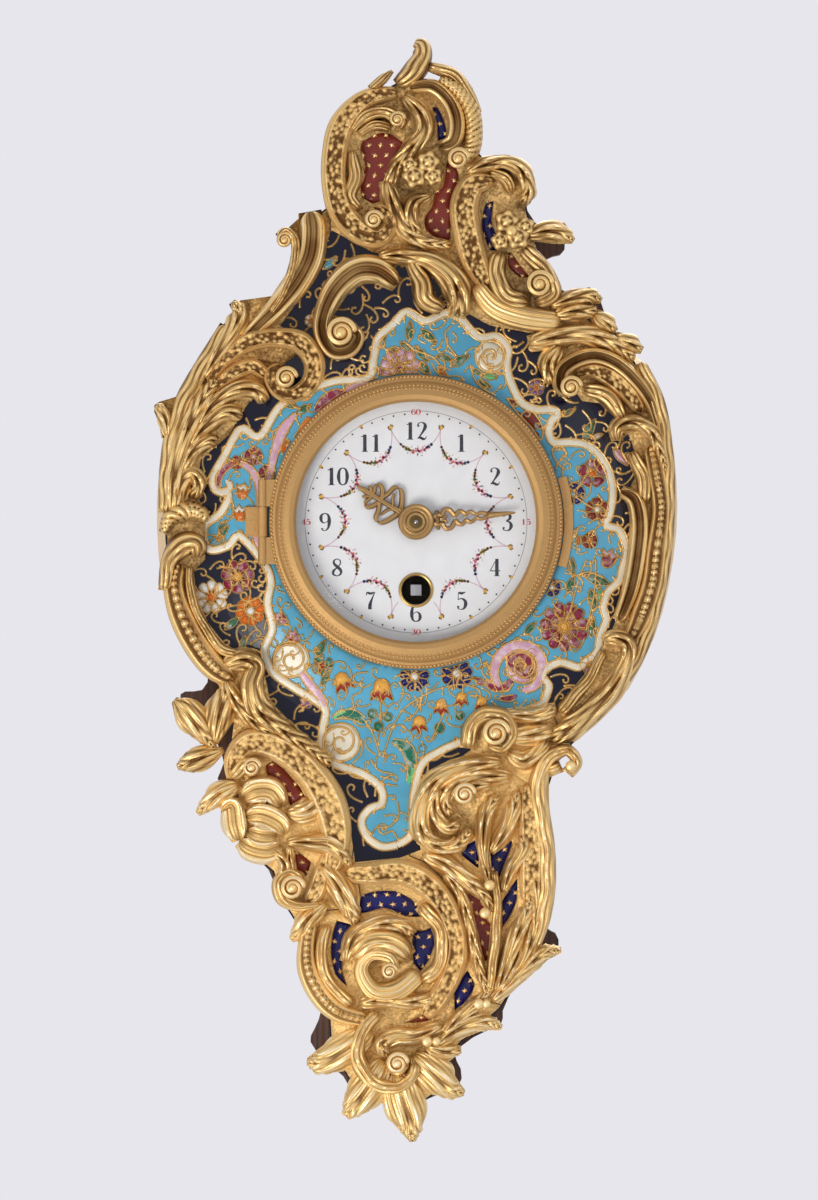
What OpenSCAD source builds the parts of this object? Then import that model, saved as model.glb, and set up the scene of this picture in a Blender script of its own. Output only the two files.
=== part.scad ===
// Small gilt-bronze cartel wall clock with an enamelled front and an eight-day platform movement.
// Sketch plane: x to the right, y up, depth d forward from the wall, dial axis at the middle.
// The part itself stands with +Z up and its front towards -Y; its origin is the hanging hole.

/* [Case] */
// Overall height of the case from finial to pendant tip
case_height = 354; // [345:1:365]
// Thickness of the wooden backboard
board_t = 8; // [7:0.5:10]
// Depth of the gilt side band between board and front plate
band_depth = 14; // [14:0.5:18]
// Wall thickness of the side band
band_wall = 2.2; // [1.6:0.2:3]
// Thickness of the enamelled front plate
plate_t = 2; // [1.5:0.25:2.5]
// Rise of the domed field from the flanks to the bezel
dome_rise = 5; // [4:0.25:6]
// Factor on the height of the cast ornament
relief = 1; // [0.85:0.05:1.15]
// Thickness of the pierced ground behind the ornament
ground_t = 1.2; // [0.8:0.2:1.6]
// Gap between neighbouring cast mounts
mount_gap = 0.3; // [0.2:0.1:0.6]

/* [Bezel and glass] */
// How far the milled bezel reaches past the edge of the dial
bezel_over = 6; // [5:0.25:6.5]
// Width of the dial's edge hidden by the bezel
dial_lap = 2.7; // [2:0.1:4]
// Thickness of the convex glass
glass_t = 1.6; // [1.2:0.2:2]
// Rise of the glass over its edge
glass_rise = 5.5; // [4:0.5:7]
// Diameter of the bezel hinge pin
hinge_pin_d = 1.6; // [1.2:0.1:1.8]
// Length of the bezel hinge
hinge_len = 27; // [22:0.5:30]

/* [Dial and hands] */
// Diameter of the enamel dial
dial_d = 82; // [80:0.2:82]
// Thickness of the enamel dial
dial_t = 1; // [0.8:0.1:1.2]
// Length of the minute hand from the centre
minute_len = 32.6; // [30:0.2:34]
// Length of the hour hand from the centre
hour_len = 21.7; // [20:0.1:23]
// Angle of the minute hand, clockwise from twelve
minute_at = 84.4; // [0:0.1:359]
// Angle of the hour hand, clockwise from twelve
hour_at = 301; // [0:0.5:359]

/* [Movement] */
// Clearance between the edge of the dial and the movement drum
drum_gap = 0.2; // [0.2:0.05:0.4]
// Thickness of the movement plates
mplate_t = 1.5; // [1.2:0.1:1.8]
// Clear space between the movement plates
plate_gap = 15; // [15:0.1:15.4]
// Width across the flats of the winding square
wind_sq = 3.4; // [3:0.1:3.4]
// Distance from the dial axis down to the winding square
wind_drop = 21.8; // [21.8:0.1:22.4]
// Diameter of the balance wheel
balance_d = 12.6; // [11:0.2:13]
// Running clearance of pivots and arbors, on the radius
run = 0.05; // [0.03:0.01:0.08]

/* [Hanging] */
// Height of the hanging hole over the dial axis
hang_y = 112; // [108:1:116]
// Diameter of the hanging hole
hang_d = 8; // [6:0.5:9]

/* [Hidden] */
$fn = 64;
k = case_height / 354;
d_band = board_t + band_depth;
d_face = d_band + plate_t;
d_seat = d_face + dome_rise;
dome_out = 73 * k;
dome_steps = 8;
dial_r = dial_d / 2;
drum_in = dial_r + drum_gap;
drum_out = drum_in + 0.8;
plate_hole = drum_out + 0.15;
// Depth of the front face of the front movement plate, and of the two plates
mv = d_seat - 7;
fp0 = mv - mplate_t;
bp1 = fp0 - plate_gap;
bp0 = bp1 - mplate_t;
mplate_r = drum_in - 0.3;
bplate_r = mplate_r - 2.4;
top_flat = 27;
// Wheel train: teeth, modules and places
m_bar = 0.4;
m_int = 0.42;
m_ctr = 0.34;
m_thd = 0.32;
m_can = 0.4;
n_bar = 72;
n_ip = 12;
n_int = 64;
n_cp = 8;
n_ctr = 64;
n_tp = 8;
n_thd = 60;
n_kp = 8;
n_crown = 60;
n_ep = 6;
n_can = 12;
n_min = 36;
n_mp = 10;
n_hour = 40;
n_rat = 24;
c_bar_int = m_bar * (n_bar + n_ip) / 2;
c_int_ctr = m_int * (n_int + n_cp) / 2;
c_ctr_thd = m_ctr * (n_ctr + n_tp) / 2;
c_thd_con = m_thd * (n_thd + n_kp) / 2;
c_motion = m_can * (n_can + n_min) / 2;
m_hour = 2 * c_motion / (n_mp + n_hour);
bar_p = [0, -wind_drop];
int_y = (c_bar_int * c_bar_int - c_int_ctr * c_int_ctr - wind_drop * wind_drop) / (2 * wind_drop);
int_p = [-sqrt(c_int_ctr * c_int_ctr - int_y * int_y), int_y];
thd_p = c_ctr_thd * [cos(45), sin(45)];
con_p = [0, thd_p[1] + sqrt(c_thd_con * c_thd_con - thd_p[0] * thd_p[0])];
min_p = c_motion * [cos(150), sin(150)];
crown_r = 9.7;
crown_in = 8.7;
crown_z = mv - 6.8;
crown_tooth = 1.1;
esc_r = 0.92;
esc_d = crown_z + 0.7 + esc_r;
esc_y0 = con_p[1] + 8.3;
plat_y = top_flat;
plat_t = 1.2;
esc_tip = 4;
lev_dir = [0.85, -0.527];
lev_p = [6.3 * lev_dir[0], esc_d + 6.3 * lev_dir[1]];
bal_p = [13.5 * lev_dir[0], esc_d + 13.5 * lev_dir[1]];
// Bezel hinge axis and bezel sizes
bezel_r = dial_r + bezel_over;
bezel_in = dial_r + 0.6;
sight_r = dial_r - dial_lap;
dome_in = bezel_r + 1.5;
hinge_x = -bezel_r - 2;
hinge_z = d_seat + 2.2;
knuckle_r = hinge_pin_d / 2 + 0.7;

// Scrolls and leaves of each mount, each a list of points: x, y, half-width and height
// Crest: C-scrolls, finial, acanthus, arch and buds
crest_sweeps = [
  [[-6, 137.5, 2.2, 6], [-16, 135.5, 3.2, 6], [-23.5, 127.5, 4.2, 6.5], [-26, 117.5, 4.2, 7],
  [-26, 108, 4.2, 7], [-23.5, 99, 4.4, 7.5], [-18, 93, 4.2, 8], [-12, 91, 3.2, 8.5],
  [-8, 95.5, 2.6, 9], [-11, 100, 2, 9], [-15, 99, 1.6, 9]],
  [[-20.5, 119, 1.2, 5], [-19, 111, 2.8, 5.5], [-21, 104.5, 2.2, 5.5], [-18, 100, 1.6, 5.5]],
  [[-20.5, 125, 1, 6], [-16.5, 129.5, 2.2, 7], [-10, 131, 2.2, 8], [-5.5, 128.5, 2.6, 8.5],
  [-6, 126, 1.6, 8]],
  [[-18.5, 124, 1.2, 5], [-13.5, 127, 2, 6], [-8, 126, 1.6, 6]],
  [[-6, 140, 2.2, 6], [-0.5, 144.5, 3.8, 8], [2, 149, 3.2, 9], [1.5, 152.5, 2.8, 9],
  [-0.5, 153.5, 1.2, 8]],
  [[-14.5, 138.5, 1.6, 5], [-10.5, 142, 1.6, 5.5], [-7.5, 144.5, 0.6, 5]],
  [[-2, 139, 2, 6], [5, 139.5, 2.6, 7], [10.5, 135, 2.8, 7], [13, 128.5, 3.2, 7],
  [12, 122, 2.8, 7], [7.5, 120, 2.2, 6]],
  [[7.5, 142, 1.6, 6], [13.5, 138, 2.6, 7], [17.5, 132, 2.8, 7.5], [18.5, 125, 2.8, 7.5],
  [17.5, 119, 2.8, 8], [13.5, 115.5, 2.8, 8.5]],
  [[4, 146, 1.6, 5], [11.5, 143.5, 2.2, 5], [16.5, 138, 2, 5], [20, 131, 1.2, 4]],
  [[-4, 136.5, 2, 6], [1.5, 130.5, 3.6, 7.5], [2.5, 125, 3.8, 8], [-1.5, 119.5, 3.2, 8],
  [-6, 114, 2.6, 7], [-8.5, 107.5, 2.6, 6.5]],
  [[-9.5, 109.5, 2.6, 6], [-7.5, 101.5, 3.6, 7], [-4, 93.5, 3.6, 7], [3, 89.5, 2.6, 6],
  [11.5, 88.5, 1.6, 5]],
  [[5, 104.5, 1.2, 6], [-0.5, 102.5, 2.8, 7], [-1.5, 96.5, 2.8, 6.5], [1.5, 91.5, 1.6, 6]],
  [[25, 109.5, 2.2, 6.5], [18.5, 108, 4.2, 7], [15.5, 101.5, 4.8, 7.5], [16.5, 92, 4.8, 7.5],
  [19, 83, 4.4, 7.5], [22.5, 75.5, 2.6, 6]],
  [[16, 111.5, 2, 7], [22, 114, 2.8, 8], [28.5, 115, 2.8, 9], [33.5, 112.5, 3.2, 8.5],
  [36, 106, 2.6, 8], [33.5, 102, 2, 7]],
  [[23.5, 112, 1.6, 7], [28.5, 110, 2.2, 7.5], [30.5, 105.5, 2, 7]],
  [[35, 91.5, 2, 5.5], [41.5, 93, 3.2, 6], [46.5, 92.5, 3.6, 6], [50.5, 90, 1, 4.5]],
  [[34, 88, 2.6, 6], [38.5, 83.5, 2.8, 6.5], [42.5, 78.5, 2.6, 7], [44, 73, 2.6, 7],
  [38.5, 70, 2.6, 7]],
  [[27, 86.5, 2.8, 5.5], [25.5, 79, 3.6, 6], [29, 72.5, 3.6, 6.5], [36, 70, 3.2, 6.5]],
  [[19, 76, 2.8, 5.5], [25, 69, 3.8, 6], [34.5, 65.5, 4.2, 6.5], [46.5, 64, 3.6, 6]],
  [[43, 69, 1.6, 5], [50, 71.5, 2.8, 6], [55.5, 72.5, 2.8, 6], [59.5, 71, 1, 4.5]],
  [[44, 66, 1.6, 5], [51, 67.5, 3.6, 6.5], [58, 67.5, 1.6, 5]],
  [[57, 66.5, 2.2, 5], [60.5, 64, 3.2, 6], [64, 61, 1.2, 5]],
  [[63.5, 59, 2.2, 5], [68.5, 57, 3.2, 6], [72.5, 55, 1.2, 5]],
  [[-6, 76, 2.6, 5.5], [-12, 80.5, 4.4, 7.5], [-19, 80.5, 4.8, 8], [-25.5, 75, 4.2, 8.5],
  [-29.5, 67, 3.2, 8.5], [-30, 60, 2.8, 8.5], [-26.5, 54.5, 2.6, 8.5], [-21, 55, 2.6, 8.5],
  [-18.5, 59.5, 2.2, 8.5], [-22, 63, 2, 8.5]],
  [[-12, 85, 2, 6], [-3.5, 85, 2.8, 7.5], [5, 83, 3.6, 8.5], [11.5, 77.5, 4.8, 9],
  [14, 70.5, 4.2, 9], [13, 65.5, 2.8, 8]],
  [[-2, 84, 2, 6], [1.5, 77.5, 3.2, 7.5], [3, 71.5, 3.6, 8], [8.5, 68, 2.2, 7]]
];
// Bosses of the crest: x, y, radius and height
crest_eyes = [
  [-13.5, 96.5, 2.2, 10], [-6, 128.5, 2, 9.5], [4, 115, 3.6, 9.5], [-0.5, 110.5, 3.8, 9],
  [5.5, 110.5, 2.8, 9], [-2, 114, 2.6, 8.5], [13.5, 116, 2.6, 9], [29, 96, 3.8, 8],
  [32.5, 91, 3.8, 8.5], [27, 90, 2.8, 7.5], [35, 94.5, 2.8, 8], [30.5, 93, 1.6, 9.5],
  [39.5, 76, 3.2, 8.5], [-24, 60.5, 3.6, 9.5]
];
// Left flank: strap, volute, acanthus, beaded channel and leaf sprig
left_sweeps = [
  [[-34, 99.5, 3.8, 6], [-33, 93.5, 4.4, 7], [-34, 85, 4.8, 7], [-38, 77, 4.4, 7],
  [-43.5, 70, 3.8, 7], [-50, 63.5, 2.8, 6], [-55.5, 58, 2, 5]],
  [[-46.5, 67, 1, 6], [-42, 74, 1.2, 7], [-39, 83, 1.6, 8], [-38.5, 89.5, 1.6, 8.5],
  [-41.5, 93, 1.6, 9], [-44, 91, 1.6, 9]],
  [[-68, 46, 2.2, 4], [-63, 54.5, 3.2, 5], [-58, 62.5, 3.6, 5.5], [-56.5, 67.5, 2.8, 6],
  [-59, 70.5, 1.2, 5]],
  [[-61, 63, 2, 3.5], [-67.5, 51, 2.8, 4], [-74, 39, 3.2, 4.5], [-78, 27, 2.8, 4.5],
  [-79.5, 15, 2.8, 4.5], [-80, 3, 2.6, 4.5]],
  [[-66.5, 44.5, 1.2, 5], [-61, 52, 2.2, 6], [-54, 57.5, 3.2, 7], [-45, 59, 3.2, 8],
  [-37, 57.5, 3.8, 8.5], [-32.5, 51, 3.8, 8.5], [-34, 44, 3.6, 8.5], [-40, 40.5, 2.8, 8.5],
  [-45, 43, 2.6, 8.5], [-46.5, 47.5, 2.2, 8.5], [-43, 50, 1.6, 8.5]],
  [[-65.5, 42, 1.6, 5], [-59, 47.5, 2.6, 6], [-52.5, 50, 2.6, 6.5], [-47.5, 46.5, 2, 6.5]],
  [[-69.5, 30.5, 2.2, 5], [-65, 37.5, 3.2, 6], [-58, 42, 3.2, 7], [-51, 42, 3.6, 7.5],
  [-48.5, 38, 2.6, 7]],
  [[-72.5, 24, 2.6, 5], [-67.5, 30.5, 3.2, 6], [-61, 35, 3.2, 7], [-55.5, 33.5, 2.6, 6.5]],
  [[-75, 16, 2.6, 5], [-71.5, 22.5, 2.8, 6], [-66.5, 26, 2.6, 6.5], [-63.5, 25.5, 2, 6]],
  [[-77, 3, 2.8, 5], [-75.5, 12, 3.8, 5.5], [-72, 15.5, 2.8, 6], [-69.5, 12, 2.6, 6.5],
  [-71.5, 7.5, 2, 6]],
  [[-78.5, 3, 2.8, 5], [-77, 16.5, 4.2, 6], [-73, 29.5, 4.4, 6.5], [-67.5, 40.5, 3.2, 6],
  [-63.5, 46, 2, 5]],
  [[-79.5, 27, 2, 4.5], [-80, 32.5, 2.6, 5], [-82, 36.5, 2.2, 5], [-83, 38, 1, 4]],
  [[-81, -3.5, 1.6, 6], [-78.5, 1.5, 2.8, 7.5], [-73.5, 3.5, 3.6, 8.5], [-69, 2.5, 2.8, 8.5],
  [-67, 0, 1.6, 8]],
  [[-80.5, -22, 2.2, 6], [-79, -13, 2.8, 7.5], [-75, -7.5, 4.2, 8.5], [-70.5, -7.5, 3.8, 9],
  [-70, -11.5, 2.2, 8]],
  [[-76, -13, 2.8, 5], [-77.5, -20, 3.6, 6], [-75, -30, 4.2, 6], [-70, -39.5, 4.4, 6.5],
  [-64.5, -46.5, 4.2, 6.5], [-58.5, -50.5, 2.8, 6]],
  [[-72.5, -14, 1.2, 5.5], [-72, -23.5, 1.6, 6], [-68, -33, 1.6, 6], [-62.5, -40.5, 2, 6],
  [-57, -42.5, 1.6, 6]],
  [[-62, -46, 2.8, 6], [-55.5, -44, 3.8, 7.5], [-51, -46, 3.2, 8.5], [-52.5, -52, 4.8, 9],
  [-50.5, -60, 4.8, 8.5], [-43.5, -66, 3.8, 7.5], [-35.5, -71.5, 2.8, 6.5], [-27, -77.5, 2, 5]],
  [[-61, -50.5, 2.8, 6], [-58, -57, 2.8, 6.5], [-52.5, -63.5, 2.6, 6.5], [-44.5, -69, 2, 6]],
  [[-77.5, -57, 1.2, 4], [-73.5, -60.5, 4.8, 5], [-69, -66.5, 3.8, 5.5], [-64.5, -72.5, 1, 5]],
  [[-64.5, -71, 1.2, 5], [-63.5, -64, 4.2, 6], [-62, -58, 4.4, 6.5], [-60.5, -53, 2, 6]],
  [[-61.5, -73, 1, 5], [-67, -75, 3.6, 5.5], [-72.5, -77, 3.6, 5], [-76.5, -78.5, 1, 4]]
];
// Bosses of the left flank
left_eyes = [
  [-42, 90, 2, 9.5], [-41.5, 46, 2.6, 9.5]
];
// Right flank: volute head, rim, ribbed channel and inner strap
right_sweeps = [
  [[50, 41.5, 2.6, 8], [46.5, 43.5, 2.8, 9], [47, 48.5, 2.8, 9], [52, 52, 2.8, 9],
  [58, 53, 2.8, 8.5], [64.5, 50.5, 2.8, 8], [70.5, 45, 2.6, 7.5], [75, 38.5, 2.2, 6.5],
  [77.5, 30.5, 1.6, 5.5]],
  [[51, 46.5, 2.2, 6.5], [56.5, 48.5, 2.6, 7.5], [62.5, 46, 3.6, 7.5], [68.5, 40.5, 3.2, 7],
  [72.5, 35, 2.4, 6.2]],
  [[53.5, 42.5, 2.2, 6.5], [59, 41.5, 2.8, 7.5], [63.5, 37.5, 2.8, 7.5], [66.5, 33, 1.6, 6.5]],
  [[71.5, 51, 2.2, 4], [77, 39, 2.6, 4.5], [79.5, 26, 2.6, 4.5], [80.5, 10, 2.6, 4.5],
  [79.5, -9, 2.6, 4.5], [76, -28, 2.6, 4.5], [69.5, -45, 2.6, 4.5], [59, -59, 2.6, 4.5],
  [50.5, -68, 2, 4.5]],
  [[64.5, 26, 2, 7], [64.5, 30, 2.8, 9], [69.5, 32, 3.2, 9], [75, 29, 2.8, 8], [78, 23, 2.2, 7],
  [80, 16, 1.2, 5.5]],
  [[75, 24.5, 2.8, 5.5], [77, 15, 3.6, 6.5], [78.5, 4, 3.2, 6.5], [77, -9, 3.8, 6.5],
  [75.5, -20, 3.8, 6.5], [72, -30.5, 3.8, 6.5], [68.5, -38, 2.6, 6]],
  [[60, -38, 2, 7.5], [63.5, -37, 2.8, 8.5], [68, -39.5, 3.2, 8.5], [67, -46, 3.2, 7.5],
  [62.5, -54, 3.8, 7], [56.5, -60, 4.2, 6.5], [50, -65.5, 4.2, 6.5], [43, -69.5, 3.2, 6]],
  [[65.5, 10, 2, 6.5], [70, 7, 2.8, 7.5], [71.5, -1, 3.2, 7.5], [70.5, -12, 3.2, 7.5],
  [68.5, -22, 2.8, 7.5], [65, -31.5, 2.2, 6.5]],
  [[69, 22.5, 2, 6.5], [72.5, 15, 2.6, 6.5], [73.5, 6.5, 2.2, 6.5]],
  [[60, -41.5, 1.6, 6], [55.5, -50, 2, 6], [50.5, -56, 2.2, 6], [46, -61, 2.2, 6]],
  [[36, 57, 2.8, 6], [44.5, 59, 3.8, 6.5], [54, 60, 3.8, 6.5], [62.5, 57.5, 3.2, 6],
  [70, 52, 2, 4.5]],
  [[46.5, 56.5, 2.8, 6], [42.5, 51, 3.6, 6.5], [43, 44, 2.2, 6.5]]
];
// Bosses of the right flank
right_eyes = [
  [49.5, 43, 2.6, 10]
];
// Lower left: C-scroll, rose with its leaves and a small volute
rose_sweeps = [
  [[-58.5, -82.5, 2.2, 6], [-58, -75.5, 3.6, 7], [-52.5, -70.5, 4.4, 8], [-43.5, -72.5, 4.8, 8],
  [-34.5, -79.5, 5.2, 8], [-28, -90, 5.8, 8], [-25.5, -102, 4.8, 7.5], [-27.5, -112, 2.8, 6.5]],
  [[-59, -82, 2.2, 7], [-54.5, -77.5, 2.8, 8.5], [-52, -81.5, 2.6, 8]],
  [[-55.5, -88.5, 3.2, 8], [-51, -86, 4.8, 10], [-46, -86.5, 4.4, 10], [-43, -91, 2.6, 8]],
  [[-62, -93, 2, 6], [-59, -91, 3.6, 8.5], [-58, -97, 4.4, 9], [-56.5, -102, 2.6, 8]],
  [[-54.5, -94.5, 2.6, 9], [-49.5, -94, 4.4, 12], [-44, -96.5, 4.2, 11], [-42, -100, 2.2, 9]],
  [[-56.5, -102, 2.6, 8], [-53, -104.5, 4.2, 9], [-47.5, -105.5, 4.2, 9], [-43, -103.5, 2.8, 8]],
  [[-54, -99, 2.8, 10], [-49.5, -100.5, 3.8, 11.5], [-44.5, -100.5, 2.8, 10.5]],
  [[-56.5, -84, 2, 5], [-62, -86.5, 3.8, 6], [-66.5, -90, 2.8, 5.5], [-70, -93.5, 1, 4]],
  [[-41.5, -93, 1.2, 6], [-36.5, -93, 4.2, 7], [-32.5, -91, 3.6, 7], [-30, -88.5, 1.2, 6]],
  [[-41.5, -102.5, 1.2, 6], [-34.5, -102.5, 2.8, 7], [-27, -103.5, 4.2, 8],
  [-20.5, -110, 1.2, 6.5]],
  [[-30.5, -110, 1.6, 6], [-26, -115, 3.8, 7], [-22.5, -121, 4.4, 7], [-19, -128.5, 1.6, 5.5]],
  [[-46, -105, 2, 6], [-42, -109.5, 2.6, 6.5], [-42.5, -115, 2.6, 6.5]],
  [[-40.5, -103.5, 1.2, 6], [-40.5, -109, 2, 5], [-40, -114.5, 1.6, 5]],
  [[-30.5, -122.5, 1.2, 6], [-37, -123, 2, 7], [-42.5, -120.5, 2.6, 7.5], [-44, -115.5, 2.2, 8],
  [-40.5, -112.5, 2, 8], [-36.5, -114.5, 2, 8]],
  [[-27, -105, 2.6, 5.5], [-30, -112, 2.8, 6], [-32, -118, 3.2, 6], [-35, -122.5, 2, 5.5]],
  [[-28.5, -122, 1.6, 5.5], [-34, -126.5, 3.8, 6.5], [-37.5, -131.5, 2.8, 6], [-40, -134, 1, 4.5]]
];
// Bosses of the rose mount
rose_eyes = [
  [-39.5, -117, 2.8, 9], [-52.5, -78.5, 2.2, 9]
];
// Lower right: acanthus scroll, strap volute and reeds
reed_sweeps = [
  [[27.5, -77, 2.2, 6.5], [17.5, -78, 3.6, 7.5], [7.5, -82, 3.8, 8.5], [2.5, -89, 3.6, 8.5],
  [1.5, -97.5, 3.8, 8.5], [6, -103.5, 3.2, 8.5], [13.5, -103, 2.8, 8.5], [17.5, -98, 2, 8]],
  [[30.5, -81.5, 2.2, 6.5], [21, -81.5, 3.2, 8], [13, -84, 2.8, 9], [9.5, -89.5, 2.6, 9],
  [11.5, -94, 2, 8.5]],
  [[24.5, -84, 2.2, 7], [18.5, -84.5, 2.8, 9], [15, -87.5, 2.8, 10]],
  [[7, -84.5, 2.6, 7.5], [6, -91.5, 2.8, 8], [9.5, -97.5, 2.8, 8], [14.5, -96.5, 2, 8]],
  [[16.5, -72.5, 2.6, 6.5], [17.5, -66, 2.8, 8], [22, -61.5, 2.8, 9], [28, -62.5, 2.8, 9],
  [30.5, -68, 2.6, 9], [27.5, -72, 2.2, 9], [23, -70.5, 2, 9.5]],
  [[28.5, -61.5, 2, 6.5], [36.5, -62, 2.8, 6.5], [41.5, -61, 2.8, 6.5], [45, -59, 1.6, 5.5]],
  [[29.5, -69, 2.8, 6.5], [37.5, -68, 3.8, 7], [44, -66.5, 2.8, 6.5]],
  [[29.5, -73.5, 2.2, 6.5], [34, -76.5, 3.2, 7], [38.5, -74, 2.8, 7], [42, -70, 2.6, 6]],
  [[48.5, -80.5, 2.2, 8], [51.5, -77, 2, 9], [48.5, -73, 2, 9], [43, -75.5, 2.6, 8],
  [39.5, -81.5, 3.2, 7], [39.5, -91, 3.2, 7], [41.5, -102.5, 2.8, 7], [42, -114.5, 2.8, 7],
  [40.5, -126, 2.8, 6.5], [38, -136, 2, 5.5]],
  [[42, -80, 2, 7], [46.5, -78, 2.2, 8]],
  [[23.5, -116, 1.2, 6], [21.5, -104.5, 2.2, 7], [22.5, -93, 3.2, 8], [26.5, -87.5, 2, 7]],
  [[24, -106, 1.2, 6], [28, -100, 2.8, 8], [31.5, -91.5, 2.8, 8], [32.5, -86, 1.2, 7]],
  [[28, -118.5, 1.2, 6], [30.5, -111, 2.6, 7], [34.5, -104.5, 2.8, 7.5], [33.5, -100, 1.6, 6.5]],
  [[23.5, -150, 1.6, 6.5], [25.5, -134, 2, 7], [26, -121, 1.6, 7], [25, -112, 1.2, 6.5]],
  [[26, -150.5, 1.6, 6.5], [30.5, -137, 3.2, 7.5], [35, -126, 2.8, 8], [37, -119.5, 1, 6]],
  [[27, -150.5, 1.6, 6], [35, -139, 2.8, 6.5], [38.5, -126.5, 2.6, 6.5], [38.5, -114.5, 2.6, 6.5]],
  [[35, -84, 2, 6.5], [36, -93, 3.2, 6.5], [37, -103.5, 4.2, 6.5], [37, -114.5, 4.2, 6.5],
  [36, -122.5, 2.6, 6]],
  [[24, -153.5, 2, 6], [33, -144.5, 3.2, 6.5], [41, -138, 2.6, 6], [46.5, -137, 1, 4.5]],
  [[2, -106, 2.2, 6.5], [9.5, -109.5, 3.6, 7], [16, -114.5, 3.6, 7], [22, -119.5, 2.2, 7],
  [24.5, -125, 1.6, 6.5]],
  [[9, -112, 2, 6.5], [14, -118.5, 2.2, 6.5], [16.5, -126.5, 2.2, 6.5], [18.5, -135.5, 2.2, 6.5],
  [21, -145.5, 2, 6.5], [23.5, -151.5, 1.6, 6]]
];
// Bosses of the reed mount
reed_eyes = [
  [25.5, -67.5, 3.2, 11], [15.5, -87, 2.6, 11], [23.5, -116, 1.6, 8.5], [22, -125, 1.6, 8.5],
  [49.5, -78, 1.6, 9.5]
];
// Base: ring scroll, ball scroll and pendant shell
base_sweeps = [
  [[-33.5, -128, 2.2, 6], [-35, -135.5, 2.8, 6.5], [-34.5, -143.5, 3.6, 7],
  [-30.5, -151.5, 3.8, 7], [-24.5, -157, 3.6, 7], [-15.5, -159.5, 2.6, 6.5]],
  [[-28.5, -129, 2, 6], [-30.5, -138.5, 2.2, 7], [-27.5, -148, 2.2, 7], [-20.5, -154.5, 2.2, 7]],
  [[-22.5, -112.5, 2.8, 6.5], [-14.5, -112.5, 3.8, 7.5], [-5, -112, 4.2, 8], [3.5, -116, 4.4, 8.5],
  [9.5, -123.5, 4.2, 8.5], [13, -134, 3.8, 8.5], [11.5, -144, 3.8, 8.5], [7, -152.5, 3.6, 8],
  [2.5, -158, 2.6, 6.5]],
  [[1.5, -122.5, 2.6, 7], [7, -129, 2.6, 8], [8.5, -135.5, 2.6, 8], [7, -142.5, 2.6, 8],
  [2, -147, 2.6, 8]],
  [[1.5, -144, 3.2, 7.5], [-6, -150, 3.8, 8.5], [-13.5, -150, 3.2, 8.5], [-17.5, -143.5, 2.6, 9],
  [-14.5, -138.5, 2.2, 10], [-8.5, -139, 2.2, 11], [-6.5, -143, 1.6, 11]],
  [[-22.5, -141, 2.2, 6], [-19.5, -132.5, 3.2, 7.5], [-13, -129, 3.2, 8.5], [-5, -129, 2.8, 8],
  [-1, -132.5, 2, 7]],
  [[-20.5, -140, 3.8, 8], [-14.5, -135.5, 5.2, 10], [-7.5, -135.5, 5.4, 10.5],
  [-2.5, -140, 3.6, 9]],
  [[-18.5, -154, 2.6, 6.5], [-10, -153, 2.8, 7.5], [-1.5, -153.5, 2.8, 7.5], [6, -152.5, 2.2, 7]],
  [[-14, -162.5, 3.8, 6], [-22.5, -169, 5.4, 6], [-30, -173, 4.4, 5], [-35, -173, 1.2, 4]],
  [[-10, -172, 4.4, 6], [-14.5, -180, 5.8, 6], [-19, -186, 4.8, 5], [-22.5, -190.5, 1.6, 4]],
  [[-6, -175.5, 4.4, 6], [-4.5, -183.5, 6.4, 6], [-2, -191.5, 5.4, 5], [-1, -198.5, 1, 4]],
  [[-1, -170.5, 4.4, 6], [6, -177, 5.8, 6], [11, -181.5, 3.8, 5], [15.5, -183, 1, 4]],
  [[3, -167.5, 2.6, 6], [9.5, -169.5, 3.2, 5], [14.5, -169, 1.2, 4]],
  [[-12, -157, 2.2, 7], [-17.5, -163.5, 2.6, 8], [-18.5, -171.5, 2.8, 8.5],
  [-14.5, -178.5, 2.8, 8.5], [-6.5, -181, 2.6, 8.5], [-1.5, -177.5, 2.2, 8.5], [0, -173, 2, 8.5]],
  [[-10, -174, 2.8, 8], [-6, -173.5, 4.4, 9.5], [-2, -173, 2.8, 8.5]],
  [[8.5, -161, 2, 6.5], [0, -164.5, 3.2, 7.5], [-6.5, -164.5, 3.6, 8.5], [-11, -167, 2.8, 9],
  [-9, -171, 2, 9]],
  [[6, -167.5, 2, 6], [14, -162, 3.6, 6], [22, -160, 2.8, 5.5], [27.5, -162, 1, 4.5]],
  [[8.5, -164, 1.6, 6], [14.5, -158, 2.6, 6.5], [20.5, -153, 2.2, 6.5], [25, -148, 1.2, 6]]
];
// Bosses of the base
base_eyes = [
  [-8.5, -143.5, 2, 12], [-6, -173, 2.6, 10.5], [3.5, -166, 1.6, 8], [6.5, -166, 1.2, 8],
  [20, -154, 1.6, 8], [22.5, -154, 1.2, 7.5]
];
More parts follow.
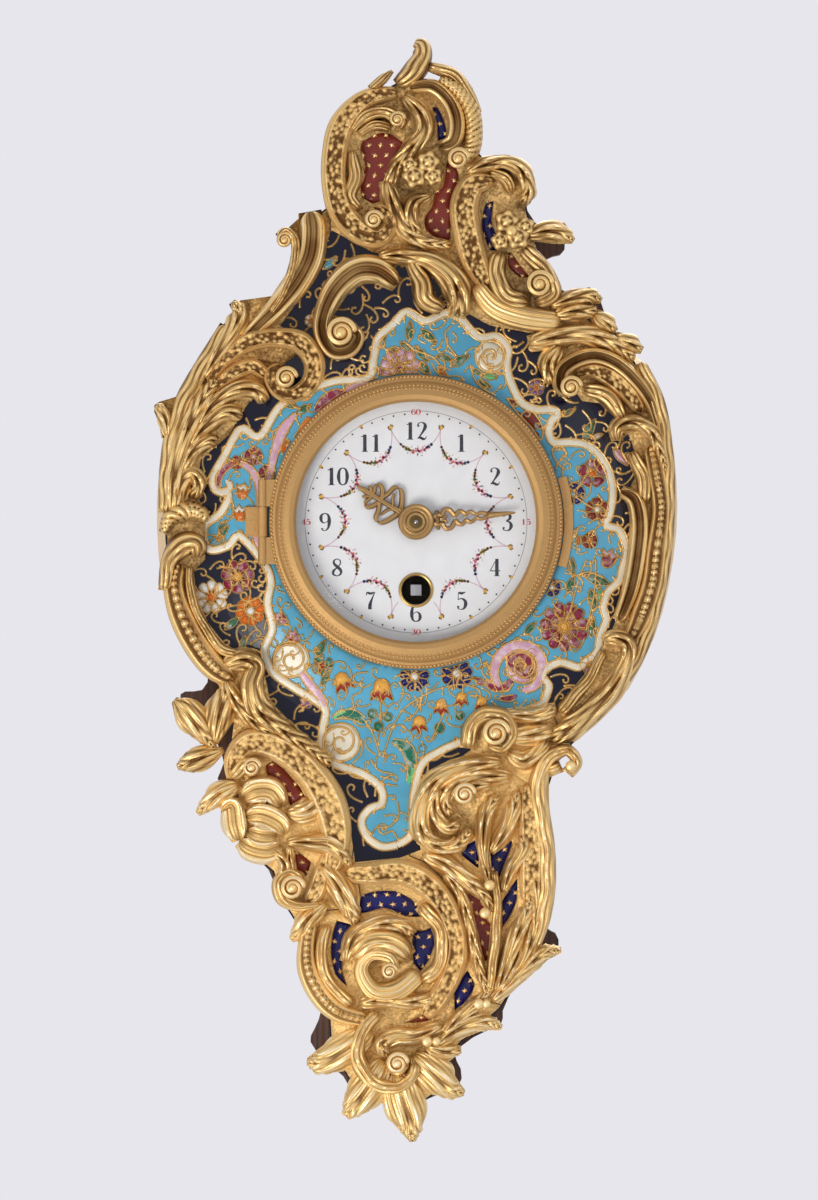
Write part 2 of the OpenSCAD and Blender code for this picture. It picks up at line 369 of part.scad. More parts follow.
// Outline of the body: x, y and how far the side band flares to the back
body_pts = [
  [-0.5, 142.5, 0], [-9.5, 139, 0], [-19, 133, 1], [-25, 123.5, 1], [-28, 112.5, 1], [-27, 102, 0],
  [-33.5, 97.5, 0], [-36, 88.5, 0], [-38, 80, 0], [-44.5, 69.5, 0], [-53, 62.5, 0], [-62, 56, 1],
  [-70, 45, 2], [-76, 34, 3], [-79, 21.5, 3], [-80.5, 7, 3], [-80, -10.5, 3], [-77.5, -26.5, 3],
  [-72.5, -38.5, 3], [-65.5, -48.5, 2], [-60, -56, 0], [-59, -65, 0], [-60, -74.5, 0],
  [-57.5, -84, 0], [-57.5, -94, 0], [-54.5, -105, 0], [-46, -112, 0], [-43.5, -121, 0],
  [-38, -129, 0], [-36, -140, 0], [-33.5, -150, 0], [-28, -158, 0], [-27.5, -167.5, 0],
  [-22.5, -177, 0], [-16.5, -185, 0], [-6.5, -187, 0], [-1.5, -193.5, 0], [3, -185.5, 0],
  [10, -179.5, 0], [11, -171, 0], [19, -162.5, 0], [27, -156, 0], [33.5, -145, 0], [39.5, -134, 0],
  [42.5, -121, 1], [43, -105, 1], [41.5, -90.5, 0], [43.5, -81, 0], [48, -73.5, 0], [56.5, -64, 2],
  [66, -52, 3], [74, -36, 3], [78.5, -20, 3], [81, -2.5, 3], [81, 13.5, 3], [79, 29.5, 3],
  [74, 44, 3], [68, 54.5, 2], [59, 63, 0], [48.5, 69, 0], [43, 76, 0], [39.5, 87, 0], [36, 98, 0],
  [34, 108, 0], [28.5, 113.5, 0], [22, 116, 0], [18.5, 122, 0], [16.5, 132, 0], [10, 139.5, 0]
];
// Outline of the backboard
board_pts = [
  [0, 141.5], [-9, 138], [-18.5, 132], [-24, 122], [-27, 112], [-26, 101], [-32.5, 96],
  [-35, 88.5], [-40.5, 84.5], [-42.5, 77.5], [-46.5, 69.5], [-52, 66], [-55, 70], [-58, 67],
  [-62, 58], [-70.5, 45.5], [-77, 37], [-80, 37.5], [-81, 24.5], [-82, 7], [-81.5, -11],
  [-78.5, -27.5], [-73.5, -39], [-67, -48], [-69, -54], [-74.5, -54.5], [-76, -57], [-70.5, -64],
  [-64.5, -70.5], [-62, -77.5], [-64, -82.5], [-61.5, -86.5], [-57, -94], [-54.5, -104.5],
  [-47.5, -112], [-44, -121], [-38.5, -129.5], [-37, -140], [-34, -150], [-30.5, -157],
  [-33, -164], [-34, -167.5], [-29.5, -173.5], [-23.5, -178.5], [-18.5, -185.5], [-9, -186],
  [-1.5, -194.5], [3.5, -186], [13.5, -182], [14.5, -176.5], [12.5, -171.5], [18.5, -166],
  [27.5, -161.5], [28, -157.5], [32.5, -148.5], [41.5, -138.5], [46, -136.5], [45, -132.5],
  [41.5, -130], [43, -121], [43, -105], [42, -90.5], [44, -81.5], [48, -74], [56.5, -64.5],
  [66.5, -53], [75, -37], [79.5, -20.5], [81.5, -2.5], [81.5, 13.5], [79.5, 29.5], [75, 44],
  [70, 55], [65.5, 60], [61, 67], [58, 74], [50, 73.5], [43.5, 78.5], [42, 85], [46.5, 86.5],
  [48, 90], [41.5, 93.5], [36, 100.5], [34, 108], [28.5, 113.5], [22, 116], [18.5, 122],
  [16.5, 132], [10, 139.5]
];
// Parting lines between neighbouring mounts, from the outside inwards
part_crest_left = [
  [-53, 106], [-27.5, 101.5], [-27.5, 92], [-32, 74], [-33, 63], [-31, 56.5], [-28.5, 52.5],
  [-23.5, 48]
];
part_left_rose = [
  [-85, -89], [-70.5, -84], [-62.5, -77], [-62, -72.5], [-56.5, -67.5], [-49.5, -65.5],
  [-40.5, -69], [-32.5, -74.5], [-22.5, -84]
];
part_rose_base = [
  [-53, -138.5], [-42, -136.5], [-35.5, -134], [-31, -129.5], [-30, -124.5], [-24.5, -124],
  [-18.5, -131], [-17.5, -122.5], [-18.5, -114.5], [-20.5, -109], [-20, -103.5]
];
part_base_reed = [
  [46, -172], [35, -157], [23.5, -153.5], [17.5, -155], [14, -148], [15.5, -140], [15.5, -132],
  [13, -122], [9, -114.5], [3, -109], [-2, -107]
];
part_reed_right = [
  [75, -86], [59, -73.5], [52.5, -71], [45, -70.5], [46, -66], [44, -62], [45.5, -58],
  [41.5, -50.5]
];
part_right_crest = [
  [91, 45.5], [73.5, 51], [66, 54], [62.5, 58], [59, 61], [54, 62.5], [45, 62], [33.5, 60],
  [17.5, 61]
];
// Edge of the open enamelled field
field_pts = [
  [-27, 93.5], [-14, 86.5], [-5, 85], [7.5, 79], [14.5, 68], [23.5, 63], [39.5, 60], [46, 52],
  [51, 39], [63.5, 37.5], [69, 26], [71.5, 16.5], [67, 8.5], [71.5, 0.5], [69, -15.5], [63.5, -33],
  [59, -41], [54, -54], [44.5, -61], [27, -61], [17.5, -65], [17.5, -73], [4.5, -82.5], [0.5, -92],
  [1.5, -105], [-5, -107.5], [-19.5, -109], [-21, -98.5], [-27.5, -82.5], [-37, -71.5],
  [-49.5, -62], [-53, -50.5], [-50, -42.5], [-61, -42.5], [-69, -31.5], [-72.5, -17], [-67.5, -12],
  [-67.5, 4], [-70.5, 7], [-69, 20], [-54.5, 32.5], [-47.5, 37.5], [-34, 40.5], [-30, 52],
  [-43.5, 63], [-34, 76]
];
// Small pierced windows in the ground of the ornament
windows = [
  [[-17.5, 122], [-13, 124.5], [-8.5, 125], [-4, 122], [-2, 122], [-5, 118.5], [-6, 112.5],
  [-9, 106], [-10.5, 103], [-14, 102], [-17.5, 104], [-18, 109.5], [-16.5, 114], [-18, 119]],
  [[5, 133], [7, 133], [9.5, 128], [10, 123], [7, 122], [6.5, 127]],
  [[9.5, 115], [11.5, 116.5], [14, 111], [12.5, 106], [11.5, 101.5], [11, 90], [7.5, 90],
  [3, 93.5], [2.5, 97.5], [5, 101.5], [6, 106], [8.5, 108]],
  [[22, 102], [25, 103], [24.5, 96.5], [26, 92], [26, 87], [23.5, 87], [21, 93.5], [21, 98]],
  [[29, 86], [30.5, 86.5], [34, 82], [36.5, 78.5], [33.5, 78], [29.5, 81.5]],
  [[-48.5, -78], [-45, -76], [-39.5, -82], [-35, -87.5], [-39.5, -91.5], [-41.5, -89],
  [-43.5, -86], [-47.5, -82]],
  [[-39.5, -105], [-37, -106], [-33.5, -109], [-35, -113.5], [-38, -112]],
  [[-18, -119.5], [-13, -118], [-6.5, -118], [-1.5, -120.5], [2, -124], [1.5, -126.5],
  [-3.5, -126.5], [-10, -124], [-18, -125.5]],
  [[-25.5, -127.5], [-20.5, -129], [-22.5, -135.5], [-23.5, -143.5], [-22, -149], [-26, -145],
  [-27.5, -138.5], [-27, -132]],
  [[-1, -130.5], [3, -130.5], [6, -129], [6.5, -134], [4.5, -140], [1.5, -144], [-0.5, -143.5],
  [-1.5, -137]],
  [[-4, -160.5], [1.5, -158], [5.5, -155], [5, -159.5], [0.5, -160.5]],
  [[13, -105.5], [20.5, -101], [20, -111]],
  [[22.5, -111.5], [23, -106.5], [27, -102.5], [30.5, -101], [31, -103.5], [28.5, -110],
  [26, -116], [23.5, -114]],
  [[27.5, -130.5], [27, -122.5], [29.5, -118], [32.5, -114], [32.5, -121], [30.5, -126]],
  [[15, -117], [20, -118.5], [23, -122.5], [22, -126], [25.5, -130.5], [25.5, -135.5],
  [22.5, -141], [20, -137], [17.5, -127.5]],
  [[12, -150], [16.5, -143.5], [19, -148], [17.5, -152], [12.5, -157]]
];

// Stands the sketch plane up: depth runs to -Y, height to +Z, origin at the hanging hole
module place() {
  translate([0, 0, -hang_y]) rotate([90, 0, 0]) children();
}

// Catmull-Rom point between b and c
function cat(a, b, c, e, t) =
  0.5 * (2 * b + (c - a) * t + (2 * a - 5 * b + 4 * c - e) * t * t + (3 * b - a - 3 * c + e)
    * t * t * t);
// Point of an open curve through p at parameter s
function along(p, s) =
  let (n = len(p) - 1, i = min(floor(s), n - 1))
  cat(p[max(i - 1, 0)], p[i], p[i + 1], p[min(i + 2, n)], s - i);
// Left-hand unit normal of an open curve in the plane
function normal_at(p, s) =
  let (n = len(p) - 1, a = along(p, max(s - 0.02, 0)), b = along(p, min(s + 0.02, n)),
    t = [b[0] - a[0], b[1] - a[1]], l = norm(t))
  [-t[1] / l, t[0] / l];
// Smooth closed outline with j points to each span
function outline(p, j) =
  let (n = len(p))
  [for (i = [0:n - 1], q = [0:j - 1]) cat(p[(i + n - 1) % n], p[i], p[(i + 1) % n], p[(i + 2) % n],
    q / j)];
// Outward unit normal at point i of a counter-clockwise outline
function out_n(p, i) =
  let (n = len(p), a = p[(i + n - 1) % n], b = p[(i + 1) % n], t = [b[0] - a[0], b[1] - a[1]],
    l = norm(t))
  [t[1] / l, -t[0] / l];
function flat(p) = [for (q = p) k * [q[0], q[1]]];
// Outline moved along its normals by f times its third value, then by g
function moved(p, f, g) =
  [for (i = [0:len(p) - 1]) let (n = out_n(p, i), s = f * p[i][2] + g) k * [p[i][0], p[i][1]] + s * n];

body = outline(body_pts, 2);
front_edge = moved(body, 0, 0);
back_edge = moved(body, 1, 0);
board_edge = flat(outline(board_pts, 2));

// Height of the front surface at distance r from the dial axis
function surf(r) =
  let (t = max(0, min(1, (dome_out - r) / (dome_out - dome_in))))
  d_face + dome_rise * t * t * (3 - 2 * t);
dome_line = [for (i = [0:dome_steps]) let (r = dome_out - (dome_out - dome_in) * i / dome_steps) [r,
  surf(r)]];

// Solid under the domed field, lifted by g
module dome_fill(g) {
  rotate_extrude($fn = 120)
    polygon(concat([[0, d_face - 5]], [[dome_out + g, d_face - 5], [dome_out + g, d_face + g / 20]],
      [for (q = dome_line) [q[0], q[1] + g]], [[0, d_seat + g]]));
}

// Section of a cast scroll across its middle line: place across and height
scroll_sec = [[-1, 0], [-0.82, 0.66], [0, 1], [0.82, 0.66], [1, 0]];
// Radius of the bend of an open curve
function bend(p, s) =
  let (n = len(p) - 1, m = max(0.3, min(n - 0.3, s)), a = along(p, m - 0.3), b = along(p, m),
    c = along(p, m + 0.3),
    u = [b[0] - a[0], b[1] - a[1]], v = [c[0] - b[0], c[1] - b[1]], w = [c[0] - a[0], c[1] - a[1]],
    x = abs(u[0] * v[1] - u[1] * v[0]))
  x < 0.0001 ? 1000 : norm(u) * norm(v) * norm(w) / (2 * x);
// Points of one section; the width keeps inside the bend
function ring_pts(p, s) =
  let (c = along(p, s), n = normal_at(p, s), w = k * min(c[2], 0.8 * bend(p, s)))
  [for (q = scroll_sec) [k * c[0] + n[0] * w * q[0], k * c[1] + n[1] * w * q[0],
    d_face + relief * c[3] * q[1]]];

// Places of the sections along a curve, closer together where it bends
function stations(p) =
  let (n = len(p) - 1)
  [for (i = [0:n]) each (i < n && normal_at(p, i) * normal_at(p, min(i + 1, n)) < 0.93 ? [i,
    i + 0.5] : [i])];

// One cast scroll or leaf swept along its middle line, closed at both ends
module scroll(p) {
  st = stations(p);
  n = len(st) - 1;
  m = len(scroll_sec);
  sides = [for (i = [0:n - 1], j = [0:m - 1])
    let (a = i * m + j, b = i * m + (j + 1) % m, c = (i + 1) * m + (j + 1) % m, e = (i + 1) * m + j)
    each [[a, b, c], [a, c, e]]];
  polyhedron([for (s = st) each ring_pts(p, s)],
    concat(sides, [[for (j = [m - 1:-1:0]) j], [for (j = [0:m - 1]) n * m + j]]));
}

// Round boss at the eye of a scroll
module eye(e) {
  translate([k * e[0], k * e[1], d_face]) scale([k * e[2], k * e[2], relief * e[3]])
    rotate([0, 0, 7 * e[0] + 3 * e[1]]) sphere(1, $fn = 12);
}

// Region of one mount: between two parting lines, out to the far corners
module region(a, b, far) {
  offset(delta = -mount_gap / 2) polygon(concat(flat(a), [[0, 0]], flat([for (i = [len(b) - 1:-1:0])
    b[i]]), far));
}

// Places of the screws that draw the mounts to the board
screw_at = [[-22.8, 98], [16.5, 92], [-13, 80.5], [30, 69.5], [-67.5, 36], [-75.5, 4], [-53, -58],
  [66, 45],
  [71, -11.5], [-48, -95.5], [-29, -90], [5.5, -89.5], [36.5, -106.5], [-12, -133], [3, -173.5]];
screw_r = 1.5;
screw_bite = 3.2;
module screw_hole(p, z0, z1) {
  translate([k * p[0], k * p[1], z0]) cylinder(r = screw_r + 0.1, h = z1 - z0, $fn = 16);
}

// A cast mount: its scrolls and eyes on a pierced ground, cut to its region and to the domed front
module mount(sweeps, eyes, a, b, far) {
  color("goldenrod") place() difference() {
    intersection() {
      union() {
        for (p = sweeps) scroll(p);
        for (e = eyes) eye(e);
        translate([0, 0, d_face]) linear_extrude(ground_t) difference() {
          offset(delta = -0.6) polygon(front_edge);
          polygon(flat(field_pts));
          for (w = windows) polygon(flat(w));
        }
      }
      translate([0, 0, d_face]) linear_extrude(30) region(a, b, far);
    }
    dome_fill(0.15);
    for (p = screw_at) hull() screw_hole(p, d_face - 1, d_face + screw_bite + 0.2);
  }
}

module crest_mount() {
  mount(crest_sweeps, crest_eyes, part_crest_left, part_right_crest, [[200, 200], [-200, 200]]);
}
module left_mount() {
  mount(left_sweeps, left_eyes, part_left_rose, part_crest_left, [[-200, 80], [-200, -80]]);
}
module rose_mount() {
  mount(rose_sweeps, rose_eyes, part_rose_base, part_left_rose, [[-200, -90], [-200, -140]]);
}
module base_mount() {
  mount(base_sweeps, base_eyes, part_base_reed, part_rose_base, [[-200, -140], [0, -260], [200, -260]]);
}
module reed_mount() {
  mount(reed_sweeps, reed_eyes, part_reed_right, part_base_reed, [[100, -260], [200, -140]]);
}
module right_mount() {
  mount(right_sweeps, right_eyes, part_right_crest, part_reed_right, [[200, -90], [200, 50]]);
}

module screw(r_head, h_head, r, len) {
  difference() {
    union() {
      translate([0, 0, -h_head]) cylinder(r = r_head, h = h_head);
      cylinder(r = r, h = len);
    }
    translate([-r_head - 1, -0.35, -h_head - 1]) cube([2 * r_head + 2, 0.7, 1.5]);
  }
}

module mount_screws() {
  color("dimgray") place() for (p = screw_at)
    translate([k * p[0], k * p[1], 2.6]) screw(3.2, 2, screw_r, d_face + screw_bite - 2.6);
}

hang_plate = [34, 22, 1.6];
hang_screw_x = 11.5;
module backboard() {
  color("saddlebrown") place() difference() {
    linear_extrude(board_t) polygon(board_edge);
    translate([0, 0, -1]) cylinder(r = drum_out + 0.3, h = board_t + 2);
    translate([-hang_plate[0] / 2 - 0.1, hang_y - hang_plate[1] / 2 - 0.1, -1])
      cube([hang_plate[0] + 0.2, hang_plate[1] + 0.2, hang_plate[2] + 1]);
    translate([0, hang_y, -1]) cylinder(r = hang_d / 2 + 1.5, h = board_t);
    for (s = [-1, 1]) translate([s * hang_screw_x, hang_y, -1]) cylinder(r = 1.05, h = board_t);
    for (p = screw_at) translate([k * p[0], k * p[1], -1]) cylinder(r = screw_r + 0.1, h = board_t + 2);
    for (p = screw_at) translate([k * p[0], k * p[1], -1]) cylinder(r = 3.4, h = 3.6);
    for (a = [45:90:315]) rotate(a) translate([drum_out + 2.6, 0, 2]) cylinder(r = 1.05, h = board_t);
  }
}

module hanging_plate() {
  color("gold") place() translate([0, hang_y, 0]) difference() {
    translate([-hang_plate[0] / 2, -hang_plate[1] / 2, 0]) cube(hang_plate);
    translate([0, 0, -1]) cylinder(d = hang_d, h = 5);
    for (s = [-1, 1]) translate([s * hang_screw_x, 0, -1]) cylinder(r = 1.05, h = 5);
    for (s = [-1, 1]) translate([s * hang_screw_x, 0, -1]) cylinder(r = 2.1, h = 1.9);
  }
}

module hanging_screws() {
  color("dimgray") place() for (s = [-1, 1])
    translate([s * hang_screw_x, hang_y, 0.9]) screw(2, 0.8, 1, 4.5);
}

// Closed tube between an outer and an inner outline at two depths
module band_loft(o0, o1, i1, i0, z0, z1) {
  n = len(o0);
  pts = concat([for (p = o0) [p[0], p[1], z0]], [for (p = o1) [p[0], p[1], z1]],
    [for (p = i1) [p[0], p[1], z1]], [for (p = i0) [p[0], p[1], z0]]);
  faces = [for (r = [0:3], i = [0:n - 1])
    let (a = r * n + i, b = r * n + (i + 1) % n, c = ((r + 1) % 4) * n + (i + 1) % n, e = ((r + 1)
      % 4) * n + i)
    each [[a, c, b], [a, e, c]]];
  polyhedron(pts, faces);
}

module case_band() {
  color("goldenrod") place()
    band_loft(moved(body, 1, 0), moved(body, 0, 0), moved(body, 0, -band_wall), moved(body, 1,
      -band_wall),
      board_t, d_band);
}

module enamel_plate() {
  color("steelblue") place() difference() {
    union() {
      translate([0, 0, d_band]) linear_extrude(plate_t) difference() {
        polygon(front_edge);
        circle(r = dome_out, $fn = 120);
      }
      rotate_extrude($fn = 120) polygon(concat(dome_line, [[plate_hole, d_seat], [plate_hole,
        d_seat - plate_t]],
        [for (i = [dome_steps:-1:0]) dome_line[i] - [0, plate_t]]));
    }
    for (p = screw_at) screw_hole(p, d_band - 1, d_seat + 1);
  }
}

drum_back = 2.2;
ledge_in = drum_in - 2;
module movement_drum() {
  color("gold") place() difference() {
    rotate_extrude() polygon([[drum_in, drum_back], [drum_out, drum_back], [drum_out, board_t],
      [drum_out + 5, board_t], [drum_out + 5, board_t + 1.2], [drum_out, board_t + 1.2], [drum_out,
        d_seat],
      [drum_in, d_seat], [drum_in, fp0], [ledge_in, fp0], [ledge_in, fp0 - 1.4], [drum_in, fp0 - 1.4]]);
    for (a = [45:90:315]) rotate(a) translate([drum_out + 2.6, 0, 2]) cylinder(r = 1.05,
      h = board_t + 4);
    for (a = [30, 150, 270]) rotate(a) translate([drum_in - 1.1, 0, fp0 - 3]) cylinder(r = 0.55, h = 4);
  }
}

module drum_screws() {
  color("dimgray") place() for (a = [45:90:315]) rotate(a)
    translate([drum_out + 2.6, 0, board_t + 1.2]) rotate([180, 0, 0]) screw(1.9, 0.9, 1, 6);
}

module back_cover() {
  color("gold") place() rotate_extrude() polygon([[0, 1], [drum_out - 0.1, 1], [drum_out - 0.1,
    drum_back],
    [drum_in - 0.08, drum_back], [drum_in - 0.08, drum_back + 1.4], [drum_in - 0.8, drum_back + 1.4],
    [drum_in - 0.8, drum_back - 0.3], [0, drum_back - 0.3]]);
}

knuckle_mid = hinge_len * 0.35;
module bezel() {
  color("goldenrod") place() difference() {
    union() {
      rotate_extrude() polygon([[bezel_in, 0.2], [bezel_r, 0.2], [bezel_r, 2.6], [bezel_r - 0.6, 3.4],
        [bezel_r - 1.9, 3.9], [bezel_r - 2.8, 5.2], [bezel_r - 4.5, 6.4], [sight_r + 2.3, 7],
          [sight_r + 0.9, 6.6],
        [sight_r, 5.6], [sight_r, 4.9], [sight_r + 1, 4.9], [sight_r + 1, 3.2], [bezel_in, 3.2]] +
        [for (i = [0:13]) [0, d_seat]]);
      for (s = [-1, 1]) {
        translate([hinge_x, s > 0 ? knuckle_mid / 2 + 0.2 : -hinge_len / 2, hinge_z]) rotate([-90,
          0, 0])
          cylinder(r = knuckle_r, h = hinge_len / 2 - knuckle_mid / 2 - 0.2, $fn = 32);
        translate([hinge_x, s > 0 ? knuckle_mid / 2 + 0.2 : -hinge_len / 2, hinge_z - 0.9])
          cube([5.5, hinge_len / 2 - knuckle_mid / 2 - 0.2, 1.8]);
      }
    }
    translate([hinge_x, -hinge_len, hinge_z]) rotate([-90, 0, 0])
      cylinder(r = hinge_pin_d / 2 + run, h = 2 * hinge_len, $fn = 32);
  }
}

module hinge_pin() {
  color("gold") place() translate([hinge_x, -hinge_len / 2 - 0.6, hinge_z]) rotate([-90, 0, 0])
    cylinder(d = hinge_pin_d, h = hinge_len + 1.2, $fn = 32);
}

module hinge_leaf() {
  color("gold") place() difference() {
    union() {
      translate([hinge_x, -knuckle_mid / 2, hinge_z]) rotate([-90, 0, 0])
        cylinder(r = knuckle_r, h = knuckle_mid, $fn = 32);
      translate([hinge_x - 5.5, -knuckle_mid / 2, d_seat - 2.4]) cube([5.5, knuckle_mid, 3]);
      translate([hinge_x - 1.3, -knuckle_mid / 2, d_seat - 1]) cube([1.3, knuckle_mid, 3.2]);
    }
    dome_fill(0);
    translate([hinge_x, -hinge_len, hinge_z]) rotate([-90, 0, 0])
      cylinder(r = hinge_pin_d / 2 + 0.02, h = 2 * hinge_len, $fn = 32);
  }
}

module bezel_catch() {
  color("gold") place() difference() {
    rotate([0, 0, -17]) rotate_extrude(angle = 34)
      polygon([[bezel_r + 0.4, d_seat - 1.5], [bezel_r + 3.2, d_seat - 1.5], [bezel_r + 3.2,
        d_seat + 0.6],
        [bezel_r + 0.4, d_seat + 0.9]]);
    dome_fill(0);
  }
}

module sight_ring() {
  color("gold") place() rotate_extrude() polygon([[sight_r + 0.1, d_seat + 1.8], [bezel_in - 0.1, d_seat + 1.8],
    [bezel_in - 0.1, d_seat + 3.2], [sight_r + 0.1, d_seat + 3.2]]);
}

glass_edge = d_seat + 3.2;
module glass() {
  r = sight_r + 0.9;
  q = sight_r - 0.1;
  color("lightblue") place() rotate_extrude() polygon(concat([[0, glass_edge + glass_rise]],
    [for (i = [1:9]) [q * i / 10, glass_edge + glass_rise * (1 - pow(i / 10, 2))]],
    [[q, glass_edge], [r, glass_edge], [r, glass_edge + glass_t], [q, glass_edge + glass_t]],
    [for (i = [9:-1:1]) [q * i / 10, glass_edge + glass_t + glass_rise * (1 - pow(i / 10, 2))]],
    [[0, glass_edge + glass_t + glass_rise]]));
}

dial_hole = 3.6;
grommet_r = 5.6;
module dial() {
  color("white") place() difference() {
    union() {
      translate([0, 0, d_seat - dial_t]) cylinder(d = dial_d, h = dial_t, $fn = 120);
      for (a = [75, 180, 285]) rotate(a) translate([0, dial_r - 5, mv]) cylinder(r = 0.8,
        h = d_seat - dial_t / 2 - mv);
    }
    translate([0, 0, mv]) cylinder(r = dial_hole, h = 10);
    translate([0, -wind_drop, mv]) cylinder(r = grommet_r - 0.5, h = 10);
  }
}

module winding_grommet() {
  color("gold") place() translate([0, -wind_drop, d_seat]) rotate_extrude()
    polygon([[grommet_r - 0.9, -1.6], [grommet_r - 0.55, -1.6], [grommet_r - 0.55, 0],
    [grommet_r, 0], [grommet_r - 0.15, 0.4], [grommet_r - 0.5, 0.5], [grommet_r - 0.9, 0.3]]);
}

// Open frame of a pierced hand between two closed curves of half-width
module pierced(w, z, t) {
  translate([0, 0, z]) linear_extrude(t) difference() {
    polygon(concat([for (q = w) [q[1], q[0]]], [for (i = [len(w) - 1:-1:0]) [-w[i][1], w[i][0]]]));
    for (q = w) if (q[2] > 0) translate([0, q[0]]) circle(r = q[2], $fn = 24);
    for (q = w) if (q[2] > 0) for (s = [-1, 1]) translate([s * q[1] * 0.62, q[0] + q[2] * 1.35])
      circle(r = q[2] * 0.3, $fn = 16);
  }
}
hour_z = d_seat + 1;
minute_z = d_seat + 2.4;
hand_t = 0.7;
hour_k = hour_len / 21.7;
minute_k = minute_len / 32.6;
// Hand outlines: distance from the centre, half-width, radius of the piercing
hour_line = [[2, 1.6, 0], [5.4, 1.5, 0], [6.4, 2.6, 0], [8, 3.9, 1.4], [9.8, 3.4, 0], [10.6, 2.1,
  0], [12, 3.2, 1.2],
  [13.6, 2.2, 0], [14.4, 1.6, 0], [15.6, 2.9, 0.9], [17.2, 1.3, 0], [18.4, 1.9, 0], [19.8, 0.8, 0],
    [21.7, 0.2, 0]];
minute_line = [[2, 1.5, 0], [5.4, 1.4, 0], [6.6, 2.3, 0], [8, 2.6, 0.9], [9.6, 1.3, 0], [11.2, 1.9,
  0.75], [13, 1, 0],
  [14.4, 1.6, 0.6], [16, 0.9, 0], [17.4, 1.4, 0.5], [19, 0.8, 0], [20.6, 1.2, 0.4], [22.4, 0.7, 0],
    [24, 0.9, 0],
  [32.6, 0.15, 0]];
cannon_r = 1.75;
hour_tube = 2.5;
module hour_hand() {
  color("goldenrod") place() rotate([0, 0, -hour_at]) difference() {
    union() {
      pierced([for (q = hour_line) [q[0] * hour_k, q[1], q[2]]], hour_z, hand_t);
      translate([0, 0, hour_z]) cylinder(r = 4.2, h = hand_t);
    }
    translate([0, 0, hour_z - 1]) cylinder(r = hour_tube + 0.02, h = 4);
  }
}

hand_sq = 2;
module minute_hand() {
  color("goldenrod") place() rotate([0, 0, -minute_at]) difference() {
    union() {
      pierced([for (q = minute_line) [q[0] * minute_k, q[1], q[2]]], minute_z, hand_t);
      translate([0, 0, minute_z]) cylinder(r = 3.8, h = hand_t);
    }
    translate([-hand_sq / 2 - 0.02, -hand_sq / 2 - 0.02, minute_z - 1]) cube([hand_sq + 0.04,
      hand_sq + 0.04, 4]);
  }
}

collet_z = minute_z + hand_t;
module hand_collet() {
  color("gold") place() difference() {
    rotate_extrude() polygon([[tip_r + 0.05, collet_z], [3.4, collet_z], [3.2, collet_z + 0.6],
      [2.2, collet_z + 1.1],
      [tip_r + 0.05, collet_z + 1.3]]);
    rotate([0, 0, -minute_at]) translate([-hand_sq / 2 - 0.02, -hand_sq / 2 - 0.02, collet_z - 1])
      cube([hand_sq + 0.04, hand_sq + 0.04, 1.6]);
  }
}

// Wheel outline: n teeth of module m, one tooth centred at angle a
function gear(n, m, a) =
  let (p = 360 / n, rt = m * (n / 2 + 0.8), rr = m * (n / 2 - 1.2))
  [for (i = [0:n - 1], q = [[rr, -0.27], [rt, -0.08], [rt, 0.08], [rr, 0.27]])
    q[0] * [cos(a + p * (i + q[1])), sin(a + p * (i + q[1]))]];
// Angle of a tooth of wheel B (nb teeth) meshing at direction f with wheel A (na teeth, tooth at ta)
function mesh_at(f, na, ta, nb) =
  let (u = (f - ta) * na / 360, g = u - floor(u))
  f + 180 + (g + 0.5) * 360 / nb;
function dir(a, b) = atan2(b[1] - a[1], b[0] - a[0]);
ctr_p = [0, 0];
a_bar = 0;
a_ip = mesh_at(dir(bar_p, int_p), n_bar, a_bar, n_ip);
a_int = 0;
a_cp = mesh_at(dir(int_p, ctr_p), n_int, a_int, n_cp);
a_ctr = 0;
a_tp = mesh_at(dir(ctr_p, thd_p), n_ctr, a_ctr, n_tp);
a_thd = 0;
a_kp = mesh_at(dir(thd_p, con_p), n_thd, a_thd, n_kp);
a_can = 0;
a_min = mesh_at(dir(ctr_p, min_p), n_can, a_can, n_min);
a_mp = 0;
a_hour = mesh_at(dir(min_p, ctr_p), n_mp, a_mp, n_hour);

// Flat wheel with a rim, arms and a hub
module wheel(n, m, a, z, t, arms, hub) {
  rim = m * (n / 2 - 1.2) - 1.3;
  translate([0, 0, z]) linear_extrude(t) difference() {
    polygon(gear(n, m, a));
    if (arms > 0) for (i = [0:arms - 1]) rotate(i * 360 / arms + 20) intersection() {
      difference() {
        circle(r = rim);
        circle(r = hub);
      }
      polygon([[0.9, 0.9], [40 * cos(12), 40 * sin(12)], [40 * cos(360 / arms - 12),
        40 * sin(360 / arms - 12)]]);
    }
  }
}
module at(p) {
  translate([p[0], p[1], 0]) children();
}
module rod(r, z0, z1) {
  translate([0, 0, z0]) cylinder(r = r, h = z1 - z0, $fn = 48);
}

